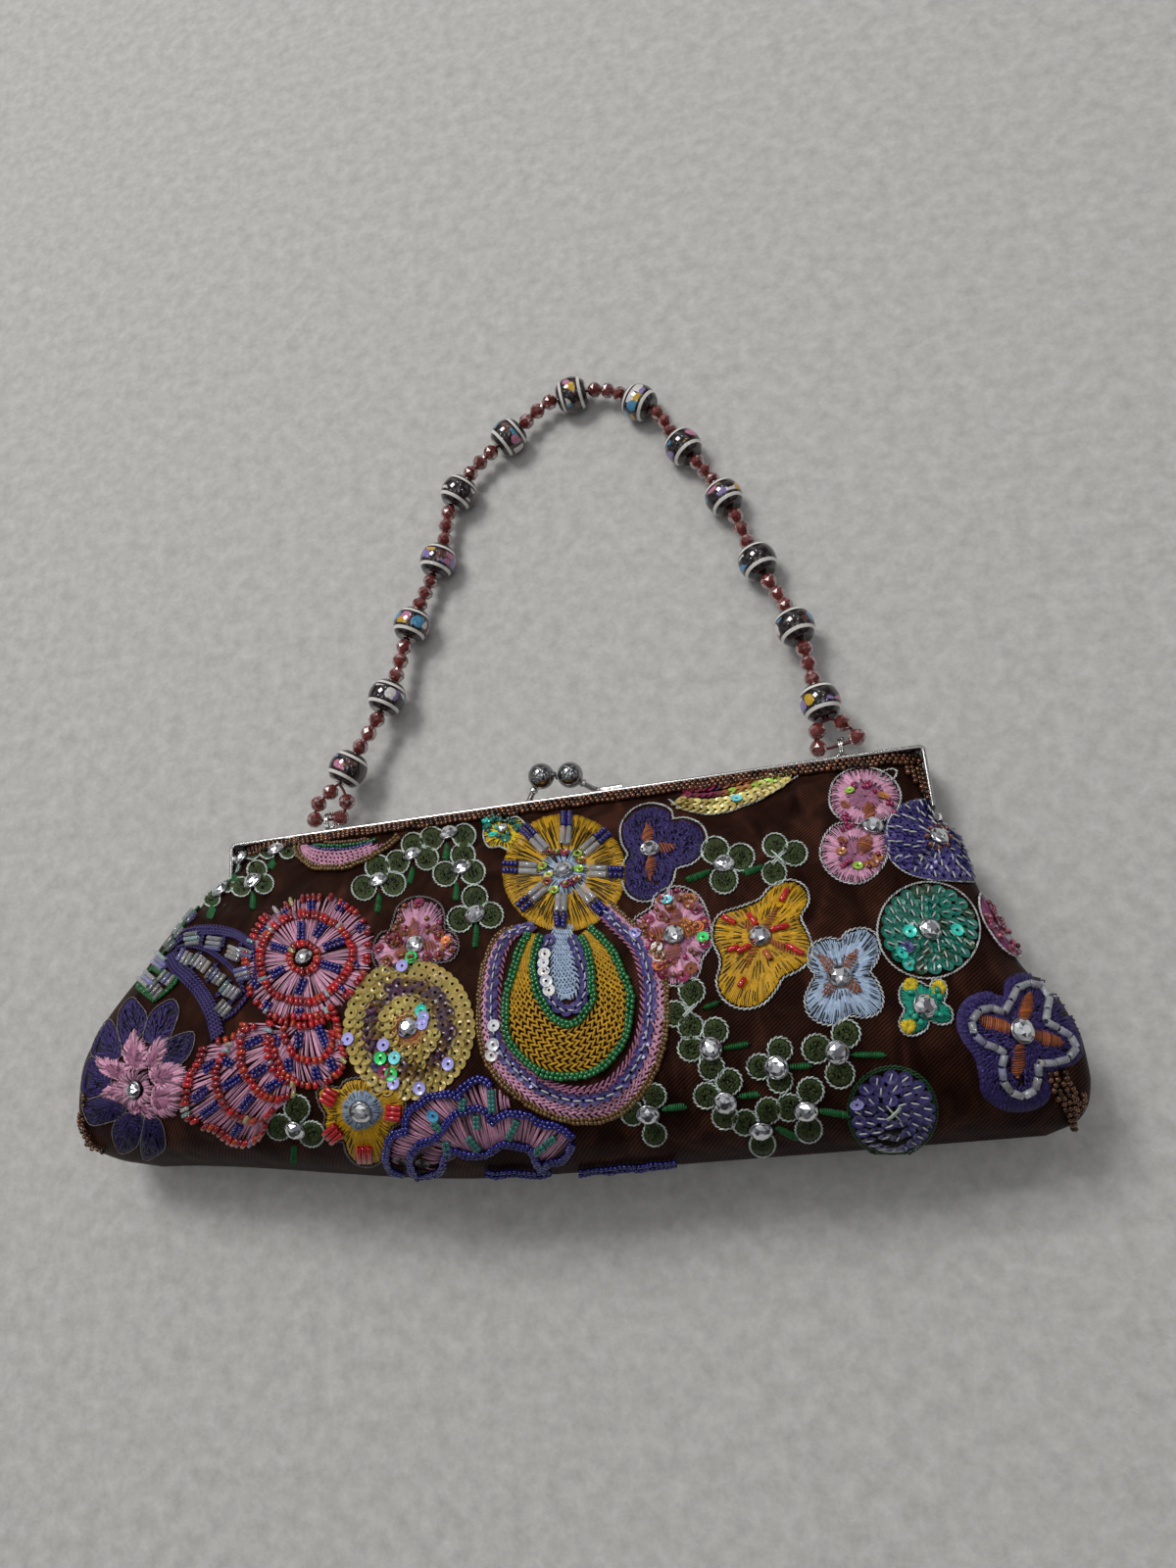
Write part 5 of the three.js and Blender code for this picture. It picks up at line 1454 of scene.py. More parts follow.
def ladder():
    top = PX((257, 962), (243, 953), (227, 948), (213, 947), (199, 948), (187, 952), (177, 960))
    for w in (0.0, 3.4, 6.2):
        chain(curve(top + (0.4 * w, w)), COL["purple"] * 1.2, 1.3, 1.05, thick=0.62, lift=0.55)
    arc = PX((176, 974), (184, 988), (195, 998), (205, 1009), (213, 1021), (219, 1034), (222, 1046), (225, 1058))
    for w in (-6.5, -3.0, 0.5, 4.0):
        chain(curve(arc + (w * 0.8, -w * 0.6)), COL["purple"] * (1.35 if w == -3.0 else 1.1), 1.3, 1.05, thick=0.62, lift=0.55)
    inner = PX((181, 969), (194, 966), (208, 968), (220, 974), (231, 983), (241, 993), (247, 1003), (250, 1014))
    chain(curve(inner), COL["purple"] * 1.2, 1.2, 1.05, thick=0.62, lift=0.55)
    rim = PX((257, 962), (262, 975), (262, 992), (258, 1008), (250, 1022), (240, 1034), (229, 1040))
    chain(curve(rim), COL["purple"] * 1.2, 1.2, 1.05, thick=0.62, lift=0.55)
    for a, b in (((210, 950), (206, 966)), ((231, 952), (228, 968)), ((248, 962), (240, 982)), ((197, 990), (206, 972)), ((213, 1003), (222, 984)), ((222, 1018), (237, 1000)), ((224, 1036), (247, 1014)), ((186, 988), (190, 968))):
        chain(curve(PX(a, b)), COL["purple"] * 1.2, 1.1, 1.0, thick=0.6, lift=0.5)
    for p, ang, k in (((199, 960), -8, 3), ((221, 965), 8, 3), ((241, 975), 22, 3), ((191, 979), -62, 3), ((207, 985), -55, 4), ((223, 998), -52, 4), ((237, 1013), -52, 4), ((250, 996), -15, 3), ((253, 975), 20, 2), ((231, 1030), -48, 3)):
        tubes_side_by_side(p, ang, k, 14.5, 4.6, 0.88)


def tubes_side_by_side(p, ang, count, length, gap, r):
    """A few glass tubes side by side, each with its own faint tint."""
    a = math.radians(ang)
    d, s = np.array([math.cos(a), math.sin(a)]), np.array([-math.sin(a), math.cos(a)])
    for k in range(count):
        tint = COL[("clear", "silver", "white", "clear", "cyan_pale", "silver", "lavender", "white")[rng.integers(0, 8)]]
        m = np.asarray(p) + s * gap * (k - (count - 1) / 2) + d * rng.normal(0, 0.8)
        bugle([m - d * length / 2], [m + d * length / 2], tint * rng.uniform(0.55, 1.1), r, 1.0)


def side_ladder():
    for path in (PX((204, 927), (190, 944), (174, 966), (158, 988)), PX((158, 988), (170, 996), (182, 1002)), PX((158, 988), (150, 998), (142, 1007)), PX((142, 1007), (151, 1014), (160, 1021)), PX((182, 1002), (172, 1012), (160, 1021)), PX((170, 996), (160, 1004), (150, 1013))):
        chain(curve(path), COL["emerald"], 1.7, 1.1, thick=0.66, lift=0.6)
        seed_row(curve(path), COL["green_seed"], 0.8, 1.4)
    for p, ang, k in (((196, 938), -50, 2), ((185, 952), -50, 2), ((176, 966), -48, 2), ((166, 983), 40, 3), ((172, 1001), -50, 3), ((153, 1002), 42, 3), ((162, 1012), -50, 3)):
        tubes_side_by_side(p, ang, k, 14, 4.8, 0.92)


def star_flower():
    K = lambda *pts: np.array([(70 + x / 6.22, 980 + y / 6.22) for x, y in pts])
    c = K((430, 820))[0]
    petals = (
        K((410, 245), (350, 300), (325, 380), (330, 470), (360, 545), (430, 500), (490, 430), (495, 350), (455, 285)),
        K((670, 258), (600, 282), (535, 340), (500, 420), (490, 505), (560, 515), (640, 485), (680, 400), (700, 320)),
        K((792, 465), (700, 482), (632, 520), (605, 590), (620, 655), (690, 662), (750, 622), (790, 550)),
        K((262, 385), (200, 470), (158, 580), (190, 622), (262, 630), (335, 605), (332, 520), (300, 430)),
        K((150, 620), (112, 700), (98, 770), (95, 830), (130, 868), (205, 850), (262, 800), (270, 740), (215, 690), (190, 640)),
        K((110, 912), (200, 872), (300, 882), (368, 922), (340, 985), (250, 1020), (160, 1036), (122, 990)),
        K((345, 980), (435, 972), (478, 1005), (462, 1090), (430, 1170), (345, 1212), (302, 1150), (292, 1062)),
        K((505, 990), (560, 992), (600, 1050), (612, 1170), (562, 1222), (492, 1252), (470, 1180), (480, 1080)),
    )
    for i, p in enumerate(petals):
        o = curve(p, True)
        m = o.mean(0)
        ground(o, m, COL["purple_dark"])
        tone = 1.5 if i in (0, 1, 3, 4) else 1.1
        fill(toward(o, m, 0.80), o, COL["purple_dark"] * tone, 0.42, True, 0.03, 0.40, 0.35)
        stipple(o, m * 0.7 + c * 0.3, COL["purple_dark"] * tone, 3.2, 9.0, 0.38, 0.6, 0.16, 0.30)
        cord(grow(o, 1.0), "dark_cord", 0.46, 1.1, True, slant=8)
    pink = (
        K((350, 600), (378, 520), (425, 440), (470, 500), (502, 560), (520, 625), (490, 690), (430, 700), (385, 670)),
        K((500, 610), (545, 530), (602, 486), (640, 532), (612, 622), (570, 680), (520, 685)),
        K((185, 625), (260, 618), (342, 640), (402, 690), (382, 762), (292, 752), (222, 712)),
        K((215, 858), (262, 790), (342, 762), (392, 790), (372, 872), (312, 892)),
        K((520, 690), (600, 652), (692, 650), (750, 690), (745, 762), (700, 802), (620, 812), (540, 775)),
        K((555, 800), (640, 792), (712, 812), (722, 882), (690, 962), (620, 992), (560, 962), (535, 882)),
        K((392, 900), (470, 905), (545, 925), (565, 985), (520, 995), (480, 962), (425, 975), (388, 950)),
    )
    hub = oval(c, 17, 16)
    ground(hub, c, COL["dark"], 3)
    for p in pink:
        o = curve(p, True)
        m = o.mean(0)
        ground(o, m, COL["pink_deep"], 3)
        f = m * 0.72 + c * 0.28
        n = int(length_mm(o, True) / 0.34)
        e = resample(o, n, True)
        for k0, k1, col in ((0.0, 0.72, COL["pink_deep"]), (0.42, 1.0, COL["pink"])):
            tone = np.where(rng.uniform(0, 1, (n, 1)) < 0.24, 0.30, rng.uniform(0.85, 1.25, (n, 1)))
            strands(f + (e - f) * k0 + rng.normal(0, 0.8, (n, 2)), f + (e - f) * (k1 + rng.uniform(-0.12, 0.10, (n, 1))), col * tone, 0.40, 0.75, 0.25)
    n = 64
    a = np.linspace(0, 2 * math.pi, n, endpoint=False)
    u = np.stack([np.cos(a), np.sin(a)], -1)
    strands(c + u * 9.5, c + u * rng.uniform(16, 23, (n, 1)), COL["pink"] * np.where(rng.uniform(0, 1, (n, 1)) < 0.4, 0.3, 0.9), 0.40, 0.9, 0.4)
    stone(c, 5.0, 1.0, 0.65)


CLOVERS = (
    # stone, lobes, stem, radius, x-stitch
    ((739, 884), ((730, 869), (756, 876), (739, 899)), ((725, 890), (700, 899)), 13.5, False),
    ((794, 877), ((791, 864), (811, 872), (790, 892)), ((779, 885), (759, 892)), 12.0, True),
    ((703, 1031), ((706, 1012), (689, 1035), (705, 1048)), ((717, 1029), (734, 1023)), 12.5, True),
    ((725, 1070), ((730, 1052), (705, 1070), (726, 1089)), ((737, 1070), (765, 1065)), 12.5, False),
    ((792, 1088), ((796, 1071), (775, 1088), (796, 1102)), ((804, 1088), (827, 1087)), 12.0, False),
    ((854, 1073), ((863, 1055), (833, 1070), (857, 1095)), ((869, 1076), (903, 1076)), 14.0, False),
    ((740, 1123), ((744, 1103), (721, 1117), (740, 1138)), ((753, 1118), (775, 1116)), 12.5, False),
    ((776, 1150), ((784, 1132), (760, 1144), (778, 1166)), ((792, 1149), (813, 1160)), 12.5, False),
    ((822, 1131), ((827, 1112), (805, 1129), (825, 1151)), ((835, 1132), (866, 1137)), 13.0, False),
    ((661, 1134), ((668, 1117), (646, 1135), (668, 1156)), ((677, 1130), (700, 1128)), 11.5, False),
    ((459, 853), ((441, 857), (474, 854)), ((457, 863), (454, 879)), 11.5, False),
    ((422, 875), ((422, 863), (406, 881), (436, 877)), ((422, 887), (417, 903)), 11.5, False),
    ((387, 901), ((386, 886), (372, 907), (402, 903)), ((388, 914), (385, 932)), 12.0, False),
    ((472, 888), ((473, 874), (455, 893), (483, 891)), ((467, 902), (465, 920)), 12.0, False),
    ((486, 935), ((485, 917), (470, 939), (501, 935)), ((487, 945), (485, 968)), 12.5, False),
    ((303, 1150), ((304, 1130), (286, 1149), (319, 1156)), ((301, 1167), (300, 1186)), 12.5, False),
    ((260, 901), ((263, 889), (247, 906), (270, 903)), ((259, 913), (258, 929)), 9.5, False),
    ((227, 910), ((232, 903), (217, 918)), ((220, 922), (214, 938)), 8.0, False),
    ((249, 877), ((237, 884), (258, 869)), ((244, 886), (240, 900)), 8.5, False),
    ((283, 870), ((274, 869), (294, 869)), ((281, 879), (275, 887)), 8.0, False),
)


def trims():
    """Rows of bronze seed beads under the rail, down the right arm and at the corners."""
    # straight rows in the working frame, on the satin just under the rail
    for row, y in enumerate((-2.0, -3.1, -4.2)):
        x = np.arange(-84.6, 85.4, 1.24) + 0.62 * (row % 2)
        w = column("right", np.full_like(x, y))
        P = body_points(x / w, np.full_like(x, y), True, 0)
        e = 0.3
        Px = body_points((x + e) / w, np.full_like(x, y), True, 0)
        Py = body_points(x / w, np.full_like(x, y - e), True, 0)
        T = Px - P
        T /= np.linalg.norm(T, axis=1, keepdims=True)
        S = Py - P
        N = np.cross(S, T)
        N /= np.linalg.norm(N, axis=1, keepdims=True)
        n = len(P)
        c = pick(("bronze", "bronze_dark", "copper"), n, (6, 2, 1))
        seeds2.place(SEED, P + N * (0.95 + rng.normal(0, 0.03, (n, 1))), T, np.cross(N, T), N, (0.54, 0.62, 0.62), jitter(c, n, 0.15, 0.04))
    for row, (x0, y0, y1) in enumerate(((86.0, -2.0, -13.4), (84.9, -5.2, -12.6), (83.8, -5.6, -10.2), (82.7, -5.2, -7.6))):
        y = np.arange(y0, y1, -1.24) - 0.6 * (row % 2)
        w = column("right", y)
        x0 = np.minimum(x0, w * 0.996)
        P = body_points(x0 / w, y, True, 0)
        Px, Py = body_points((x0 - 0.3) / w, y, True, 0), body_points(x0 / w, y - 0.3, True, 0)
        T = Py - P
        T /= np.linalg.norm(T, axis=1, keepdims=True)
        N = np.cross(T, P - Px)
        N /= np.linalg.norm(N, axis=1, keepdims=True)
        n = len(P)
        seeds2.place(SEED, P + N * 0.95, T, np.cross(N, T), N, (0.54, 0.62, 0.62), jitter(pick(("bronze", "copper", "bronze_dark"), n, (6, 1, 2)), n, 0.15, 0.04))
    # gathered beads on the corners, charted one by one
    right = np.array([(956.3 + x / 5.85 - 0.055 * max(0, x - 790), 958.5 + y / 5.85) for x, y in (
        (655, 800), (690, 796), (745, 790), (660, 832), (702, 830), (752, 822), (690, 862), (735, 855), (770, 850), (682, 892), (712, 892), (755, 885), (790, 880), (722, 915), (706, 940), (740, 935), (765, 915), (790, 925), (812, 905),
        (742, 968), (770, 960), (800, 955), (822, 940), (838, 970), (862, 962), (885, 920), (890, 950), (750, 1000), (778, 995), (806, 990), (830, 1002), (865, 1005), (882, 985), (772, 1030), (800, 1022), (828, 1032), (782, 1058), (808, 1056), (790, 1086), (815, 1085), (805, 1110), (820, 1112))])
    left = np.array([(72.5 + x / 6.22, 979 + y / 6.22) for x, y in (
        (100, 865), (106, 882), (96, 905), (104, 925), (80, 975), (76, 995), (94, 1010), (74, 1018), (78, 1042), (96, 1040), (84, 1062), (104, 1068), (92, 1084), (112, 1094), (106, 1112), (128, 1118), (122, 1136), (144, 1146), (134, 1162), (118, 1160), (160, 1172), (150, 1186), (185, 1190), (210, 1204))])
    for px in (right, left):
        seed_points(px, pick(("bronze", "copper", "bronze_dark"), len(px), (6, 2, 2)), 1.02, 1.55, 0.75, seeds2)


for motif in (gold_wheel, pansy, frame_crescent_gold, pink_four, gold_butterfly, paleblue_four, small_teal, pink_eight,
              violet_fan, mauve_side, purple_four, paisley_crescent, bead_flower_b, bead_flower_a, bead_flower_c,
              gold_sequin_disc, pink_three, gold_five, pink_clouds, teardrop, ladder, side_ladder, star_flower, trims):
    motif()
small_yellow((516, 852), 21, 16)
sequin_round(RC((1027, 588))[0], 46, 43.5, ("teal", "teal", "green_dark", "turquoise"), (8, 6, 2, 0.4), (0.92, 0.72, 0.52, 0.34), "silver_cord", 1.13,
             ((RC((970, 595))[0], "turquoise"), (RC((945, 658))[0], "turquoise"), (RC((1105, 595))[0], "turquoise"), (RC((960, 640))[0], "blue_violet")))
sequin_round(RC((925, 1100))[0], 40, 40, ("violet", "violet", "blue_violet", "purple"), (4, 3, 3, 1), (0.90, 0.62, 0.32), "green_dark", 1.10,
             ((np.array([873.0, 1123.0]), "lavender"), (RC((828, 1118))[0], "violet")), True, None, 2.75, 8, 0.45)
cross_stitch(RC((925, 1098))[0], 10.0, "pale_cord")
for _c in CLOVERS:
    clover(*_c)


# ------------------------------------------------------------------ materials
def new_material(name, **values):
    m = bpy.data.materials.new(name)
    m.use_nodes = True
    b = m.node_tree.nodes["Principled BSDF"]
    for key, v in values.items():
        b.inputs[key.replace("_", " ")].default_value = v
    return m, m.node_tree, b


def node(nt, kind, **values):
    n = nt.nodes.new(kind)
    for k, v in values.items():
        if hasattr(n, k):
            setattr(n, k, v)
        else:
            n.inputs[k.replace("_", " ")].default_value = v
    return n


def mix_colour(nt, fac, a, b, blend="MIX"):
    n = nt.nodes.new("ShaderNodeMix")
    n.data_type = "RGBA"
    n.blend_type = blend
    for sock, v in ((n.inputs[0], fac), (n.inputs[6], a), (n.inputs[7], b)):
        if isinstance(v, bpy.types.NodeSocket):
            nt.links.new(v, sock)
        else:
            sock.default_value = (*v, 1.0) if np.ndim(v) and len(v) == 3 else v
    return n.outputs[2]


def ramp(nt, source, stops, mode="LINEAR"):
    n = nt.nodes.new("ShaderNodeValToRGB")
    n.color_ramp.interpolation = mode
    e = n.color_ramp.elements
    e[0].position, e[0].color = stops[0][0], (*stops[0][1], 1.0)
    e[1].position, e[1].color = stops[1][0], (*stops[1][1], 1.0)
    for p, c in stops[2:]:
        k = e.new(p)
        k.color = (*c, 1.0)
    nt.links.new(source, n.inputs[0])
    return n.outputs[0]


def satin_material():
    m, nt, b = new_material("satin", Roughness=0.40, IOR=1.25)
    b.inputs["Specular Tint"].default_value = (0.80, 0.48, 0.40, 1)
    b.inputs["Specular IOR Level"].default_value = 0.09
    tc = nt.nodes.new("ShaderNodeTexCoord")
    base = COL["satin"]
    n1 = node(nt, "ShaderNodeTexNoise", Scale=38.0, Detail=4.0, Roughness=0.55)
    nt.links.new(tc.outputs["Object"], n1.inputs["Vector"])
    # diagonal twill lines of the satin
    mp = nt.nodes.new("ShaderNodeMapping")
    mp.inputs["Rotation"].default_value = (0, 0, math.radians(52))
    nt.links.new(tc.outputs["Object"], mp.inputs["Vector"])
    wv = node(nt, "ShaderNodeTexWave", Scale=520.0, Distortion=1.2, Detail=1.5)
    wv.inputs["Detail Scale"].default_value = 1.5
    nt.links.new(mp.outputs["Vector"], wv.inputs["Vector"])
    mp2 = nt.nodes.new("ShaderNodeMapping")
    mp2.inputs["Rotation"].default_value = (0, 0, math.radians(-38))
    mp2.inputs["Scale"].default_value = (1.0, 0.12, 1.0)
    nt.links.new(tc.outputs["Object"], mp2.inputs["Vector"])
    n2 = node(nt, "ShaderNodeTexNoise", Scale=1500.0, Detail=2.0)
    nt.links.new(mp2.outputs["Vector"], n2.inputs["Vector"])
    tone = ramp(nt, n1.outputs[0], ((0.30, tuple(base * 0.74)), (0.72, tuple(base * 1.28))))
    lines = ramp(nt, wv.outputs[0], ((0.15, (0.55, 0.55, 0.56)), (0.80, (1.55, 1.50, 1.50))))
    # painted highlights and shade of the satin's wrinkles: stretched diagonal noise that scales its colour from half to
    # double
    mp3 = nt.nodes.new("ShaderNodeMapping")
    mp3.inputs["Rotation"].default_value = (0, 0, math.radians(35))
    mp3.inputs["Scale"].default_value = (1.0, 0.38, 1.0)
    nt.links.new(tc.outputs["Object"], mp3.inputs["Vector"])
    n3 = node(nt, "ShaderNodeTexNoise", Scale=150.0, Detail=3.0, Roughness=0.5, Distortion=0.8)
    nt.links.new(mp3.outputs["Vector"], n3.inputs["Vector"])
    painted_wrinkle_light = ramp(nt, n3.outputs[0], ((0.34, (0.50, 0.48, 0.50)), (0.52, (0.95, 0.95, 0.95)), (0.70, (2.0, 1.85, 1.75))))
    tone = mix_colour(nt, 1.0, tone, painted_wrinkle_light, "MULTIPLY")
    nt.links.new(mix_colour(nt, 1.0, tone, lines, "MULTIPLY"), b.inputs["Base Color"])
    b1 = node(nt, "ShaderNodeBump", Strength=0.45, Distance=0.00012)
    nt.links.new(wv.outputs[0], b1.inputs["Height"])
    b2 = node(nt, "ShaderNodeBump", Strength=0.35, Distance=0.0002)
    nt.links.new(n2.outputs[0], b2.inputs["Height"])
    nt.links.new(b1.outputs[0], b2.inputs["Normal"])
    nt.links.new(b2.outputs[0], b.inputs["Normal"])
    return m


def attribute_material(name, noise=900.0, amount=0.22, bump=0.0, **values):
    m, nt, b = new_material(name, **values)
    at = nt.nodes.new("ShaderNodeAttribute")
    at.attribute_name = "Col"
    tc = nt.nodes.new("ShaderNodeTexCoord")
    n = node(nt, "ShaderNodeTexNoise", Scale=noise, Detail=2.0)
    nt.links.new(tc.outputs["Object"], n.inputs["Vector"])
    k = ramp(nt, n.outputs[0], ((0.25, (1 - amount,) * 3), (0.75, (1 + amount,) * 3)))
    nt.links.new(mix_colour(nt, 1.0, at.outputs["Color"], k, "MULTIPLY"), b.inputs["Base Color"])
    if bump:
        bp = node(nt, "ShaderNodeBump", Strength=bump, Distance=0.0001)
        nt.links.new(n.outputs[0], bp.inputs["Height"])
        nt.links.new(bp.outputs[0], b.inputs["Normal"])
    return m, b


MAT_SATIN = satin_material()
MAT_THREAD, _b = attribute_material("thread", 1600.0, 0.20, 0.5, Roughness=0.46)
_b.inputs["Specular IOR Level"].default_value = 0.28
MAT_CORD, _b = attribute_material("cord", 2200.0, 0.16, 0.4, Roughness=0.42)
_b.inputs["Specular IOR Level"].default_value = 0.35
MAT_SEED, _b = attribute_material("seed_glass", 700.0, 0.12, 0.0, Roughness=0.12, IOR=1.52)
_b.inputs["Coat Weight"].default_value = 0.5
_b.inputs["Coat Roughness"].default_value = 0.05
MAT_BRONZE, _b = attribute_material("bronze_glass", 700.0, 0.1, 0.0, Roughness=0.09, Metallic=0.70)
_b.inputs["Coat Weight"].default_value = 0.4
_b.inputs["Coat Roughness"].default_value = 0.08
MAT_TUBE, _b = attribute_material("tube_glass", 500.0, 0.15, 0.0, Roughness=0.08, IOR=1.5)
_b.inputs["Transmission Weight"].default_value = 0.40
_b.inputs["Coat Weight"].default_value = 0.5
MAT_CLEAR, _b = attribute_material("clear_glass", 150.0, 0.05, 0.0, Roughness=0.06, IOR=1.5)
_b.inputs["Transmission Weight"].default_value = 0.68
_b.inputs["Coat Weight"].default_value = 0.5
MAT_DISC, _b = attribute_material("sequin", 400.0, 0.15, 0.0, Roughness=0.34, Metallic=0.10)
_b.inputs["Coat Weight"].default_value = 0.5
_b.inputs["Coat Roughness"].default_value = 0.1


def metal_material(name, colour, rough, scratch=0.08):
    m, nt, b = new_material(name, Metallic=1.0)
    tc = nt.nodes.new("ShaderNodeTexCoord")
    n = node(nt, "ShaderNodeTexNoise", Scale=260.0, Detail=5.0)
    nt.links.new(tc.outputs["Object"], n.inputs["Vector"])
    nt.links.new(ramp(nt, n.outputs[0], ((0.3, tuple(np.array(colour) * 0.86)), (0.7, colour))), b.inputs["Base Color"])
    mr = nt.nodes.new("ShaderNodeMapRange")
    mr.inputs["To Min"].default_value = rough
    mr.inputs["To Max"].default_value = rough + scratch
    nt.links.new(n.outputs[0], mr.inputs["Value"])
    nt.links.new(mr.outputs[0], b.inputs["Roughness"])
    return m


MAT_CHROME = metal_material("bright_plating", (0.60, 0.59, 0.57), 0.14)
MAT_DARK_CHROME = metal_material("dark_plating", (0.36, 0.36, 0.365), 0.04, 0.05)
MAT_STONE = metal_material("foiled_stone", (0.88, 0.89, 0.92), 0.02, 0.03)
MAT_BEZEL = metal_material("stone_setting", (0.42, 0.42, 0.44), 0.16)


def large_bead_material():
    m, nt, b = new_material("dark_bead", Roughness=0.10, IOR=1.5)
    b.inputs["Coat Weight"].default_value = 1.0
    b.inputs["Coat Roughness"].default_value = 0.03
    uv = nt.nodes.new("ShaderNodeUVMap")
    uv.uv_map = "map"
    sep = nt.nodes.new("ShaderNodeSeparateXYZ")
    nt.links.new(uv.outputs[0], sep.inputs[0])
    dark, white = tuple(srgb("#1c0f11")), tuple(srgb("#e8e4de"))
    # mirrored distance from the middle: 0 at the equator, 1 at the ends
    half = node(nt, "ShaderNodeMath", operation="SUBTRACT")
    nt.links.new(sep.outputs[1], half.inputs[0])
    half.inputs[1].default_value = 0.5
    ab = node(nt, "ShaderNodeMath", operation="ABSOLUTE")
    nt.links.new(half.outputs[0], ab.inputs[0])
    dbl = node(nt, "ShaderNodeMath", operation="MULTIPLY")
    nt.links.new(ab.outputs[0], dbl.inputs[0])
    dbl.inputs[1].default_value = 2.0
    ring = ramp(nt, dbl.outputs[0], ((0.0, (0, 0, 0)), (0.540, (0, 0, 0)), (0.560, (1, 1, 1)), (0.725, (1, 1, 1)), (0.745, (0, 0, 0))))
    belt = ramp(nt, dbl.outputs[0], ((0.0, (1, 1, 1)), (0.36, (1, 1, 1)), (0.42, (0, 0, 0))))
    tc = nt.nodes.new("ShaderNodeTexCoord")
    warp = node(nt, "ShaderNodeTexNoise", Scale=420.0, Detail=2.0)
    nt.links.new(tc.outputs["Object"], warp.inputs["Vector"])
    add = nt.nodes.new("ShaderNodeMix")
    add.data_type = "VECTOR"
    add.inputs[0].default_value = 0.0016
    nt.links.new(tc.outputs["Object"], add.inputs[4])
    nt.links.new(warp.outputs["Color"], add.inputs[5])
    vor = node(nt, "ShaderNodeTexVoronoi", Scale=330.0)
    nt.links.new(add.outputs[1], vor.inputs["Vector"])
    s2 = nt.nodes.new("ShaderNodeSeparateColor")
    nt.links.new(vor.outputs["Color"], s2.inputs[0])
    chips = ramp(nt, s2.outputs[0], ((0.0, dark), (0.22, tuple(srgb("#c9a024"))), (0.34, tuple(srgb("#d8d4d0"))),
                                     (0.48, dark), (0.54, tuple(srgb("#4a90b8"))), (0.70, tuple(srgb("#c07a98"))),
                                     (0.80, tuple(srgb("#8a78b0"))), (0.88, tuple(srgb("#5a3a34")))), "CONSTANT")
    size = ramp(nt, vor.outputs["Distance"], ((0.0, (1, 1, 1)), (0.54, (1, 1, 1)), (0.62, (0, 0, 0))))
    k = node(nt, "ShaderNodeMath", operation="MULTIPLY")
    nt.links.new(size, k.inputs[0])
    nt.links.new(belt, k.inputs[1])
    c = mix_colour(nt, k.outputs[0], dark, chips)
    nt.links.new(mix_colour(nt, ring, c, white), b.inputs["Base Color"])
    return m


MAT_LARGE = large_bead_material()
MAT_GARNET, _nt, _b = new_material("garnet_bead", Roughness=0.10, IOR=1.5)
_b.inputs["Transmission Weight"].default_value = 0.35
_b.inputs["Coat Weight"].default_value = 0.4
_tc = _nt.nodes.new("ShaderNodeTexCoord")
_n = node(_nt, "ShaderNodeTexNoise", Scale=420.0, Detail=2.0)
_nt.links.new(_tc.outputs["Object"], _n.inputs["Vector"])
_nt.links.new(ramp(_nt, _n.outputs[0], ((0.3, tuple(srgb("#5a1c1a"))), (0.7, tuple(srgb("#8e3c36"))))), _b.inputs["Base Color"])


# ------------------------------------------------------------------ pieces from the heaps
body_obj = make_object("satin_body", body_v, [body_q, body_t], None, True, MAT_SATIN)
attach(body_obj, "root")
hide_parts("bag_body")

# the sheets under the stitches, in thread colour at 0.16, are painted shade between the threads
for heap, name, mat, slot, shade in (
        (thread, "satin_stitch", MAT_THREAD, "satin", True), (accents, "short_stitches", MAT_THREAD, "satin", True), (shade_sheets, "painted_shade_under_stitches", MAT_THREAD, "satin", True),
        (cordage, "couched_cord", MAT_CORD, "satin", True), (chains, "chain_stitch", MAT_CORD, "satin", True), (seeds, "seed_beads", MAT_SEED, "dark_glass_beads", True),
        (tubes, "tube_beads", MAT_TUBE, "garnet_beads", True), (tubes_clear, "clear_tube_beads", MAT_CLEAR, "dark_glass_beads", True), (discs, "sequins", MAT_DISC, "bronze_beads", False),
        (stones, "stones", MAT_STONE, "frame_metal", False), (bezels, "stone_settings", MAT_BEZEL, "frame_metal", True),
        (seeds2, "bronze_seed_trims", MAT_BRONZE, "bronze_beads", True)):
    if heap.n:
        print("heap", name, heap.triangles())
        _o = heap.build(name, mat, shade)
        if heap is seeds2:
            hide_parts("trim_rail", "trim_arm", "corner_beads_left", "corner_beads_right")


# ------------------------------------------------------------------ handle
BEADS = np.array([(-56.6, 17.2, 9.0), (-46.0, 36.4, 7.4), (-39.0, 57.4, 5.8), (-31.1, 76.1, 5.0), (-24.2, 96.5, 5.0), (-8.7, 111.4, 5.0), (10.6, 121.0, 5.0),
                  (29.4, 113.8, 5.0), (40.1, 96.8, 5.0), (49.2, 79.0, 5.0), (55.7, 58.1, 5.5), (62.7, 37.3, 7.2), (66.1, 15.5, 9.0)])
LOOP_LEFT = [(-59.2, 12.6, 9.0, 0), (-61.6, 11.5, 9.0, 1), (-65.0, 8.8, 8.8, 1), (-66.4, 4.8, 8.1, 1), (-62.8, 4.5, 7.6, 0), (-59.2, 4.4, 8.0, 1), (-57.1, 8.2, 8.8, 1)]
LOOP_RIGHT = [(67.3, 10.2, 9.0, 0), (70.6, 9.4, 9.0, 1), (73.4, 5.7, 8.2, 1), (69.4, 4.5, 7.6, 0), (64.0, 4.2, 8.0, 1), (64.3, 8.35, 8.8, 1)]
BEAD_R, BEAD_HALF, BORE_R, SMALL_R, THREAD_R = 5.0, 4.25, 1.0, 2.2, 0.45
_ends = [np.array([-59.6, 12.2, 9.0])] + list(BEADS) + [np.array([67.3, 8.6, 9.0])]
AXES = np.array([(_ends[i + 2] - _ends[i]) / np.linalg.norm(_ends[i + 2] - _ends[i]) for i in range(13)])


def frame_of(axis):
    side = np.cross([0, 0, 1.0], axis)
    side /= np.linalg.norm(side)
    return side, np.cross(axis, side)


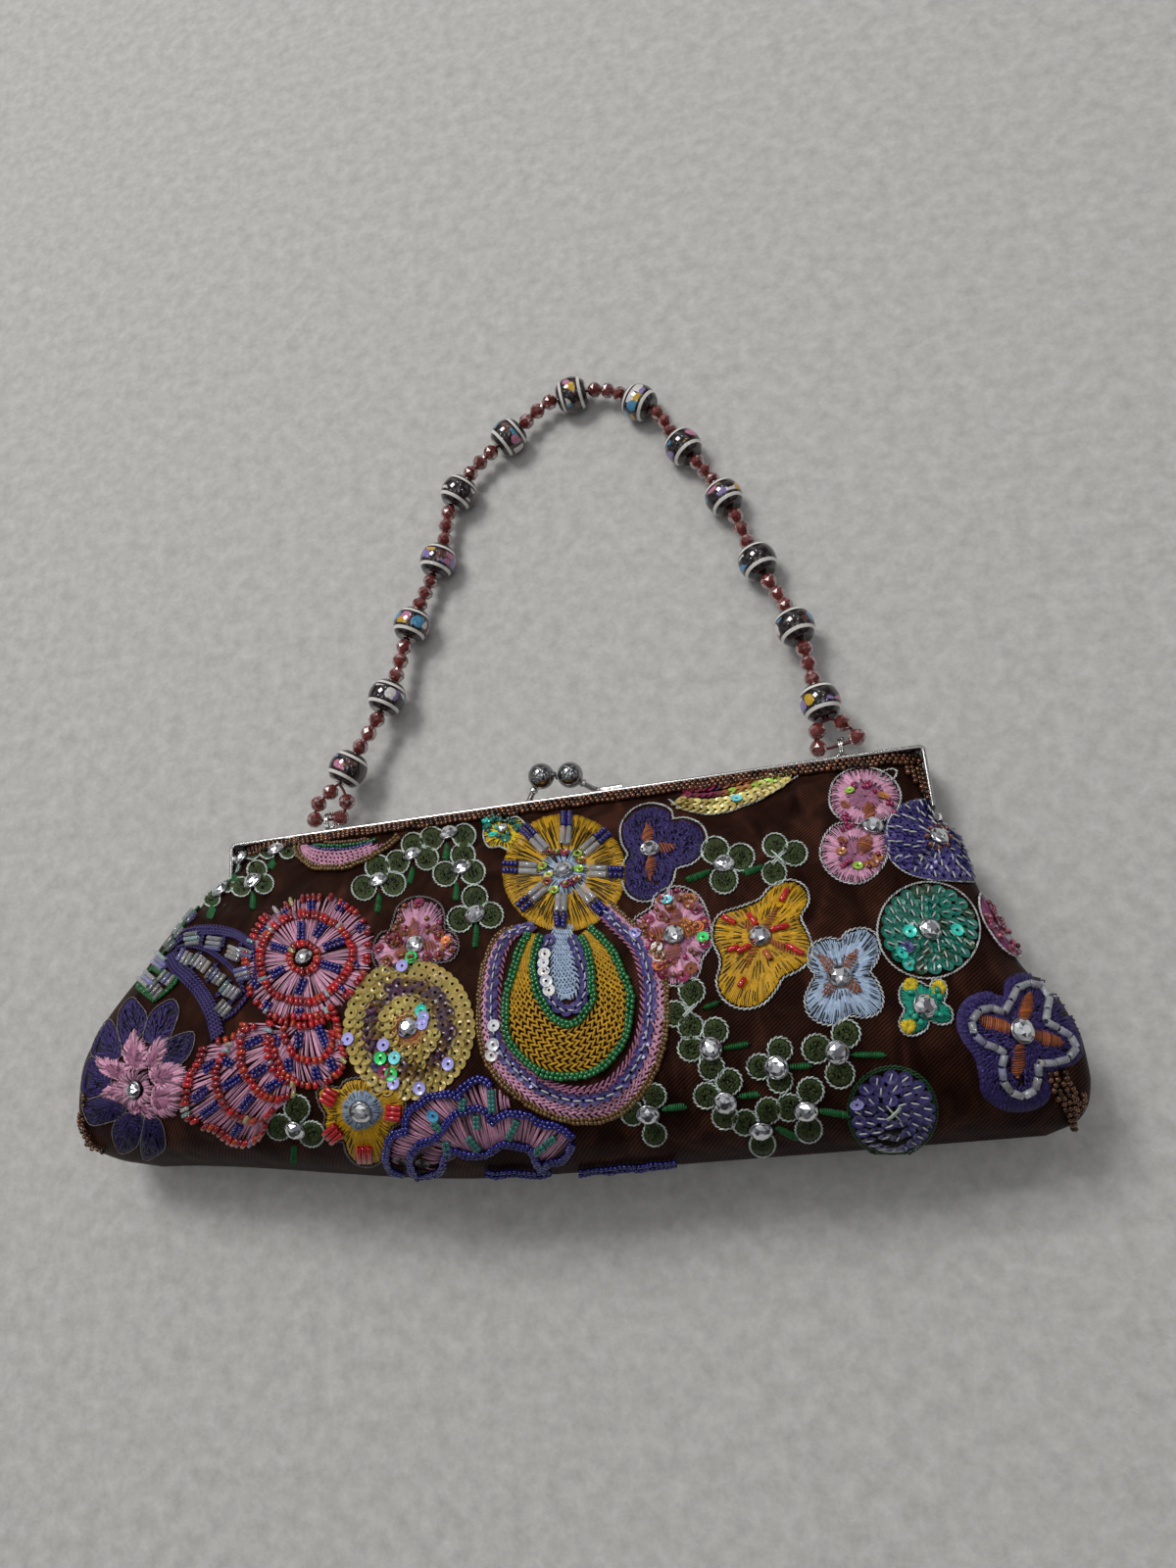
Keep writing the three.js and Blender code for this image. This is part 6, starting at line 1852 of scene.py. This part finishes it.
def large_bead(i):
    sides = 44
    prof = [(-BEAD_HALF * 0.985, BORE_R)]
    prof += [(-BEAD_HALF, BORE_R + 0.25), (-BEAD_HALF, 2.45)]
    for a in np.radians(np.linspace(-57, 57, 27)):
        prof.append((BEAD_HALF * math.sin(a) / math.sin(math.radians(58)), BEAD_R * math.cos(a) ** 0.85))
    prof += [(BEAD_HALF, 2.45), (BEAD_HALF, BORE_R + 0.25), (BEAD_HALF * 0.985, BORE_R), (0, BORE_R), (-BEAD_HALF * 0.985, BORE_R)]
    prof = np.array(prof)
    side, over = frame_of(AXES[i])
    a = np.linspace(0, 2 * math.pi, sides + 1)
    V, UV, q = [], [], []
    for k, (x, r) in enumerate(prof):
        V.append(BEADS[i] + AXES[i] * x + (side[None] * np.cos(a)[:, None] + over[None] * np.sin(a)[:, None]) * r)
        UV.append(np.stack([a / (2 * math.pi), np.full(sides + 1, (x + BEAD_HALF) / (2 * BEAD_HALF))], -1))
    W = sides + 1
    j = np.arange(sides)
    for k in range(len(prof) - 1):
        q.append(np.stack([k * W + j, k * W + j + 1, (k + 1) * W + j + 1, (k + 1) * W + j], -1))
    q = np.concatenate(q)[:, ::-1]
    o = make_object("handle_bead_%02d" % (i + 1), np.concatenate(V), [q], None, True, MAT_LARGE, np.concatenate(UV))
    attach(o, "root")
    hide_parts("bead_%02d" % (i + 1))


for _i in range(13):
    large_bead(_i)

FACETED = revolve([(-1.0, 0.34), (-0.92, 0.52), (-0.46, 0.90), (0.0, 1.0), (0.46, 0.90), (0.92, 0.52), (1.0, 0.34)], 9, True, True)
_fv = FACETED[0].copy().reshape(7, 9, 3)
for _k in (1, 3, 5):
    _t = math.pi / 9
    y, z = _fv[_k, :, 1].copy(), _fv[_k, :, 2].copy()
    _fv[_k, :, 1], _fv[_k, :, 2] = y * math.cos(_t) - z * math.sin(_t), y * math.sin(_t) + z * math.cos(_t)
_tri = []
for _k in range(6):
    for _j in range(9):
        a, b = _k * 9 + _j, _k * 9 + (_j + 1) % 9
        c, d = (_k + 1) * 9 + _j, (_k + 1) * 9 + (_j + 1) % 9
        if _k % 2 == 0:   # next ring is turned half a facet on
            _tri += [(a, c, b), (b, c, d)]
        else:
            _tri += [(a, d, b), (a, c, d)]
FACETED = (_fv.reshape(-1, 3), [np.array(_tri)] + [f for f in FACETED[1][1:]])


def tube_along(points, radius, sides=8, closed=False):
    P = np.asarray(points, float)
    n = len(P)
    T = (np.roll(P, -1, 0) - np.roll(P, 1, 0)) if closed else np.gradient(P, axis=0)
    T /= np.linalg.norm(T, axis=1, keepdims=True)
    up = np.tile([0, 0, 1.0], (n, 1))
    flat = np.abs(np.sum(T * up, 1)) > 0.95
    up[flat] = [1.0, 0, 0]
    S = np.cross(up, T)
    S /= np.linalg.norm(S, axis=1, keepdims=True)
    for i in range(1, n):
        if np.dot(S[i], S[i - 1]) < 0:
            S[i] = -S[i]
    U = np.cross(T, S)
    a = np.arange(sides) / sides * 2 * math.pi
    r = np.broadcast_to(np.asarray(radius, float), (n,))
    V = P[:, None] + (S[:, None] * np.cos(a)[None, :, None] + U[:, None] * np.sin(a)[None, :, None]) * r[:, None, None]
    q = []
    j = np.arange(sides)
    k = (j + 1) % sides
    for i in range(n if closed else n - 1):
        m = (i + 1) % n
        q.append(np.stack([i * sides + j, i * sides + k, m * sides + k, m * sides + j], -1))
    faces = [np.concatenate(q)]
    if not closed:
        faces.append(np.stack([j[::-1], (n - 1) * sides + j]))
    return V.reshape(-1, 3), faces


small, cordlet = Heap(), Heap()


def small_bead(at, axis, half, r=SMALL_R):
    axis = axis / np.linalg.norm(axis)
    side, over = frame_of(axis)
    t = rng.uniform(0, math.pi)
    s2, o2 = side * math.cos(t) + over * math.sin(t), over * math.cos(t) - side * math.sin(t)
    small.place(FACETED, at[None], axis[None], s2[None], o2[None], (half, r, r), COL["garnet"])


def bezier(a, b, c, d, n):
    t = np.linspace(0, 1, n)[:, None]
    return a * (1 - t) ** 3 + 3 * b * t * (1 - t) ** 2 + 3 * c * t * t * (1 - t) + d * t ** 3


for _i in range(12):
    a, b = BEADS[_i] + AXES[_i] * BEAD_HALF, BEADS[_i + 1] - AXES[_i + 1] * BEAD_HALF
    gap = np.linalg.norm(a - b)
    path = bezier(a, a + AXES[_i] * gap / 3, b - AXES[_i + 1] * gap / 3, b, 80)
    s = np.concatenate([[0], np.cumsum(np.linalg.norm(np.diff(path, axis=0), axis=1))])
    total = s[-1]
    length = (total - 0.8) / 3
    first = (total - 3 * length) / 2
    at = lambda x: np.array([np.interp(x, s, path[:, k]) for k in range(3)])
    for k in range(3):
        m = first + (k + 0.5) * length
        small_bead(at(m), at(m + 0.3) - at(m - 0.3), length * 0.49)
    line = np.concatenate([[a - AXES[_i] * 1.4], path[::8], [b + AXES[_i + 1] * 1.4]])
    cordlet.add(*tube_along(line, THREAD_R * 0.8, 6), COL["wine"] * 0.6)
for rows, bead, axis in ((LOOP_LEFT, BEADS[0], -AXES[0]), (LOOP_RIGHT, BEADS[12], AXES[12])):
    pts = np.array([r[:3] for r in rows], float)
    pts[0] = bead + axis * (BEAD_HALF + 0.5)
    n = len(pts)
    for i in range(n):
        if rows[i][3]:
            small_bead(pts[i], pts[(i + 1) % n] - pts[i - 1], 2.0)
    fine = []
    for i in range(n):
        p0, p1, p2, p3 = pts[i - 1], pts[i], pts[(i + 1) % n], pts[(i + 2) % n]
        for t in np.linspace(0, 1, 6, endpoint=False):
            fine.append(0.5 * (2 * p1 + (p2 - p0) * t + (2 * p0 - 5 * p1 + 4 * p2 - p3) * t * t + (3 * p1 - p0 - 3 * p2 + p3) * t ** 3))
    cordlet.add(*tube_along(fine, THREAD_R * 0.8, 6, True), COL["wine"] * 0.6)
    cordlet.add(*tube_along([bead + axis * (BEAD_HALF - 1.4), bead + axis * (BEAD_HALF + 0.5)], THREAD_R * 0.8, 6), COL["wine"] * 0.6)
_o = small.build("handle_small_beads", MAT_GARNET, False)
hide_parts(*["bead_run_%02d" % (i + 1) for i in range(12)], "loop_left", "loop_right")
_o = cordlet.build("handle_thread", MAT_CORD, True)


# ------------------------------------------------------------------ rings, frame and kiss-lock
for x in (-62.8, 69.4):
    coil = Heap()
    t = np.linspace(0, 4 * math.pi, 97)[:-1] + 0.4
    P = np.stack([x + (t / (4 * math.pi) - 0.5) * 1.05, 3.95 + 2.4 * np.cos(t), 6.4 + 2.4 * np.sin(t)], -1)
    V, F = tube_along(P, 0.42, 8)
    coil.add(V, F, COL["silver"])
    o = coil.build("split_ring_left" if x < 0 else "split_ring_right", MAT_CHROME)
    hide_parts("ring_left" if x < 0 else "ring_right")

FRAME_TOP, RAIL, LIP, ARM_END, CORNER, W2, MID_Z = 0.05, 0.8, 1.0, -15.0, 1.6, 88.0, 8.0


def u_path():
    pts = [(-W2, y) for y in np.linspace(ARM_END, FRAME_TOP - CORNER, 12)]
    nrm = [(-1.0, 0.0)] * 12
    for a in np.radians(np.linspace(180, 90, 10)[1:-1]):
        pts.append((-W2 + CORNER + CORNER * math.cos(a), FRAME_TOP - CORNER + CORNER * math.sin(a)))
        nrm.append((math.cos(a), math.sin(a)))
    for x in np.linspace(-W2 + CORNER, W2 - CORNER, 60):
        pts.append((x, FRAME_TOP))
        nrm.append((0.0, 1.0))
    for a in np.radians(np.linspace(90, 0, 10)[1:-1]):
        pts.append((W2 - CORNER + CORNER * math.cos(a), FRAME_TOP - CORNER + CORNER * math.sin(a)))
        nrm.append((math.cos(a), math.sin(a)))
    for y in np.linspace(FRAME_TOP - CORNER, ARM_END, 12):
        pts.append((W2, y))
        nrm.append((1.0, 0.0))
    return np.array(pts), np.array(nrm)


def half_frame(heap, sign):
    near, far = MID_Z + sign * 0.15, MID_Z + sign * 5.15
    s = sign
    sec = [(0.0, near), (0.0, far - s * 0.45), (-0.06, far - s * 0.22), (-0.2, far - s * 0.06), (-0.42, far), (-0.62, far), (-0.84, far - s * 0.07),
           (-0.96, far - s * 0.22), (-LIP, far - s * 0.42), (-LIP, far - s * 0.8), (-RAIL, far - s * 0.9), (-RAIL, near)]
    P, N = u_path()
    m = len(sec)
    V = np.array([[(p[0] + n[0] * d, p[1] + n[1] * d, z) for d, z in sec] for p, n in zip(P, N)]).reshape(-1, 3)
    q = []
    j = np.arange(m)
    k = (j + 1) % m
    for i in range(len(P) - 1):
        q.append(np.stack([i * m + j, i * m + k, (i + 1) * m + k, (i + 1) * m + j], -1))
    q = np.concatenate(q)
    caps = np.stack([j[::-1], (len(P) - 1) * m + j])
    if sign < 0:
        q, caps = q[:, ::-1], caps[:, ::-1]
    heap.add(V, [q[:, ::-1], caps[:, ::-1]], COL["silver"])
    # the tab that the satin is sewn to, inside the mouth
    y0, y1, z0, z1 = FRAME_TOP - 4.4, FRAME_TOP - 0.3, near, near + sign * 0.8
    c = np.array([(x, y, z) for x in (-70, 70) for y in (y0, y1) for z in (min(z0, z1), max(z0, z1))], float)
    f = np.array([(0, 1, 3, 2), (4, 6, 7, 5), (0, 4, 5, 1), (2, 3, 7, 6), (0, 2, 6, 4), (1, 5, 7, 3)])
    heap.add(c, [f], COL["silver"])


def sphere(c, r, nu=40, nv=24):
    V, q = [np.array([[0, 0, 1.0]])], []
    for i in range(1, nv):
        a = math.pi * i / nv
        t = np.arange(nu) / nu * 2 * math.pi
        V.append(np.stack([math.sin(a) * np.cos(t), math.sin(a) * np.sin(t), np.full(nu, math.cos(a))], -1))
    V.append(np.array([[0, 0, -1.0]]))
    V = np.concatenate(V) * r + np.asarray(c)
    j = np.arange(nu)
    k = (j + 1) % nu
    for i in range(nv - 2):
        a, b = 1 + i * nu, 1 + (i + 1) * nu
        q.append(np.stack([a + j, b + j, b + k, a + k], -1))
    last = len(V) - 1
    t = np.concatenate([np.stack([np.zeros(nu, int), 1 + j, 1 + k], -1), np.stack([np.full(nu, last), 1 + (nv - 2) * nu + k, 1 + (nv - 2) * nu + j], -1)])
    return V, [np.concatenate(q), t]


def lathe_between(a, b, prof, sides=20):
    a, b = np.asarray(a, float), np.asarray(b, float)
    d = b - a
    L = np.linalg.norm(d)
    d /= L
    side, over = frame_of(d)
    V, F = revolve([(x * L, r) for x, r in prof], sides, True, True)
    return a + V[:, 0:1] * d + V[:, 1:2] * side + V[:, 2:3] * over, F


def stud(bright, dark, route, ball, tip, stem=0.72):
    route = [np.asarray(p, float) for p in route]
    ball, tip = np.asarray(ball, float), np.asarray(tip, float)
    pts = route + [ball]
    smooth_pts = []
    n = len(pts)
    for i in range(n - 1):
        p0 = pts[i - 1] if i else 2 * pts[0] - pts[1]
        p3 = pts[i + 2] if i + 2 < n else 2 * pts[-1] - pts[-2]
        for t in np.linspace(0, 1, 10, endpoint=False):
            smooth_pts.append(0.5 * (2 * pts[i] + (pts[i + 1] - p0) * t + (2 * p0 - 5 * pts[i] + 4 * pts[i + 1] - p3) * t * t + (3 * pts[i] - p0 - 3 * pts[i + 1] + p3) * t ** 3))
    smooth_pts.append(pts[-1])
    bright.add(*tube_along(smooth_pts, stem, 14), COL["silver"])
    d = (ball - pts[-2]) / np.linalg.norm(ball - pts[-2])
    bright.add(*lathe_between(ball - d * 4.5, ball - d * 2.8, [(0, 0.62), (0.05, 0.92), (0.25, 1.15), (0.45, 0.95), (0.6, 0.85), (0.78, 1.2), (1.0, 1.3)]), COL["silver"])
    dark.add(*sphere(ball, 3.25), COL["silver"])
    t = (tip - ball) / np.linalg.norm(tip - ball)
    side, over = frame_of(t)
    dark.add(*lathe_between(ball + t * 3.0, ball + t * 4.05, [(0, 0.95), (0.25, 0.8), (0.42, 0.62), (0.6, 0.74), (0.85, 0.6), (1.0, 0.25)]), COL["silver"])


for sign, name in ((1, "frame_front"), (-1, "frame_back")):
    bright, dark = Heap(), Heap()
    half_frame(bright, sign)
    if sign > 0:
        stud(bright, dark, [(-7.4, -0.35, 12.2), (-5.7, 1.9, 13.3)], (-2.95, 5.1, 15.0), (0.05, 4.9, 15.6))
    else:
        stud(bright, dark, [(15.6, 2.2, 7.0), (12.0, 2.15, 7.05), (9.2, 2.2, 7.2), (6.9, 3.2, 9.2)], (3.75, 5.2, 12.6), (0.75, 5.4, 12.0))
        bright.add(*tube_along([(9.8, 0.5, 6.9), (12.2, 0.62, 6.9), (14.6, 0.5, 6.9)], 0.75, 10), COL["silver"])
        for x in (-62.8, 69.4):
            t = np.linspace(0, 2 * math.pi, 33)[:-1]
            bright.add(*tube_along(np.stack([x + 1.5 * np.cos(t), 1.45 + 1.5 * np.sin(t), np.full(32, 5.6)], -1), 0.42, 8, True), COL["silver"])
    nb, fm, faces = bright.n, [], []
    for k in sorted(set(bright.f) | set(dark.f)):
        fb = np.concatenate(bright.f[k]) if k in bright.f else np.zeros((0, k), int)
        fd = (np.concatenate(dark.f[k]) + nb) if k in dark.f else np.zeros((0, k), int)
        faces.append(np.concatenate([fb, fd]))
        fm.append(np.concatenate([np.zeros(len(fb), int), np.ones(len(fd), int)]))
    o = make_object(name + "_metal", np.concatenate(bright.v + dark.v), faces, None, True, [MAT_CHROME, MAT_DARK_CHROME], face_mat=np.concatenate(fm))
    es = o.modifiers.new("edges", "EDGE_SPLIT")
    es.split_angle = math.radians(50)
    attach(o, "root")
    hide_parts(name)

for n in ("hinge_left", "hinge_right"):
    o = frame["nodes"][n]
    o.data.materials.clear()
    o.data.materials.append(MAT_CHROME)


# ------------------------------------------------------------------ floor, light
floor_m, nt, b = new_material("floor", Roughness=0.9)
b.inputs["Specular IOR Level"].default_value = 0.1
tc = nt.nodes.new("ShaderNodeTexCoord")
n1 = node(nt, "ShaderNodeTexNoise", Scale=230.0, Detail=8.0, Roughness=0.68)
nt.links.new(tc.outputs["Object"], n1.inputs["Vector"])
nt.links.new(ramp(nt, n1.outputs[0], ((0.3, tuple(srgb("#aeadaa"))), (0.7, tuple(srgb("#cbcac7"))))), b.inputs["Base Color"])
bp = node(nt, "ShaderNodeBump", Strength=0.30, Distance=0.0010)
nt.links.new(n1.outputs[0], bp.inputs["Height"])
nt.links.new(bp.outputs[0], b.inputs["Normal"])
floor = make_object("floor", np.array([(-3, -3, 0), (3, -3, 0), (3, 3, 0), (-3, 3, 0)], float), [np.array([[0, 1, 2, 3]])], None, False, floor_m, mm=False)


def area(name, at, aim, size, power, colour=(1, 1, 1)):
    d = bpy.data.lights.new(name, "AREA")
    d.shape, d.size, d.size_y, d.energy, d.color = "RECTANGLE", size[0], size[1], power, colour
    o = bpy.data.objects.new(name, d)
    bpy.context.scene.collection.objects.link(o)
    o.location = at
    o.rotation_euler = (Vector(aim) - Vector(at)).to_track_quat("-Z", "Y").to_euler()
    return o


area("key", (-0.48, 0.74, 1.30), (0, 0, 0), (0.52, 0.52), 12.2, (1.0, 0.992, 0.98))
area("fill", (0.30, -0.20, 0.95), (0, -0.05, 0), (0.30, 0.22), 0.25, (0.97, 0.985, 1.0))
# small lamps for the glints on glass, stones and metal
for i, (x, y, z, power) in enumerate(((-0.45, 0.10, 0.75, 0.16), (0.38, 0.34, 0.78, 0.14), (0.10, 0.62, 0.70, 0.16), (-0.12, -0.18, 0.95, 0.12), (0.50, -0.05, 0.62, 0.10), (-0.38, -0.35, 0.70, 0.10))):
    area("lamp_%d" % i, (x, y, z), (0, 0, 0), (0.045, 0.045), power)
w = bpy.data.worlds.new("world")
bpy.context.scene.world = w
w.use_nodes = True
wn = w.node_tree
bg = wn.nodes["Background"]
bg.inputs[1].default_value = 0.54
wt = wn.nodes.new("ShaderNodeTexCoord")
ws = wn.nodes.new("ShaderNodeSeparateXYZ")
wn.links.new(wt.outputs["Generated"], ws.inputs[0])
wr = wn.nodes.new("ShaderNodeValToRGB")
wr.color_ramp.elements[0].position, wr.color_ramp.elements[0].color = 0.0, (0.16, 0.16, 0.17, 1)
wr.color_ramp.elements[1].position, wr.color_ramp.elements[1].color = 1.0, (0.80, 0.80, 0.82, 1)
wn.links.new(ws.outputs[2], wr.inputs[0])
# light and dark patches of a room, for contrast in the reflections
wv = node(wn, "ShaderNodeTexNoise", Scale=2.4, Detail=1.0, Roughness=0.4)
wn.links.new(wt.outputs["Generated"], wv.inputs["Vector"])
patches = ramp(wn, wv.outputs[0], ((0.38, (0.22, 0.22, 0.23)), (0.50, (0.75, 0.75, 0.75)), (0.62, (2.1, 2.1, 2.05))))
wy = node(wn, "ShaderNodeMapRange")
for _n, _v in (("From Min", -1.0), ("From Max", 1.0), ("To Min", 0.0), ("To Max", 1.0)):
    wy.inputs[_n].default_value = _v
wn.links.new(ws.outputs[1], wy.inputs["Value"])
side = ramp(wn, wy.outputs[0], ((0.10, (0.30, 0.30, 0.31)), (0.50, (0.95, 0.95, 0.95)), (0.90, (1.45, 1.45, 1.43))))
room = mix_colour(wn, 1.0, wr.outputs[0], side, "MULTIPLY")
wn.links.new(mix_colour(wn, 1.0, room, patches, "MULTIPLY"), bg.inputs[0])
bpy.context.scene.view_settings.view_transform = "Standard"
